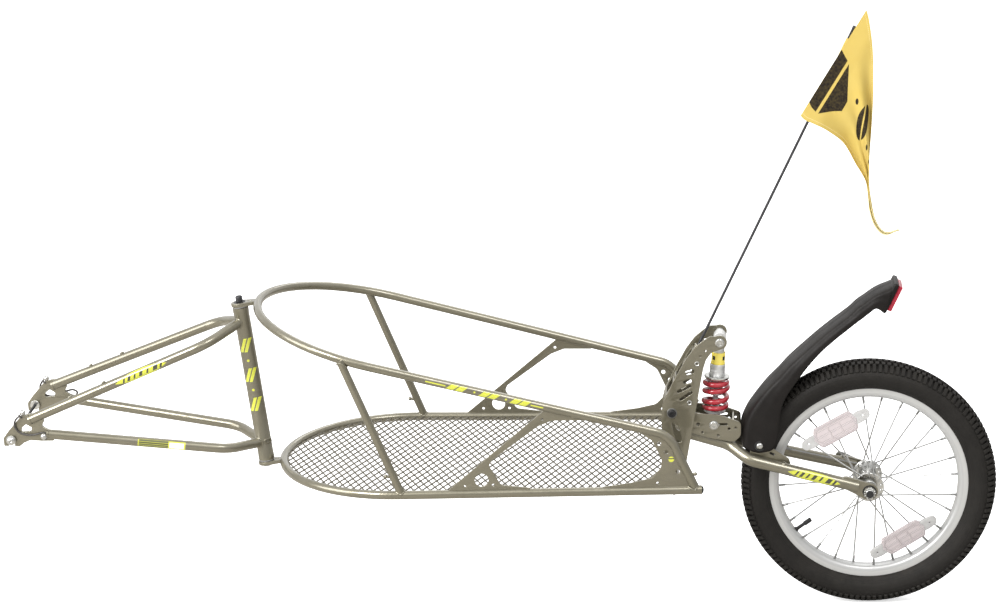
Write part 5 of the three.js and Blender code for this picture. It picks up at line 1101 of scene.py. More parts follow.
class TRAILER_OT_stage(bpy.types.Operator):
    """Sets up the camera, the pale floor, the lamps and the sky"""

    bl_idname = "trailer.stage"
    bl_label = "Stage"

    def execute(self, context):
        scene = context.scene
        look = scene.trailer_stage
        turn, rise, roll = (math.radians(angle) for angle in CAMERA_ANGLES)
        back = Vector((math.sin(turn) * math.cos(rise), -math.cos(turn) * math.cos(rise), math.sin(rise)))
        right = Vector((0, 0, 1)).cross(back).normalized()
        up = back.cross(right)
        first = math.cos(roll) * right + math.sin(roll) * up
        second = math.cos(roll) * up - math.sin(roll) * right
        fresh()
        bpy.ops.object.camera_add()
        camera = context.object
        camera.name = "camera"
        camera.matrix_world = facing(first, second, back, CAMERA_AT)
        camera.data.sensor_width = SENSOR_WIDTH
        camera.data.lens = FOCAL_PIXELS / PICTURE_PIXELS * SENSOR_WIDTH
        camera.data.clip_end = 60
        scene.camera = camera
        floor_z = (AXLE[1] - TYRE_RADIUS) * MM - 0.0006
        bpy.ops.mesh.primitive_plane_add(size=60, location=(0.8, 8, floor_z))
        floor = settle("floor")
        made, tree, shader, place = finish("floor_paper")
        grain = mottled(tree, place, 1.3, 300.0)
        tone = mix(tree, times(tree, grain[0], 0.03), tuple(look.floor), (0.9, 0.9, 0.9))
        lift = times(tree, add(tree, "ShaderNodeLightPath").outputs["Is Camera Ray"], look.lift)
        feed(tree, shader, {"Roughness": 0.9, "Specular IOR Level": 0.1, "Emission Color": (1, 1, 1),
                            "Emission Strength": lift})
        mirrored = add(tree, "ShaderNodeLightPath").outputs["Is Glossy Ray"]
        feed(tree, shader, {"Base Color": mix(tree, mirrored, tone, tuple(look.floor_mirrored))})
        floor.data.materials.append(made)
        world = bpy.data.worlds.new("sky")
        scene.world = world
        world.use_nodes = True
        tree = world.node_tree
        tree.nodes.clear()
        rays = add(tree, "ShaderNodeLightPath")
        way = add(tree, "ShaderNodeSeparateXYZ",
                  sockets={0: add(tree, "ShaderNodeTexCoord").outputs["Generated"]})
        high = spread(tree, way.outputs[2], 0.15, 0.75)
        behind = spread(tree, way.outputs[1], -0.3, 0.7)
        bright = calc(tree, "MAXIMUM", high, times(tree, behind, 0.75))
        light = spread(tree, bright, 0, 1, look.front, look.sky)
        seen = calc(tree, "MAXIMUM", rays.outputs["Is Camera Ray"], rays.outputs["Is Transmission Ray"])
        strength = calc(tree, "ADD", times(tree, light, less(tree, 1, seen)), seen)
        sky = add(tree, "ShaderNodeBackground", sockets={"Color": (1, 1, 1, 1), "Strength": strength})
        out = add(tree, "ShaderNodeOutputWorld")
        tree.links.new(sky.outputs[0], out.inputs[0])
        for name, at, aim, size, power in (
                ("key_light", (-1.0, -2.3, 2.3), (0.5, 0, 0.1), 1.3, look.key),
                ("side_light", (-2.4, -1.5, 1.3), (0.2, 0, 0.05), 2.2, look.key * 0.75),
                ("fill_light", (1.9, -2.2, 3.2), (0.9, 0, 0), 1.3, look.fill),
                ("rim_light", (1.2, 2.8, 2.6), (0.9, 0, 0.1), 2.0, look.fill * 0.5)):
            bpy.ops.object.light_add(type="AREA", location=at)
            lamp = context.object
            lamp.name = name
            lamp.data.energy, lamp.data.size = power, size
            lamp.rotation_euler = (Vector(aim) - Vector(at)).to_track_quat("-Z", "Y").to_euler()
        scene.view_settings.view_transform = "Standard"
        return {"FINISHED"}


# Fork


def peg(name, root, tip, radius=2.6, knob=3.4):
    """A cord peg: a short bar with a round end."""
    bar = rod(name, root, tip, radius * MM, 16)
    root, tip = Vector(root), Vector(tip)
    way = (tip - root).normalized()
    ball = [(0, -knob)] + [(knob * math.cos(a), knob * math.sin(a))
                           for a in (-1.2, -0.7, -0.2, 0.3, 0.8, 1.2)] + [(0, knob)]
    end = lathe(name + "_end", ball, tip * MM, way, 16)
    return merge_objects(name, [bar, end])


class TRAILER_OT_lanyards(bpy.types.Operator):
    """Lays a short cord from each retaining pin round its plate to the bolt"""

    bl_idname = "trailer.lanyards"
    bl_label = "Lanyards"

    def execute(self, context):
        route = [(18.5, 101.2, 42.5), (12.5, 101, 37.5), (8, 99.4, 29.5), (8.5, 97.4, 20.5),
                 (14.5, 96.9, 13), (24, 96.9, 9), (33, 96.9, 8.2), (42, 96.9, 9.4), (48, 96.9, 11),
                 (53, 96.9, 11.4), (57.6, 96.9, 9.6), (58.9, 96.9, 5.6), (56.8, 96.9, 2), (53.4, 96.9, 1)]
        looped = route[:4] + [(18, 97.2, 13.5), (28, 97.8, 11.5), (38, 98.6, 13.5), (50, 99, 19),
                              (62, 98.8, 22), (69.5, 98.4, 18.5), (67.5, 97.8, 12.5), (58.5, 97, 8),
                              (53.4, 96.9, 2.5)]
        for label, side in SIDES:
            path = smooth_path([mm(x, side * y, z) for x, y, z in (route if side < 0 else looped)], 5)
            cord = wire("lanyard_cord_" + label, path, 1.65 * MM, 3)
            dress(cord, "fork", "cord", "lanyard_" + label)
        return {"FINISHED"}


class TRAILER_OT_head_tube(bpy.types.Operator):
    """Turns the head tube with its end rings and screw fitting, and its two flanged bushings"""

    bl_idname = "trailer.head_tube"
    bl_label = "Head tube"

    def execute(self, context):
        centre = head_point(0, 0, 0)
        inner, outer = 11.1, 12.7
        profile = [(inner, -130), (outer - 0.4, -130), (outer + 0.3, -129.4), (outer + 0.3, -122),
                   (outer, -121.4), (outer, 121.4), (outer + 0.3, 122), (outer + 0.3, 129.4),
                   (outer - 0.4, 130), (inner, 130)]
        tube = lathe("head_tube_shell", profile, centre, HEAD_AXIS, 56, 30, closed=True)
        # Screw fitting low on the tube, turned from the left side towards the bed
        swing = math.radians(42)
        out = (Vector((0, -1, 0)) * math.cos(swing) + HEAD_AHEAD * math.sin(swing)).normalized()
        across = HEAD_AXIS.cross(out)
        turn = facing(across, HEAD_AXIS, out, head_point(0, 0, -97.5) + out * (outer + 0.5) * MM)
        rim = plate("fitting", rounded([(-6.5, -4, 3), (6.5, -4, 3), (6.5, 4, 3), (-6.5, 4, 3)]),
                    [slot((-3, 0), (3, 0), 2.1)], 2.6, turn, 0.4)
        dress(merge_objects("head_tube_shell", [tube, rim]), "fork", "paint_head", "head_tube")
        for name, sign in (("upper", 1), ("lower", -1)):
            profile = [(5.3, 112), (10.8, 112), (10.8, 130.15), (11.4, 130.15), (11.7, 130.5), (11.7, 131.6),
                       (11.3, 132), (5.3, 132)]
            ring_piece = lathe(name + "_bushing_ring", [(r, sign * z) for r, z in profile], centre,
                               HEAD_AXIS, 40, 35, True)
            dress(ring_piece, "fork", "clip", name + "_bushing")
        return {"FINISHED"}


class TRAILER_OT_fork_arms(bpy.types.Operator):
    """Bends the four fork arms from the hitch plates to the head tube, with their bosses and weld beads"""

    bl_idname = "trailer.fork_arms"
    bl_label = "Fork arms"

    def execute(self, context):
        beads = []
        radius = sizes().fork_radius
        for label, side in SIDES:
            upper = [(34, side * 92, 33.5), (UPPER_KNEE[0], side * UPPER_KNEE[1], UPPER_KNEE[2]),
                     head_axis_at(167.5)]
            lower = [(61, side * 92, 8), (LOWER_KNEE[0], side * LOWER_KNEE[1], LOWER_KNEE[2]),
                     head_axis_at(-39)]
            for kind, corners, mark, bow in (("upper", upper, "paint_arm", 60),
                                             ("lower", lower, "paint_low_arm", 50)):
                start, bend, end = (Vector(p) for p in corners)
                way = (start - bend).normalized()
                tube = bent_tube(f"{kind}_arm_tube_{label}", [(start, 0), (bend, bow), (end, 0)], radius)
                nose = rod("nose", start, start + way * 4.5, radius * 0.995, 28, 4 * MM)
                parts = [tube, nose]
                if kind == "upper":
                    for share, size in ((0.425, 1.0), (0.235, 0.8)):
                        at = start.lerp(bend, share) + Vector((-0.35, 0, 0.93)) * 8
                        up = Vector((-0.384, 0, 0.923))
                        parts.append(lathe("boss", [(0, -1.5), (3.6 * size, -1.5), (3.6 * size, 1.6),
                                                    (3.0 * size, 2.3), (1.6 * size, 2.3),
                                                    (1.6 * size, 0.6), (0, 0.6)], at * MM, up, 20))
                body = merge_objects(f"{kind}_arm_tube_{label}", parts)
                dress(body, "fork", mark, f"{kind}_arm_{label}")
                toward = (bend - end).normalized()
                beads.append(bead("bead", end * MM, toward, radius, head_point(0, 0, 0), HEAD_AXIS,
                                  12.7 * MM))
        dress(merge_objects("fork_weld_beads", beads), "fork", "paint")
        return {"FINISHED"}


class TRAILER_OT_dropouts(bpy.types.Operator):
    """Cuts the two slotted hitch plates with their lanyard bolts"""

    bl_idname = "trailer.dropouts"
    bl_label = "Hitch plates"

    def execute(self, context):
        corners = [(-12.2, -10.1, 1.5), (-12.8, 2.2, 5), (-3.8, 14.1, 6), (7.7, 26.8, 8), (17.3, 37.8, 6),
                   (30.1, 42.2, 6), (51.2, 44, 3), (54.4, 29.9, 3), (49.9, 22, 4), (60.2, 15.8, 5),
                   (69.8, 11, 3), (69.8, -2.2, 3), (49.9, -2.2, 6), (30.1, -0.9, 6), (19.8, -5.3, 5),
                   (12.8, -11, 1.5)]
        mouth = [(5.3, -10.6, 0.6), *arc(0, 0, 5.3, 0, 180, 14), (-5.3, -10.4, 0.6)]
        outline = rounded(corners + mouth)
        window = rounded([(16, 11.9, 2.5), (33.9, 13.6, 2.5), (35.2, 20.2, 2.5), (25.6, 26.4, 3),
                          (17.9, 20.2, 2.5)])
        for label, side in SIDES:
            place = upright(0, side * HITCH_HALF, 0)
            body = plate("hitch_plate_" + label, outline, [window], 6, place, 0.5)
            face = mm(53.8, side * (HITCH_HALF + 3), 6.2)
            ball = [(5.4 * math.cos(a), 3.6 + 5.0 * math.sin(a))
                    for a in (-0.7, -0.4, 0, 0.35, 0.7, 1.0, 1.3)]
            head = lathe("lanyard_bolt_" + label, [(0, 0.3), (3.2, 0.3), *ball, (0, 8.7)], face,
                         (0, side, 0), 24)
            dress(head, "fork", "steel")
            collar = lathe("bead", [(4.9, 0), (5.2, 0.5), (4.6, 1.0), (3.2, 1.1), (3.2, 0)], face,
                           (0, side, 0), 24, closed=True)
            lug = rod("lug", (41, side * 92, 37), (45.5, side * 92, 43.6), 3.6 * MM, 20, 0.8 * MM)
            body = merge_objects("hitch_plate_" + label, [body, collar, lug])
            dress(body, "fork", "paint", "dropout_" + label)
        return {"FINISHED"}


class TRAILER_OT_hitch_axle(bpy.types.Operator):
    """Turns the hitch rod with its two bobbins, and the retaining pins with their ball knobs"""

    bl_idname = "trailer.hitch_axle"
    bl_label = "Hitch axle"

    def execute(self, context):
        shaft = rod("hitch_axle_rod", (0, -100, 0), (0, 100, 0), 2.5 * MM, 20)
        dress(shaft, "fork", "dark", "hitch_rod")
        slant = Vector((0.42, 0, 0.9075)).normalized()
        for label, side in SIDES:
            profile = [(2.8, 83.7), (7.4, 83.7), (8, 84.3), (8, 88.1), (7.4, 88.7), (5, 88.7), (5, 95.3),
                       (7.4, 95.3), (8, 95.9), (8, 99.6), (7.5, 100.3), (6.4, 102.2), (5, 103.6),
                       (3.6, 104.5), (2.6, 104.8), (2.6, 103), (1.3, 102.2), (0, 102.2), (0, 100.3),
                       (2.8, 100.3)]
            bobbin = lathe("bobbin_turned_" + label, profile, mm(0, 0, 0), (0, side, 0), 44, 35, True)
            dress(bobbin, "fork", "steel", "bobbin_" + label)
            base = mm(0, side * HITCH_HALF, 0)
            knob = [(2.2, 43.9), (2.6, 44.0), (2.9, 44.6)]
            ball = [(5 * math.cos(a), 49.2 + 5 * math.sin(a)) for a in (-1.0, -0.75, -0.5, -0.25, 0, 0.25,
                                                                        0.5, 0.75, 1.0, 1.25)]
            profile = [(0, 5.3), (1.2, 5.3), (1.6, 6), (1.6, 43.7), *knob, *ball, (0, 54.2)]
            pin = lathe("pin_turned_" + label, profile, base, slant, 32)
            ring_at = base + slant * 47 * MM
            eye = wire("eye", [ring_at + (Vector((0, side, 0)) * (4.6 + 2.2 * math.cos(a))
                                          + slant * 2.2 * math.sin(a)) * MM for a in [math.tau * k / 20
                                   for k in range(20)]], 0.55 * MM, 2, closed=True)
            dress(merge_objects("pin_turned_" + label, [pin, eye]), "pin_" + label, "steel",
                  "retaining_pin_" + label)
            across = slant.cross(Y_AXIS)
            loop = wire("pin_loop_" + label, [
                base + slant * 42.2 * MM + (across * math.cos(a) + Vector((0, 1, 0)) * math.sin(a)) * 3.3 * MM
                for a in [math.tau * k / 24 for k in range(24)]], 1.5 * MM, 2, closed=True)
            dress(loop, "pin_" + label, "cord")
        return {"FINISHED"}


# Load frame


class TRAILER_OT_hoops(bpy.types.Operator):
    """Bends the upper and the lower hoop of the load frame, with the rear pegs"""

    bl_idname = "trailer.hoops"
    bl_label = "Hoops"

    def execute(self, context):
        radius = sizes().rail_radius
        bow = NOSE_BOW

        def corner(side, x, z, bend=0):
            return ((x, side * side_half(x), z), bend)

        upper = bent_tube("upper_hoop", [corner(-1, FOOT_X, BED + 5), corner(-1, KNEE_X, rail_rise(KNEE_X),
                                             45), corner(-1, *TOP_NOSE, bow), corner(1, *TOP_NOSE, bow),
                                         corner(1, KNEE_X, rail_rise(KNEE_X), 45),
                                         corner(1, FOOT_X, BED + 5)], radius, 32)
        parts = [upper]
        for _label, side in SIDES:
            knee = Vector((KNEE_X, side * side_half(KNEE_X), rail_rise(KNEE_X)))
            foot = Vector((FOOT_X, side * side_half(FOOT_X), BED))
            root = knee.lerp(foot, 0.737)
            parts.append(peg("peg", root, root + Vector((11.5, 0, 2.3)), 2.4, 3.1))
        dress(merge_objects("upper_hoop", parts), "load_frame", "paint_rail", "top_rail")
        lower = bent_tube("lower_hoop", [
            corner(-1, RAIL_END, BED), corner(-1, LOW_NOSE[0], BED, bow), corner(1, LOW_NOSE[0], BED, bow),
            corner(1, RAIL_END, BED)], radius, 32)
        ends = []
        for _label, side in SIDES:
            at = mm(RAIL_END - 0.2, side * side_half(RAIL_END), BED)
            ends.append(lathe("end_cap", [(0, 3.4), (2.2, 3.2), (4.2, 2.5), (5.7, 1.2), (6.6, -0.4),
                                          (6.6, -3), (0, -3)], at, (1, -side * SIDE_TAPER, 0), 28))
        dress(lower, "load_frame", "paint", "low_rail")
        dress(merge_objects("lower_hoop_plugs", ends), "load_frame", "black")
        return {"FINISHED"}


class TRAILER_OT_struts(bpy.types.Operator):
    """Stands the two slanted struts with their pegs, and the cross tube behind the net, with weld beads"""

    bl_idname = "trailer.struts"
    bl_label = "Struts and cross tube"

    def execute(self, context):
        radius, rail = sizes().strut_radius, sizes().rail_radius
        beads = []
        rail_way = Vector((1, 0, -TOP_SLOPE))
        for label, side in SIDES:
            top_x, foot_x = TOP_NOSE[0] + 153, LOW_NOSE[0] + 211
            top = Vector((top_x, side * side_half(top_x), rail_rise(top_x)))
            foot = Vector((foot_x, side * side_half(foot_x), BED))
            root = top.lerp(foot, 0.87)
            bar = rod("strut_tube_" + label, top, foot, radius, 28)
            hook = peg("peg", root, root + Vector((-12.5, 0, 2.4)), 2.3, 3.2)
            dress(merge_objects("strut_tube_" + label, [bar, hook]), "load_frame", "paint", "strut_"
                  + label)
            down = (foot - top).normalized()
            taper = Vector((0, -side * SIDE_TAPER, 0))
            beads.append(bead("bead", top * MM, down, radius, top * MM, rail_way + taper, rail))
            beads.append(bead("bead", foot * MM, -down, radius, foot * MM, Vector((1, 0, 0)) + taper, rail))
            foot_rail = Vector((FOOT_X, side * side_half(FOOT_X), BED))
            knee = Vector((KNEE_X, side * side_half(KNEE_X), rail_rise(KNEE_X)))
            beads.append(bead("bead", foot_rail * MM, knee - foot_rail, rail, foot_rail * MM,
                              Vector((1, 0, 0)) + taper, rail))
            cross_end = mm(CROSS_X, side * side_half(CROSS_X), BED)
            beads.append(bead("bead", cross_end, (0, -side, 0), rail, cross_end, Vector((1, 0, 0)) + taper,
                              rail))
        reach = side_half(CROSS_X)
        cross = rod("cross_tube_bar", (CROSS_X, -reach, BED), (CROSS_X, reach, BED), rail, 28)
        dress(cross, "load_frame", "paint", "rear_cross_tube")
        dress(merge_objects("frame_weld_beads", beads), "load_frame", "paint")
        return {"FINISHED"}


def in_side(side):
    """Places an upright plate in the tapered side of the bed."""
    taper = math.atan(SIDE_TAPER)
    return (moved(TOP_NOSE[0], side * 205, 0) @ Matrix.Rotation(-side * taper, 4, "Z")
            @ upright(-TOP_NOSE[0], 0, 0))


class TRAILER_OT_gussets(bpy.types.Operator):
    """Cuts the four gusset plates between the hoops"""

    bl_idname = "trailer.gussets"
    bl_label = "Gussets"

    def execute(self, context):
        front = rounded([(710, -58), (713.3, -56.1), (864.3, 70.2), (862, 75), (926, 58.5),
                         (923.4, 54.9, 2), (877.3, 55.1, 10), (855.3, 46.2, 8), (780.4, -8.6, 4),
                         (776.3, -18.2, 8), (781.3, -25.8, 6), (794.3, -49.8, 10), (841.4, -55.5, 3),
                         (838, -59)])
        front_holes = [ring(764.7, -41, 11.2, 36), ring(739, -49.6, 2.5, 16), ring(782.8, -49.2, 2.5, 16),
                       ring(862.6, 57.2, 2.6, 16)]
        rear = rounded([(953.7, -58), (953.7, -56.1), (997.8, -50.3, 20), (1029.5, -43.1, 14),
                        (1045.7, -26.2, 12), (1046.7, -12.1, 10), (1032.7, 18.9, 12), (1008, 36),
                        (1012, 38.6), (KNEE_X, 27.5, 44), (1093, -56), (1093, -60)])
        rear_holes = [ring(1042.7, 13.6, 3.9, 20), ring(1053.9, 0.1, 3.9, 20), ring(1071, -32.6, 3.9, 20),
                      ring(1039.6, -50.9, 2.5, 16)]
        for label, side in SIDES:
            for name, outline, holes, coat in (("front_gusset", front, front_holes, "paint"),
                                               ("rear_gusset", rear, rear_holes, "paint_gusset")):
                body = plate(f"{name}_plate_{label}", outline, holes, 3, in_side(side), 0.4)
                dress(body, "load_frame", coat, f"{name}_{label}")
        return {"FINISHED"}


class TRAILER_OT_net(bpy.types.Operator):
    """Lays the floor of expanded metal between the lower hoop's sides"""

    bl_idname = "trailer.net"
    bl_label = "Net floor"

    def execute(self, context):
        size = sizes()
        length, width = size.net_length, size.net_width
        step = length * width / math.hypot(length, width)
        lean = math.atan2(width, length)
        middle = Vector(((LOW_NOSE[0] + CROSS_X) / 2 * MM, 0, BED * MM))
        families = []
        inset = 3.0
        edge = [(x, -(side_half(x) - inset)) for x in (1060, LOW_NOSE[0] + NOSE_BOW + 2)]
        bow = [(LOW_NOSE[0] + NOSE_BOW + 1 - (NOSE_BOW + 1 - inset) * math.sin(a),
                NOSE_BOW - 202.5 - (NOSE_BOW - inset) * math.cos(a))
               for a in [math.pi / 2 * k / 14 for k in range(1, 15)]]
        outline = edge + bow + [(x, -y) for x, y in reversed(edge + bow)]
        outline += [(1060, 35), (1042, 35), (1042, -35), (1060, -35)]
        for sign in (1, -1):
            fresh()
            bpy.ops.mesh.primitive_cube_add(size=1)
            bar = context.object
            bar.scale = (1.1, size.net_strand, 0.0021)
            settle("net_strands")
            edit_all()
            bpy.ops.mesh.bevel(offset=0.0003, segments=1, affect="EDGES")
            bpy.ops.object.mode_set(mode="OBJECT")
            rows = math.ceil(1.05 / step)
            run = bar.modifiers.new("rows", "ARRAY")
            run.count, run.use_relative_offset, run.use_constant_offset = rows, False, True
            run.constant_offset_displace = (0, step, 0)
            bpy.ops.object.modifier_apply(modifier="rows")
            bar.matrix_world = (Matrix.Translation(middle + Vector((0, 0, sign * 0.00042)))
                                @ Matrix.Rotation(sign * lean, 4, "Z")
                                @ Matrix.Translation((0, -step * (rows - 1) / 2, 0)))
            settle()
            cutter = plate("net_outline", [Vector(p) for p in outline], [], 20,
                           Matrix.Translation((0, 0, BED * MM)), 0.1)
            families.append(cut_away(bar, cutter, "INTERSECT"))
        net = merge_objects("net_floor", families)
        shade_up_to(30)
        dress(net, "load_frame", "net", "bed_net")
        return {"FINISHED"}


class TRAILER_OT_head_brackets(bpy.types.Operator):
    """Cuts the two head brackets and turns the long head bolt with its cap and nut"""

    bl_idname = "trailer.head_brackets"
    bl_label = "Head brackets"

    def execute(self, context):
        a, b = Vector((0, 0)), Vector((29, 0))
        swing = math.acos((13.5 - 7) / 29)
        outline = swept(a, 13.5, swing, math.tau - 2 * swing, 24) + swept(b, 7, -swing, 2 * swing, 12)
        for name, sign in (("upper", 1), ("lower", -1)):
            place = facing(HEAD_AHEAD, Y_AXIS, HEAD_AXIS, head_point(0, 0, sign * 135.3))
            body = plate(name + "_bracket_plate", outline,
                         [ring(0, 0, 5.4), slot((14.6, 0), (18.6, 0), 2.3)], 6, place, 0.8)
            dress(body, "load_frame", "paint", name + "_bracket")
        centre = head_point(0, 0, 0)
        shaft = [(0, -141.4), (4.6, -141.4), (5, -141), (5, 138.6), (5.6, 139), (5.6, 147.2), (4.9, 148.2),
                 (2.8, 148.6), (2.8, 144), (0, 144)]
        bolt = lathe("head_bolt_turned", shaft, centre, HEAD_AXIS, 32)
        nut_place = facing(HEAD_AHEAD, Y_AXIS, HEAD_AXIS, head_point(0, 0, -139.8))
        nut = plate("nut", ring(0, 0, 8, 6), [ring(0, 0, 4.7)], 2.4, nut_place, 0.5)
        washers = [lathe("washer", [(5.4, 0), (9.4, 0), (9.4, 0.25), (5.4, 0.25)], head_point(0, 0, h),
                         HEAD_AXIS, 32, closed=True) for h in (138.35, -138.65)]
        dress(merge_objects("head_bolt_turned", [bolt, nut, *washers]), "load_frame", "dark", "head_bolt")
        return {"FINISHED"}


# Shock tower


class TRAILER_OT_tower(bpy.types.Operator):
    """Cuts the two tower plates and the ladder web with the flag's socket"""

    bl_idname = "trailer.tower"
    bl_label = "Shock tower"

    def execute(self, context):
        front = [(1048.8, -75.4, 2), (1043.8, -7.5, 12), (1043.8, 14.5, 20), (1047.7, 32.5, 12),
                 (1062.7, 63.6, 20), (1083.7, 101.6, 24), (1097.7, 120.5, 20), (1110.8, 131.5, 10),
                 (1121.7, 139, 8)]
        boss = arc(*SHOCK_TOP, 11, 118, -62, 18)
        rear = [(1124.7, 113.5, 6), (1115.8, 101.6, 12), (1111.2, 87.5, 14), (1107.3, 67.6, 20),
                (1099.2, 23.6, 30), (1080.8, -75.4, 2)]
        outline = rounded(front + boss + rear)
        holes = [ring(*PIVOT, 6.4), ring(*SHOCK_TOP, 4.4), ring(CROSS_X, BED, 7.2, 32),
                 rounded([(1081.6, 82.4, 2.5), (1096.6, 88, 4), (1097.4, 78.2, 4), (1084.4, 74.6, 2)]),
                 rounded([(1077.4, 66.2, 3), (1092.6, 71.4, 3.5), (1093.2, 63, 3.5), (1080.2, 59.2, 2.5)]),
                 slot((1071, 48.5), (1089, 57.6), 3.1), slot((1075, 35.8), (1091, 46.6), 3.1),
                 slot((1064.5, -6), (1070.4, -32), 6.0), ring(1114.8, 116, 2.6, 20),
                 ring(1106.8, 107, 2.6, 20), ring(1101.6, 94.7, 2.1, 20), ring(1088.6, 29.6, 2.1, 20)]
        rings = []
        for label, side in SIDES:
            place = upright(0, side * 31.25, 0)
            body = plate("tower_side_" + label, outline, holes, 3.5, place, 0.5)
            dress(body, "load_frame", "paint", "tower_plate_" + label)
            for x, z in ((1101.6, 94.7), (1088.6, 29.6)):
                rings.append(lathe("eyelet", [(2.0, -0.6), (3.9, -0.6), (4.2, 0.1), (3.6, 0.9), (2.6, 1.0),
                                              (2.0, 0.5)], mm(x, side * 33.1, z), (0, side, 0), 24,
                                   closed=True))
        dress(merge_objects("tower_eyelets", rings), "load_frame", "steel")
        low = Vector((1043.753 + 0.06 * 94.5, 0, BED + 100))
        high = Vector((1043.753 + 0.55 * 94.5, 0, BED + 172))
        length, half = (high - low).length, 29.2
        pitch = length / 3
        windows = [rounded([(p * pitch + 0.22 * pitch, -23.4, 3), (p * pitch + 0.89 * pitch, -23.4, 3),
                            (p * pitch + 0.89 * pitch, 23.4, 3), (p * pitch + 0.22 * pitch, 23.4, 3)])
                   for p in range(3)]
        lean = Matrix.Translation(low * MM) @ Matrix.Rotation(-math.atan2(high.z - low.z, high.x - low.x),
                                                              4, "Y")
        web = plate("tower_ladder", [(0, -half), (length, -half), (length, half), (0, half)], windows, 3,
                    lean, 0.4)
        along = Vector((math.sin(POLE_LEAN), 0, math.cos(POLE_LEAN)))
        seat = mm(POLE_SEAT[0], 0, POLE_SEAT[1])
        socket = lathe("socket", [(0, -4), (5.4, -4), (6, -3.2), (6, 38.6), (6.6, 39), (6.6, 40),
                                  (5.6, 40.4), (3.3, 40.4), (3.3, -0.3), (0, -0.3)], seat, along, 32)
        bar_at = seat + along * 8 * MM
        bar = block("bar", (6, 58, 3), Matrix.Translation(bar_at), 0.6)
        dress(merge_objects("tower_ladder", [web, socket, bar]), "load_frame", "paint", "tower_web")
        return {"FINISHED"}


def through_bolt(node, at, shank, head, face, body, coat, hollow=0.55):
    """A bolt across the trailer with a socket head on the left and a flanged nut on the right."""
    x, z = at
    depth = 5.0
    profile = [(0, 0), (head, 0), (head, 0.9), (head * 0.82, 1.3), (head * 0.82, depth - 0.7),
               (head * 0.74, depth), (head * hollow, depth), (head * hollow * 0.9, depth - 2.4),
               (0, depth - 2.4)]
    parts = [lathe("head", profile, mm(x, -face, z), -Y_AXIS, 36), plate("key", ring(0, 0, head * 0.5, 6),
                 [ring(0, 0, head * 0.3, 20)], 0.8, upright(x, -(face + depth - 2.5), z), 0.1),
             lathe("flange", [(0, 0), (head, 0), (head, 0.9), (head * 0.8, 1.5), (0, 1.5)], mm(x, face, z),
                   Y_AXIS, 32), plate("nut", ring(0, 0, head * 0.86, 6), [], 3.8,
                                      upright(x, face + 2.9, z), 0.5), rod("shank", (x, -face - 0.5, z),
                 (x, face + 0.5, z), shank * MM, 28)]
    return dress(merge_objects(node + "_turned", parts), body, coat, node)


class TRAILER_OT_bolts(bpy.types.Operator):
    """Turns the pivot bolt and the two shock bolts"""

    bl_idname = "trailer.bolts"
    bl_label = "Bolts"

    def execute(self, context):
        through_bolt("pivot_bolt", PIVOT, 6, 6.5, 34.1, "load_frame", "dark")
        washers = [lathe("washer", [(6.2, 33.1), (8.2, 33.1), (8.5, 33.4), (8.5, 33.8), (8.2, 34.1),
                                    (6.2, 34.1)], mm(PIVOT[0], 0, PIVOT[1]), (0, side, 0), 36, closed=True)
                   for _label, side in SIDES]
        dress(merge_objects("pivot_washers", washers), "load_frame", "dull")
        through_bolt("upper_shock_bolt", SHOCK_TOP, 4, 7.5, 33.3, "load_frame", "steel")
        through_bolt("lower_shock_bolt", SHOCK_FOOT, 4, 7.5, 29.1, "swingarm", "steel", 0.3)
        return {"FINISHED"}


# Shock


SHOCK_DOWN = Vector((SHOCK_FOOT[0] - SHOCK_TOP[0], 0, SHOCK_FOOT[1] - SHOCK_TOP[1])).normalized()
SHOCK_ABOVE = mm(SHOCK_TOP[0], 0, SHOCK_TOP[1])


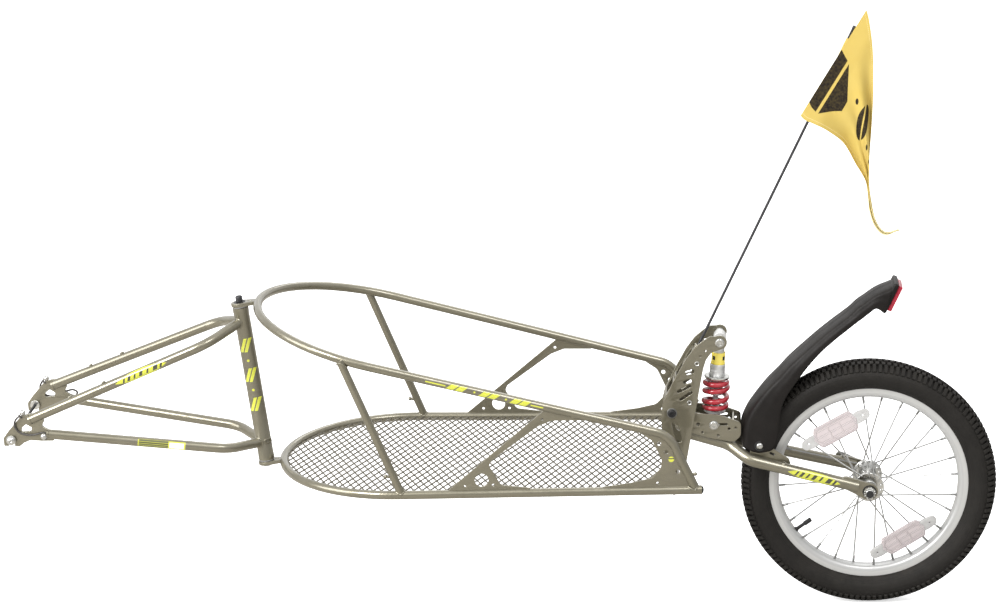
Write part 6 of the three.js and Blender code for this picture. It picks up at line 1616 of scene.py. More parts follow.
class TRAILER_OT_shock(bpy.types.Operator):
    """Turns the shock's body, collar, preload nut and shaft, with their eyes"""

    bl_idname = "trailer.shock"
    bl_label = "Shock"

    def execute(self, context):
        eye = lathe("eye", [(4.3, -11), (9.4, -11), (10, -10.4), (10, 10.4), (9.4, 11), (4.3, 11)],
                    SHOCK_ABOVE, (0, 1, 0), 44, closed=True)
        spacers = [lathe("spacer", [(4.3, 11), (6.2, 11), (6.6, 11.4), (6.6, 28.8), (6.2, 29.2),
                                    (4.3, 29.2)], SHOCK_ABOVE, (0, s, 0), 32, closed=True) for s in (1, -1)]
        body = [(0, 7), (9.3, 7), (9.3, 24.4), (9.3, 44.5), (11.8, 44.5), (12.5, 45.4), (12.5, 51),
                (12.2, 51.5), (12.2, 53.5), (12.5, 54), (12.5, 57)]
        for k in range(5):
            at = 57 + k * 2.4
            body += [(12.5, at), (12.0, at + 0.6), (12.0, at + 1.3), (12.5, at + 1.9)]
        body += [(12.5, 69.5), (11, 69.5), (11, 94.6), (10.4, 96), (4.9, 96), (4.9, 92), (8, 92),
                 (8, 26.5), (0, 26.5)]
        shell = lathe("shell", body, SHOCK_ABOVE, SHOCK_DOWN, 56)
        yoke_turn = facing(-Y_AXIS.cross(SHOCK_DOWN), Y_AXIS, -SHOCK_DOWN, SHOCK_ABOVE
                           + SHOCK_DOWN * 12 * MM)
        yoke = block("yoke", (15, 18, 15), yoke_turn, 2.4, 3)
        dress(merge_objects("shock_shell", [shell, eye, yoke, *spacers]), "shock_upper", "satin",
              "shock_body")
        ringed = lathe("shock_collar_ring", [(9.6, 25), (10.7, 25), (11.1, 25.4), (11.1, 42.4),
                                             (11.7, 42.6), (11.7, 43.8), (11.3, 44), (9.6, 44)],
                       SHOCK_ABOVE, SHOCK_DOWN, 48, closed=True)
        ahead = Vector((0, -1, 0))
        sideways = SHOCK_DOWN.cross(ahead)
        dress(ringed, "shock_upper", "collar", "shock_collar")
        # Painted shade: black blocks on the collar stand where its recesses are, for the shade in them,
        # instead of cut recesses
        bands = []
        for swing in (40, -50, 130, -140):
            way = (ahead * math.cos(math.radians(swing))
                   + sideways * math.sin(math.radians(swing))).normalized()
            at = SHOCK_ABOVE + SHOCK_DOWN * 33.5 * MM + way * 10.95 * MM
            turn = facing(way.cross(SHOCK_DOWN), SHOCK_DOWN, way, at)
            bands.append(block("inlay", (4.6, 6.4, 0.9), turn, 0.3, 1))
        dress(merge_objects("collar_inlays", bands), "shock_upper", "black")
        nut = lathe("preload_ring", [(13.1, 64), (19.6, 64), (20.5, 64.8), (20.5, 66.8), (19.6, 67.6),
                                     (19.0, 69), (13.1, 69)], SHOCK_ABOVE, SHOCK_DOWN, 48, closed=True)
        dress(nut, "preload", "steel", "preload_nut")
        shaft = [(0, 50), (7.6, 50), (7.6, 58), (4.5, 58), (4.5, 115), (6.6, 115.2), (6.6, 121.8),
                 (16.6, 121.8), (17.4, 122.4), (17.4, 124.6), (16.6, 125.2), (10.6, 125.8), (9.6, 128.5),
                 (9.0, 132), (0, 132)]
        stem = lathe("stem", shaft, SHOCK_ABOVE, SHOCK_DOWN, 48)
        foot_at = mm(SHOCK_FOOT[0], 0, SHOCK_FOOT[1])
        low_eye = lathe("eye", [(4.6, -11), (9.4, -11), (10, -10.4), (10, 10.4), (9.4, 11), (4.6, 11)],
                        foot_at, (0, 1, 0), 40, closed=True)
        spacers = [lathe("spacer", [(4.6, 11), (6.2, 11), (6.6, 11.4), (6.6, 25.1), (6.2, 25.5),
                                    (4.6, 25.5)], foot_at, (0, s, 0), 32, closed=True) for s in (1, -1)]
        dress(merge_objects("shock_stem", [stem, low_eye, *spacers]), "shock_rod", "satin", "shock_shaft")
        return {"FINISHED"}


class TRAILER_OT_spring(bpy.types.Operator):
    """Winds the coil spring, closed up at both ends, between its two seats"""

    bl_idname = "trailer.spring"
    bl_label = "Coil spring"

    def execute(self, context):
        curls, radius, thick = 3.5, 18.25, 4.25
        across = Vector((0, 1, 0))
        ahead = across.cross(-SHOCK_DOWN)
        points = []
        count = 150
        for i in range(count + 1):
            share = i / count
            eased = share - 0.45 * math.sin(math.tau * share) / math.tau
            depth = 69.5 + thick + eased * (121.5 - 69.5 - 2 * thick)
            angle = math.tau * curls * share
            points.append(SHOCK_ABOVE + (ahead * math.cos(angle) * radius - across * math.sin(angle) * radius
                                         + SHOCK_DOWN * depth) * MM)
        ends = [min(1, 0.62 + 0.38 * min(i, count - i) / 6) for i in range(count + 1)]
        coil = wire("coil_spring", points, (thick - 0.1) * MM, 6, ends)
        dress(coil, "shock_upper", "spring", "spring")
        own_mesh(coil)
        return {"FINISHED"}


# Swingarm


class TRAILER_OT_swing_box(bpy.types.Operator):
    """Cuts the swingarm's box: two side plates, the pivot sleeve and the bridge"""

    bl_idname = "trailer.swing_box"
    bl_label = "Swingarm box"

    def execute(self, context):
        outline = rounded(arc(*PIVOT, 15, 95, 250, 14) + [(1086.9, -20.6, 14), (1118, -30.5, 24),
                                                          (1140, -34.6, 20), (1159, -38, 10),
                                                          (1169.4, -28, 12), (1169.8, -6, 6),
                                                          (1136.2, 7, 30), (1098.7, 9.9, 24),
                                                          (1070.9, 26.6, 12)])
        holes = [ring(*SHOCK_FOOT, 4.4), ring(1101.5, -7.9, 3.5, 24), ring(1108.8, -21.1, 2.6, 20),
                 ring(1133.3, -26.9, 2.6, 20), ring(1151.1, -15.9, 2.6, 20), ring(1161.7, -14.3, 2.4, 20),
                 slot((1136.6, -8.4), (1147.4, -8.4), 2.4)]
        parts = [plate("cheek", outline, holes, 3, upright(0, side * 27.3, 0), 0.5)
                 for _label, side in SIDES]
        sleeve = lathe("sleeve", [(6.3, -28.8), (9.6, -28.8), (10, -28.2), (10, 28.2), (9.6, 28.8),
                                  (6.3, 28.8)], mm(PIVOT[0], 0, PIVOT[1]), (0, 1, 0), 40, closed=True)
        bridge = block("bridge", (3, 54.6, 30), moved(1157.75, 0, -17.44), 0.6)
        dress(merge_objects("swing_box_shell", [*parts, sleeve, bridge]), "swingarm", "paint", "swing_box")
        return {"FINISHED"}


class TRAILER_OT_swing_legs(bpy.types.Operator):
    """Bends the swingarm's legs with their slotted ends and fender tabs"""

    bl_idname = "trailer.swing_legs"
    bl_label = "Swingarm legs"

    def execute(self, context):
        radius = sizes().leg_radius
        for label, side in SIDES:
            tube = bent_tube("leg_tube_" + label, [((PIVOT[0] + 18, side * 16, PIVOT[1] - 36.5), 0),
                                                   ((1149.753, side * 16, PIVOT[1] - 58.5), 34),
                                                   ((LEG_KNEE[0], side * 43.5, LEG_KNEE[1]), 34),
                                                   ((LEG_END[0], side * 53, LEG_END[1]), 0)], radius)
            way = Vector((168, side * 9.5, -42)).normalized()
            end = Vector((LEG_END[0], side * 53, LEG_END[1]))
            nose = rod("nose", end - way * 2, end + way * 5, radius * 0.995, 28, 6 * MM)
            a, b = Vector((1336.35, -100.14)), Vector(AXLE)
            lean = math.atan2(b.y - a.y, b.x - a.x)
            gap = (b - a).length
            swing = math.acos((13 - 9.5) / gap)
            outline = swept(b, 13, lean - (math.pi - swing), (math.pi - swing) * 2, 26)
            keep = [p for p in outline if not (abs(p.x - b.x) < 6.4 and p.y < b.y)]
            mouth = [Vector((b.x - 5.3, b.y - 12.4)), *swept(b, 5.3, math.pi, -math.pi, 14),
                     Vector((b.x + 5.3, b.y - 12.4))]
            front = [p for p in keep if p.x < b.x - 6 and p.y < b.y + 2 or (p.x < b.x - 6.4 and p.y < b.y)]
            rest = [p for p in keep if p not in front]
            tail = swept(a, 9.5, lean + (math.pi - swing), 2 * swing, 12)
            outline = front + mouth + rest + tail
            claw = plate("claw", outline, [], 6, upright(0, side * 53, 0), 0.6)
            tab_line = rounded([(1184.3, -73), (1184.3, -54.4, 4), (1191.8, -39.1, 6), (1199.7, -34.3, 6),
                                (1207.6, -39.1, 6), (1226.1, -52.7, 8), (1246, -66, 6), (1250, -82),
                                (1228.3, -76)])
            tab = plate("tab", tab_line, [ring(*FENDER_BOLT, 3.4, 20), slot((1217, -56), (1222, -58.6),
                                                                            2.3)], 3.4,
                        upright(0, side * 33, 0), 0.5)
            boss = lathe("boss", [(0, -1), (4.2, -1), (4.2, 1.3), (3.4, 2.1), (1.8, 2.1), (1.8, 0.4),
                                  (0, 0.4)], mm(1238, side * (46.6 + 1.4), -69.4),
                         Vector((0.05, side * 0.25, 0.95)), 22)
            body = merge_objects("leg_tube_" + label, [tube, nose, claw, tab, boss])
            dress(body, "swingarm", "paint_leg", "swing_leg_" + label)
        return {"FINISHED"}


class TRAILER_OT_fender(bpy.types.Operator):
    """Forms the fender's channel with its crease and tail, its bolts and the red tail reflector"""

    bl_idname = "trailer.fender"
    bl_label = "Fender"

    def execute(self, context):
        # Stations along the fender: point on the spine, point on the lower edge, half width, all in mm
        stations = [((1171.5, -47.0), (1196.0, -55.0), 36.6), ((1170.2, -29.0), (1222.0, -49.0), 37.4),
                    ((1172.4, -8.0), (1230.0, -20.0), 37.9), ((1180.0, 11.4), (1231.8, 2.0), 38),
                    ((1191.8, 28.2), (1235.0, 20.0), 38), ((1203.0, 42.6), (1241.5, 36.5), 38),
                    ((1214.8, 56.2), (1250.5, 51.5), 38), ((1229.5, 70.4), (1262.0, 67.5), 37.8),
                    ((1244.0, 86.6), (1274.3, 84.8), 37.3), ((1259.8, 101.4), (1288.8, 102.0), 36.5),
                    ((1274.8, 114.8), (1302.0, 116.0), 35.8), ((1288.6, 127.4), (1314.0, 126.4), 35),
                    ((1302.4, 138.8), (1325.0, 136.0), 34.5), ((1317.6, 151.2), (1336.0, 144.6), 34),
                    ((1333.2, 163.0), (1347.0, 153.4), 33.4), ((1345.2, 172.6), (1356.0, 160.4), 32.8),
                    ((1351.4, 179.2), (1362.5, 165.2), 32.4), ((1357.9, 185.2), (1368.0, 169.4), 32),
                    ((1367.6, 191.6), (1375.0, 174.8), 31.6), ((1381.9, 202.2), (1384.0, 181.6), 31.2),
                    ((1394.8, 209.6), (1390.0, 180.0), 31), ((1403.6, 213.4), (1395.0, 176.0), 31),
                    ((1413.5, 218.0), (1399.0, 172.6), 30.5)]
        spine = smooth_path([(s[0][0], 0, s[0][1]) for s in stations], 3)
        hem = smooth_path([(s[1][0], 0, s[1][1]) for s in stations], 3)
        widths = smooth_path([(s[2], 0, 0) for s in stations], 3)
        rows, across = len(spine) - 1, 24
        fresh()
        bpy.ops.mesh.primitive_grid_add(x_subdivisions=rows, y_subdivisions=across, size=1)
        shell = settle("fender_shell")
        mesh = shell.data
        for vertex in mesh.vertices:
            u, v = round((vertex.co.x + 0.5) * rows), round((vertex.co.y + 0.5) * across) / across * 2 - 1
            top, low, half = spine[u], hem[u], widths[u].x
            away = (top - low)
            lift = away.length
            side = abs(v)
            if side < 0.55:  # over the crown, with a ridge down the middle
                share = side / 0.55
                y = half * 0.9 * math.sin(share * math.pi / 2 * 0.96)
                drop = lift * 0.2 * (1 - math.cos(share * math.pi / 2)) - (1.2 if side < 0.06 else 0)
            else:
                share = (side - 0.55) / 0.45
                y = half * (0.9 + 0.1 * min(1, share * 3))
                crease = 1.6 * math.exp(-((share - 0.22) / 0.1) ** 2)
                y -= crease
                drop = lift * (0.2 + 0.8 * share)
            spot_at = top - away.normalized() * drop
            vertex.co = Vector((spot_at.x, math.copysign(y, v) if v else 0, spot_at.z)) * MM
        only(shell)
        edit_all()
        bpy.ops.mesh.normals_make_consistent(inside=False)
        bpy.ops.object.mode_set(mode="OBJECT")
        thick = shell.modifiers.new("wall", "SOLIDIFY")
        thick.thickness, thick.offset = 2.6 * MM, 0
        bpy.ops.object.modifier_apply(modifier="wall")
        soft = shell.modifiers.new("soft", "SUBSURF")
        soft.levels = soft.render_levels = 1
        bpy.ops.object.modifier_apply(modifier="soft")
        shade_up_to(45)
        high, low = Vector(TAIL_TOP), Vector(TAIL_FOOT)
        middle = (high + low) / 2
        lean = math.atan2(high.x - low.x, high.y - low.y)
        turn = moved(middle.x, 0, middle.y) @ Matrix.Rotation(lean, 4, "Y")

        housing = block("housing", (9, 56, 51), turn @ moved(-4.6, 0, -2.0), 3.0, 4)
        cut_away(housing, block("pocket", (5, 48, 45), turn @ moved(0.6, 0, -1), 1.0, 2))
        only(housing)
        shade_up_to(35)
        dress(merge_objects("fender_shell", [shell, housing]), "swingarm", "fender", "fender")
        lens = block("tail_lens", (7, 45, 44), turn @ moved(3.6, 0, -0.8), 1.8, 4)
        dress(lens, "swingarm", "lens_red", "tail_reflector")
        for label, side in SIDES:
            profile = [(0, 38.3), (5.5, 38.3), (5.5, 39.1), (4.9, 40.2), (3.4, 41.1), (2.2, 41.3),
                       (2.0, 39.6), (0, 39.6)]
            head = lathe("head", profile, mm(FENDER_BOLT[0], 0, FENDER_BOLT[1]), (0, side, 0), 28)
            shank = rod("shank", (FENDER_BOLT[0], side * 27, FENDER_BOLT[1]), (FENDER_BOLT[0], side * 38.6,
                            FENDER_BOLT[1]), 3 * MM, 20)
            washer = lathe("washer", [(3.4, 37.9), (8.6, 37.9), (8.6, 38.5), (3.4, 38.5)],
                           mm(FENDER_BOLT[0], 0, FENDER_BOLT[1]), (0, side, 0), 32, closed=True)
            washer.data.materials.clear()
            nut_line = ring(0, 0, 5.5, 6)
            nut = plate("nut", nut_line, [], 2.8, upright(FENDER_BOLT[0], side * 29.4, FENDER_BOLT[1]), 0.3)
            dress(merge_objects("fender_screw_" + label, [head, shank, nut]), "swingarm", "steel",
                  "fender_bolt_" + label)
            dress(washer, "swingarm", "black")
            washer.name = washer.data.name = "fender_washer_" + label
        return {"FINISHED"}


# Wheel


WHEEL_AT = mm(AXLE[0], 0, AXLE[1])


def wheel_point(radius, y, degrees):
    """A point of the wheel, in metres."""
    angle = math.radians(degrees)
    return WHEEL_AT + mm(radius * math.cos(angle), y, radius * math.sin(angle))


class TRAILER_OT_tyre(bpy.types.Operator):
    """Turns the tyre's carcass and sets the rows of tread blocks on it"""

    bl_idname = "trailer.tyre"
    bl_label = "Tyre"

    def execute(self, context):
        half = [(159.4, 13.4), (161, 16.2), (163.5, 19.0), (167, 21.8), (172, 24.6), (177, 26.1),
                (182, 26.4), (186.5, 25.6), (190, 23.6), (193.5, 20.4), (196.6, 15.6), (198.8, 10.4),
                (200.2, 5.2)]
        inner = [(195.4, 0), (193.6, 8), (188, 16.5), (180, 21.4), (171, 19.6), (165, 15.4), (160.6, 11.4)]
        outer = [(r, -y) for r, y in half] + [(200.6, 0)] + [(r, y) for r, y in reversed(half)]
        hollow = [(r, y) for r, y in reversed(inner)] + [(r, -y) for r, y in inner[1:]]
        carcass = lathe("tyre_carcass", outer + hollow, WHEEL_AT, Y_AXIS, 160, 50, closed=True)
        count = sizes().tread_blocks
        pitch = 360 / count
        rows = [  # y, radius of the block's middle, size along the wheel, across, high, tilt, how far round
            (0, 202.5, 6.4, 8, 4.8, 0, 0),
            (9.6, 200.9, 6.4, 8, 4.8, 14, 0.5), (-9.6, 200.9, 6.4, 8, 4.8, -14, 0.5),
            (19.2, 195.2, 6.0, 14, 4.8, 45, 0), (-19.2, 195.2, 6.0, 14, 4.8, -45, 0)]
        blocks = []
        for y, radius, long, wide, high, tilt, shift in rows:
            angle = math.radians(shift * pitch)
            turn = (Matrix.Translation(WHEEL_AT) @ Matrix.Rotation(-angle, 4, "Y") @ moved(radius, y, 0)
                    @ Matrix.Rotation(math.radians(90), 4, "Y") @ Matrix.Rotation(math.radians(-tilt), 4,
                        "X"))
            stud = block("stud", (long, wide, high), turn, 0.7, 1)
            blocks.append(round_again(stud, count, WHEEL_AT, Y_AXIS))
        dress(merge_objects("tyre_carcass", [carcass, *blocks]), "wheel", "rubber", "tyre")
        return {"FINISHED"}


class TRAILER_OT_rim(bpy.types.Operator):
    """Turns the box section rim and the valve"""

    bl_idname = "trailer.rim"
    bl_label = "Rim and valve"

    def execute(self, context):
        half = [(143.5, 0), (143.5, 5.4), (144.3, 8.6), (146.4, 11.4), (149.2, 12.8), (151.8, 13.2),
                (159.4, 13.9), (160.6, 13.7), (160.9, 13), (160.4, 12.2), (158.6, 11.6), (153.4, 11.4),
                (151.6, 9.6), (149.8, 6.0), (149.2, 0)]
        profile = half + [(r, -y) for r, y in reversed(half[1:-1])]
        hoop = lathe("rim_hoop", profile, WHEEL_AT, Y_AXIS, 160, 40, closed=True)
        dress(hoop, "wheel", "rim", "rim")
        out = (wheel_point(1, 0, 215.5) - WHEEL_AT).normalized()
        stem = lathe("valve_stem", [(0, 144.5), (3.6, 144.5), (4.4, 143.6), (4.2, 141.6), (2.9, 139.5),
                                    (2.8, 127), (3.5, 126.6), (3.8, 126), (3.8, 114.8), (3.2, 113.6),
                                    (2.4, 113.2), (0, 113.2)], WHEEL_AT, out, 28)
        dress(stem, "wheel", "black", "valve")
        return {"FINISHED"}


class TRAILER_OT_hub(bpy.types.Operator):
    """Turns the hub shell, the axle with its cones and locknuts, the skewer and its lever"""

    bl_idname = "trailer.hub"
    bl_label = "Hub and skewer"

    def execute(self, context):
        half = [(6.5, 38), (11.2, 38), (12, 37.2), (12, 34), (23.4, 34), (24, 33.4), (24, 31.6),
                (23.4, 31), (15, 28.4), (12.4, 22), (11.6, 15), (11.4, 0)]
        profile = half + [(r, -y) for r, y in reversed(half[:-1])]
        shell = lathe("hub_turned", profile, WHEEL_AT, Y_AXIS, 72, 35, closed=True)
        holes = []
        for side in (1, -1):
            cut = lathe("hole", [(0, -3), (1.5, -3), (1.5, 3), (0, 3)], wheel_point(18.6, side * 32.5, 10),
                        Y_AXIS, 14)
            holes.append(round_again(cut, 14, WHEEL_AT, Y_AXIS))
        cut_away(shell, merge_objects("holes", holes))
        only(shell)
        shade_up_to(35)
        dress(shell, "wheel", "steel", "hub_shell")
        parts = []
        for side in (1, -1):
            parts.append(lathe("cone", [(2.9, 55.7), (5, 55.7), (5, 29.3), (6.2, 29.3), (6.2, 38.3),
                                        (7.4, 38.6), (7.8, 39.4), (7.8, 43), (7, 43.6), (2.9, 43.6)],
                               WHEEL_AT, (0, side, 0), 32, closed=True))
            line = ring(0, 0, 8.6, 6)
            parts.append(plate("locknut", line, [ring(0, 0, 4.8, 20)], 5.2, upright(AXLE[0], side * 46.9,
                                   AXLE[1]), 0.5))
        parts.append(lathe("tube", [(2.9, -30), (5, -30), (5, 30), (2.9, 30)], WHEEL_AT, Y_AXIS, 24,
                           closed=True))
        dress(merge_objects("axle_turned", parts), "swingarm", "satin", "wheel_axle")
        nut = lathe("nut", [(0, 67.3), (0, 64.6), (2.8, 64.6), (3.2, 67.1), (5.2, 67.3), (6.4, 66.6),
                            (8.2, 63), (9.5, 58.4), (9.5, 56.9), (9.1, 56.3), (2.5, 56.3), (2.5, 50),
                            (0, 50)], WHEEL_AT, (0, -1, 0), 36)
        rib = block("rib", (2.2, 8, 2.4), Matrix.Translation(wheel_point(8.6, -61.6, 0)), 0.5, 1)
        grips = round_again(rib, 12, WHEEL_AT, Y_AXIS)
        plugs = [lathe("plug", [(0, 66.8), (6, 66.8), (6.1, 67.6), (5.4, 68.2), (0, 68.2)], WHEEL_AT,
                       (0, -1, 0), 32)]
        plugs += [lathe("washer", [(5.2, 56.05), (11.2, 56.05), (11.2, 56.25), (5.2, 56.25)], WHEEL_AT,
                        (0, side, 0), 36, closed=True) for _label, side in SIDES]
        dress(merge_objects("skewer_plugs", plugs), "swingarm", "black")
        barrel = lathe("barrel", [(0, 66.3), (7.9, 66.3), (9, 65.2), (9, 57.2), (8.2, 56.3), (2.5, 56.3),
                                  (2.5, 50), (0, 50)], WHEEL_AT, (0, 1, 0), 36)
        bar = rod("bar", (AXLE[0], -57, AXLE[1]), (AXLE[0], 57, AXLE[1]), 2.5 * MM, 20)
        dress(merge_objects("skewer_turned", [nut, barrel, bar, grips]), "swingarm", "steel",
              "wheel_skewer")
        angle = math.radians(157.7)
        along = Vector((math.cos(angle), 0, math.sin(angle)))
        across = Vector((-math.sin(angle), 0, math.cos(angle)))
        middle = WHEEL_AT + mm(0, 73.1, 0)
        cam = lathe("cam", [(0, -6), (5.9, -6), (6.5, -5.4), (6.5, 5.4), (5.9, 6), (0, 6)], middle, across,
                    32)
        turn = facing(along, across, along.cross(across), middle)
        blade_line = rounded([(0, -4.6, 2), (18, -4.2, 10), (40, -6, 8), (50.6, -5.4, 5), (52, 0, 5),
                              (50.6, 5.4, 5), (40, 6, 8), (18, 4.2, 10), (0, 4.6, 2)])
        blade = plate("blade", blade_line, [], 5, turn, 1.6)
        dress(merge_objects("lever_forged", [cam, blade]), "lever", "dull", "skewer_lever")
        return {"FINISHED"}


class TRAILER_OT_spokes(bpy.types.Operator):
    """Laces the 28 spokes with their bent heads and nipples"""

    bl_idname = "trailer.spokes"
    bl_label = "Spokes"

    def execute(self, context):
        pitch = 360 / 14
        for label, side in SIDES:
            first = 215.5 + pitch / 4 + (pitch / 2 if side > 0 else 0)
            wires = []
            for lead, start in ((1, 0), (-1, 1)):
                hub_angle = first + start * pitch
                rim_angle = hub_angle + lead * pitch
                outside = 36.1 if lead > 0 else 34.9
                root = wheel_point(21.6, side * outside, hub_angle)
                end = wheel_point(146, side * 4, rim_angle)
                way = (end - root).normalized()
                through = wheel_point(21.4, side * 30.2, hub_angle)
                path = [through, wheel_point(21.4, side * 33.6, hub_angle), root + way * 1.2 * MM, root
                        + way * 6 * MM, root.lerp(end, 0.5), end - way * 11 * MM]
                wires.append(wire("spoke", path, 1.2 * MM, 2))
                head = lathe("nipple", [(0, 0), (1.5, 0), (1.9, 1.4), (1.9, 11.6), (1.5, 12.6), (0, 12.6)],
                             end, -way, 10)
                wires.append(head)
                button = lathe("button", [(0, -1.2), (1.4, -1.2), (1.9, -0.3), (1.9, 0.2), (0, 0.2)],
                               through, (0, side, 0), 12)
                wires.append(button)
            laced = round_again(merge_objects("spoke_set_" + label, wires), 7, WHEEL_AT, Y_AXIS)
            shade_up_to(40)
            dress(laced, "wheel", "wire", "spokes_" + label)
        return {"FINISHED"}


class TRAILER_OT_reflectors(bpy.types.Operator):
    """Moulds the two clear spoke reflectors with their end clips"""

    bl_idname = "trailer.reflectors"
    bl_label = "Spoke reflectors"

    def execute(self, context):
        slope = math.atan2(35.5 - 4, 143.5 - 22.8)
        for name, degrees in (("upper", 119.4), ("lower", 301.5)):
            angle = math.radians(degrees)
            radial = Vector((math.cos(angle), 0, math.sin(angle)))
            tangent = Vector((-math.sin(angle), 0, math.cos(angle)))
            up = radial * math.cos(slope) + Vector((0, math.sin(slope), 0))
            out = radial * math.sin(slope) - Vector((0, math.cos(slope), 0))
            offset = 35.5 - (105 - 22.8) * math.tan(slope)
            centre = WHEEL_AT + (radial * 105 + Vector((0, -offset, 0)) + out * 4.3) * MM
            turn = facing(tangent, up, out, centre)
            if turn.determinant() < 0:
                turn = facing(-tangent, up, out, centre)
            body_line = rounded([(-40, 0.5, 3), (-31, 17.4, 5), (31, 17.4, 5), (40, 0.5, 3),
                                 (31, -15.8, 5), (-31, -15.8, 5)])
            body = plate("lens", body_line, [], 4.6, turn, 0.8)
            rims = [plate("rim", rounded([(-38.4, 0.5, 3), (-30.4, 16.2, 5), (30.4, 16.2, 5),
                                          (38.4, 0.5, 3), (30.4, -14.6, 5), (-30.4, -14.6, 5)]),
                          [rounded([(-35, 0.5, 3), (-28.6, 13.6, 4), (28.6, 13.6, 4), (35, 0.5, 3),
                                    (28.6, -12, 4), (-28.6, -12, 4)])], 1.2, turn @ moved(0, 0, 2.7), 0.3)]
            clips = []
            for s in (1, -1):
                clips.append(plate("clip", rounded([(s * 34, -8, 2), (s * 46, -8.4, 3), (s * 58, -6, 4),
                                                    (s * 60.8, 1, 4), (s * 57, 7.6, 4), (s * 45, 9.6, 3),
                                                    (s * 34, 9, 2)][::s]), [ring(s * 49, 0.4, 2.2, 18)],
                                   5.4, turn, 0.8))
            bars = [block("bar", (2.2, 20, 1.2), turn @ moved(x, 0.6, 2.6), 0.3, 1) for x in (-10, 10)]
            dress(merge_objects("spoke_clips_" + name, clips), "wheel", "clip")
            whole = merge_objects("spoke_lens_" + name, [body, *rims, *bars])
            dress(whole, "wheel", "lens_clear", "spoke_reflector_" + name)
        return {"FINISHED"}


# Flag


POLE_WAY = Vector((math.sin(POLE_LEAN), 0, math.cos(POLE_LEAN)))
FLAG_FOOT = Vector((1275.15, 0, 468.2))
FLAG_FLAT = (0.33, 0.19)
UPPER_EDGE = [(1371.8, 655.7), (1375.5, 641.2), (1379.7, 612.2), (1382.1, 583.1), (1382.6, 549.1),
              (1382.1, 515), (1380.1, 475.8), (1377.7, 441.4), (1375.8, 411.9), (1375.3, 389.6),
              (1376.7, 367.3), (1379.6, 347.3), (1383.4, 327.3), (1389.2, 312.3), (1397.8, 301.1),
              (1409.8, 299.4), (1422.8, 304.2)]
LOWER_EDGE = [(1269.1, 490.1), (1274.8, 483.6), (1284.3, 479), (1302.4, 469.8), (1321.4, 456.2),
              (1335.7, 443.2), (1345.2, 428.2), (1354.7, 409.8), (1365.2, 392.3), (1371.5, 378.2),
              (1374.2, 357.3), (1376.6, 332.4), (1383.8, 309.8), (1395.8, 295.6), (1407.4, 295),
              (1414.6, 298.9), (1422.8, 301.2)]


class TRAILER_OT_flag(bpy.types.Operator):
    """Stands the pole with its tip cap and hangs the pennant in folds from its sleeve"""

    bl_idname = "trailer.flag"
    bl_label = "Pole and flag"

    def execute(self, context):
        seat = mm(POLE_SEAT[0], 0, POLE_SEAT[1])
        pole = lathe("pole_drawn", [(0, 0), (2.4, 0), (2.6, 0.4), (2.6, 38), (2.3, 42), (2.2, 604),
                                    (2.6, 604.6), (2.6, 609.6), (2, 611), (0, 611)], seat, POLE_WAY, 24)
        dress(pole, "flag", "fibre", "flag_pole")
        size = sizes()
        rows, across = size.flag_rows, 28
        upper = smooth_path([(x, 0, z) for x, z in UPPER_EDGE], 12)
        lower = smooth_path([(x, 0, z) for x, z in LOWER_EDGE], 12)
        fresh()
        bpy.ops.mesh.primitive_grid_add(x_subdivisions=rows, y_subdivisions=across, size=1)
        sheet = settle("flag_pennant")
        mesh = sheet.data

        def on(path, share):
            """The point at a share of the path's length."""
            steps = [(b - a).length for a, b in zip(path, path[1:])]
            left = share * sum(steps)
            for start, end, step in zip(path, path[1:], steps):
                if left <= step:
                    break
                left -= step
            return start.lerp(end, min(1, left / step))

        flat = {}
        along = [(on(upper, k / rows), on(lower, k / rows)) for k in range(rows + 1)]
        for vertex in mesh.vertices:
            v, u = vertex.co.x + 0.5, vertex.co.y + 0.5
            above, below = along[round(v * rows)]
            at = above.lerp(below, u)
            near = min(1, max(0, 1.5 - v * 5))
            fold = 9.5 * math.sin(math.tau * (1.15 * u + 0.35 * v)
                                  + 0.9) + 5 * math.sin(math.tau * (2.6 * u - 0.5 * v))
            fold *= min(1, max(0, v - 0.12) * 5) * min(1, 0.35 + u * 2.5) * (1
                - 0.62 * max(0, (v - 0.5) / 0.5))
            depth = -5.0 * near + fold + 1.6 * math.sin(11 * u + 12 * v) * (1 - near)
            vertex.co = Vector((at.x, depth, at.z)) * MM
            narrow = 1 - v
            flat[vertex.index] = (v * FLAG_FLAT[0], 0.1 + (u - 0.5) * FLAG_FLAT[1] * narrow,
                                  min(u, 1 - u) * FLAG_FLAT[1] * narrow)
        layer = mesh.uv_layers.new(name="cloth")
        for loop in mesh.loops:
            layer.data[loop.index].uv = flat[loop.vertex_index][:2]
        hem = mesh.attributes.new("hem", "FLOAT", "POINT")
        hem.data.foreach_set("value", [flat[i][2] for i in range(len(mesh.vertices))])
        only(sheet)
        thick = sheet.modifiers.new("cloth", "SOLIDIFY")
        thick.thickness, thick.offset = 0.7 * MM, 0
        bpy.ops.object.modifier_apply(modifier="cloth")
        shade_up_to(60)
        dress(sheet, "flag", "cloth", "flag")
        sleeve = lathe("flag_sleeve", [(2.4, 24), (2.9, 24), (3.2, 25), (3.2, 60), (3.1, 110), (3.2, 150),
                                       (3.0, 158), (2.4, 158)], FLAG_FOOT * MM, POLE_WAY, 28, closed=True)
        mesh = sleeve.data
        layer = mesh.uv_layers.new(name="cloth")
        for loop in mesh.loops:
            rise = (mesh.vertices[loop.vertex_index].co - FLAG_FOOT * MM).dot(POLE_WAY)
            layer.data[loop.index].uv = (0.0008, 0.2 - rise)
        hem = mesh.attributes.new("hem", "FLOAT", "POINT")
        hem.data.foreach_set("value", [0.03] * len(mesh.vertices))
        dress(sleeve, "flag", "cloth")
        return {"FINISHED"}


# Panel and registration


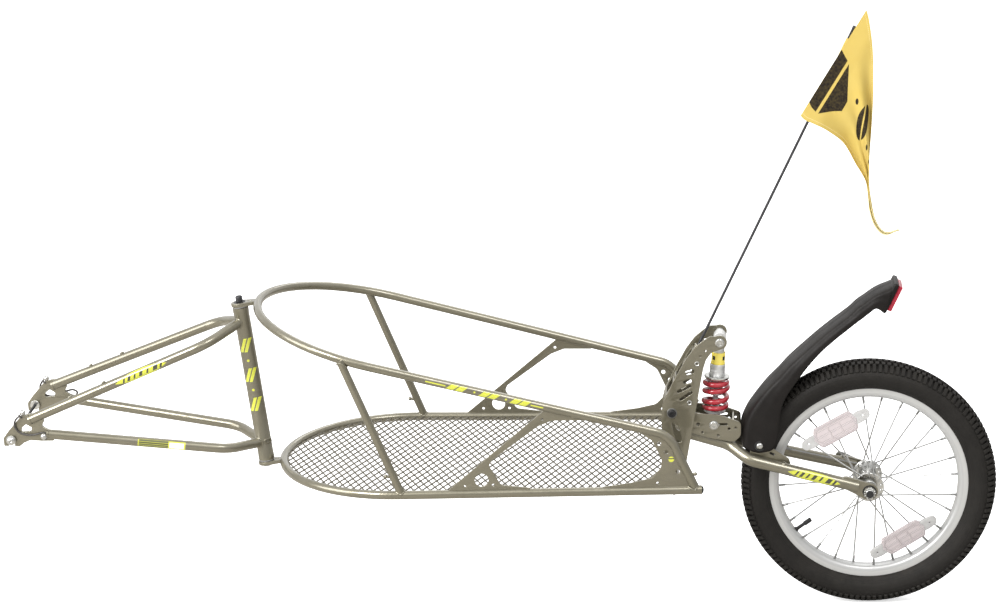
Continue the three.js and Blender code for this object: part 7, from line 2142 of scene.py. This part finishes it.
class TRAILER_PT_panel(bpy.types.Panel):
    """Lists the trailer's pieces, sizes and colours"""

    bl_label = "Trailer"
    bl_idname = "TRAILER_PT_panel"
    bl_space_type = "VIEW_3D"
    bl_region_type = "UI"
    bl_category = "Trailer"

    def draw(self, context):
        layout = self.layout
        for operator in OPERATORS:
            layout.operator(operator.bl_idname)
        for group in (context.scene.trailer_sizes, context.scene.trailer_colours,
                      context.scene.trailer_stage):
            box = layout.box()
            for key in group.__annotations__:
                box.prop(group, key)


OPERATORS = (
    TRAILER_OT_finishes, TRAILER_OT_stage, TRAILER_OT_lanyards, TRAILER_OT_head_tube, TRAILER_OT_fork_arms,
    TRAILER_OT_dropouts, TRAILER_OT_hitch_axle, TRAILER_OT_hoops, TRAILER_OT_struts, TRAILER_OT_gussets,
    TRAILER_OT_net, TRAILER_OT_head_brackets, TRAILER_OT_tower, TRAILER_OT_bolts, TRAILER_OT_shock,
    TRAILER_OT_spring, TRAILER_OT_swing_box, TRAILER_OT_swing_legs, TRAILER_OT_fender, TRAILER_OT_tyre,
    TRAILER_OT_rim, TRAILER_OT_hub, TRAILER_OT_spokes, TRAILER_OT_reflectors, TRAILER_OT_flag,
)
CLASSES = (TrailerSizes, TrailerColours, TrailerStage, *OPERATORS, TRAILER_PT_panel)


def register():
    for kind in CLASSES:
        bpy.utils.register_class(kind)
    bpy.types.Scene.trailer_sizes = bpy.props.PointerProperty(type=TrailerSizes)
    bpy.types.Scene.trailer_colours = bpy.props.PointerProperty(type=TrailerColours)
    bpy.types.Scene.trailer_stage = bpy.props.PointerProperty(type=TrailerStage)


def unregister():
    del bpy.types.Scene.trailer_stage
    del bpy.types.Scene.trailer_colours
    del bpy.types.Scene.trailer_sizes
    for kind in reversed(CLASSES):
        bpy.utils.unregister_class(kind)


def main():
    """Builds the whole trailer."""
    register()
    for operator in OPERATORS:
        module, name = operator.bl_idname.split(".")
        result = getattr(getattr(bpy.ops, module), name)()
        if "FINISHED" not in result:
            raise RuntimeError(operator.bl_idname + " did not finish")
    fresh()


if __name__ == "__main__":
    main()
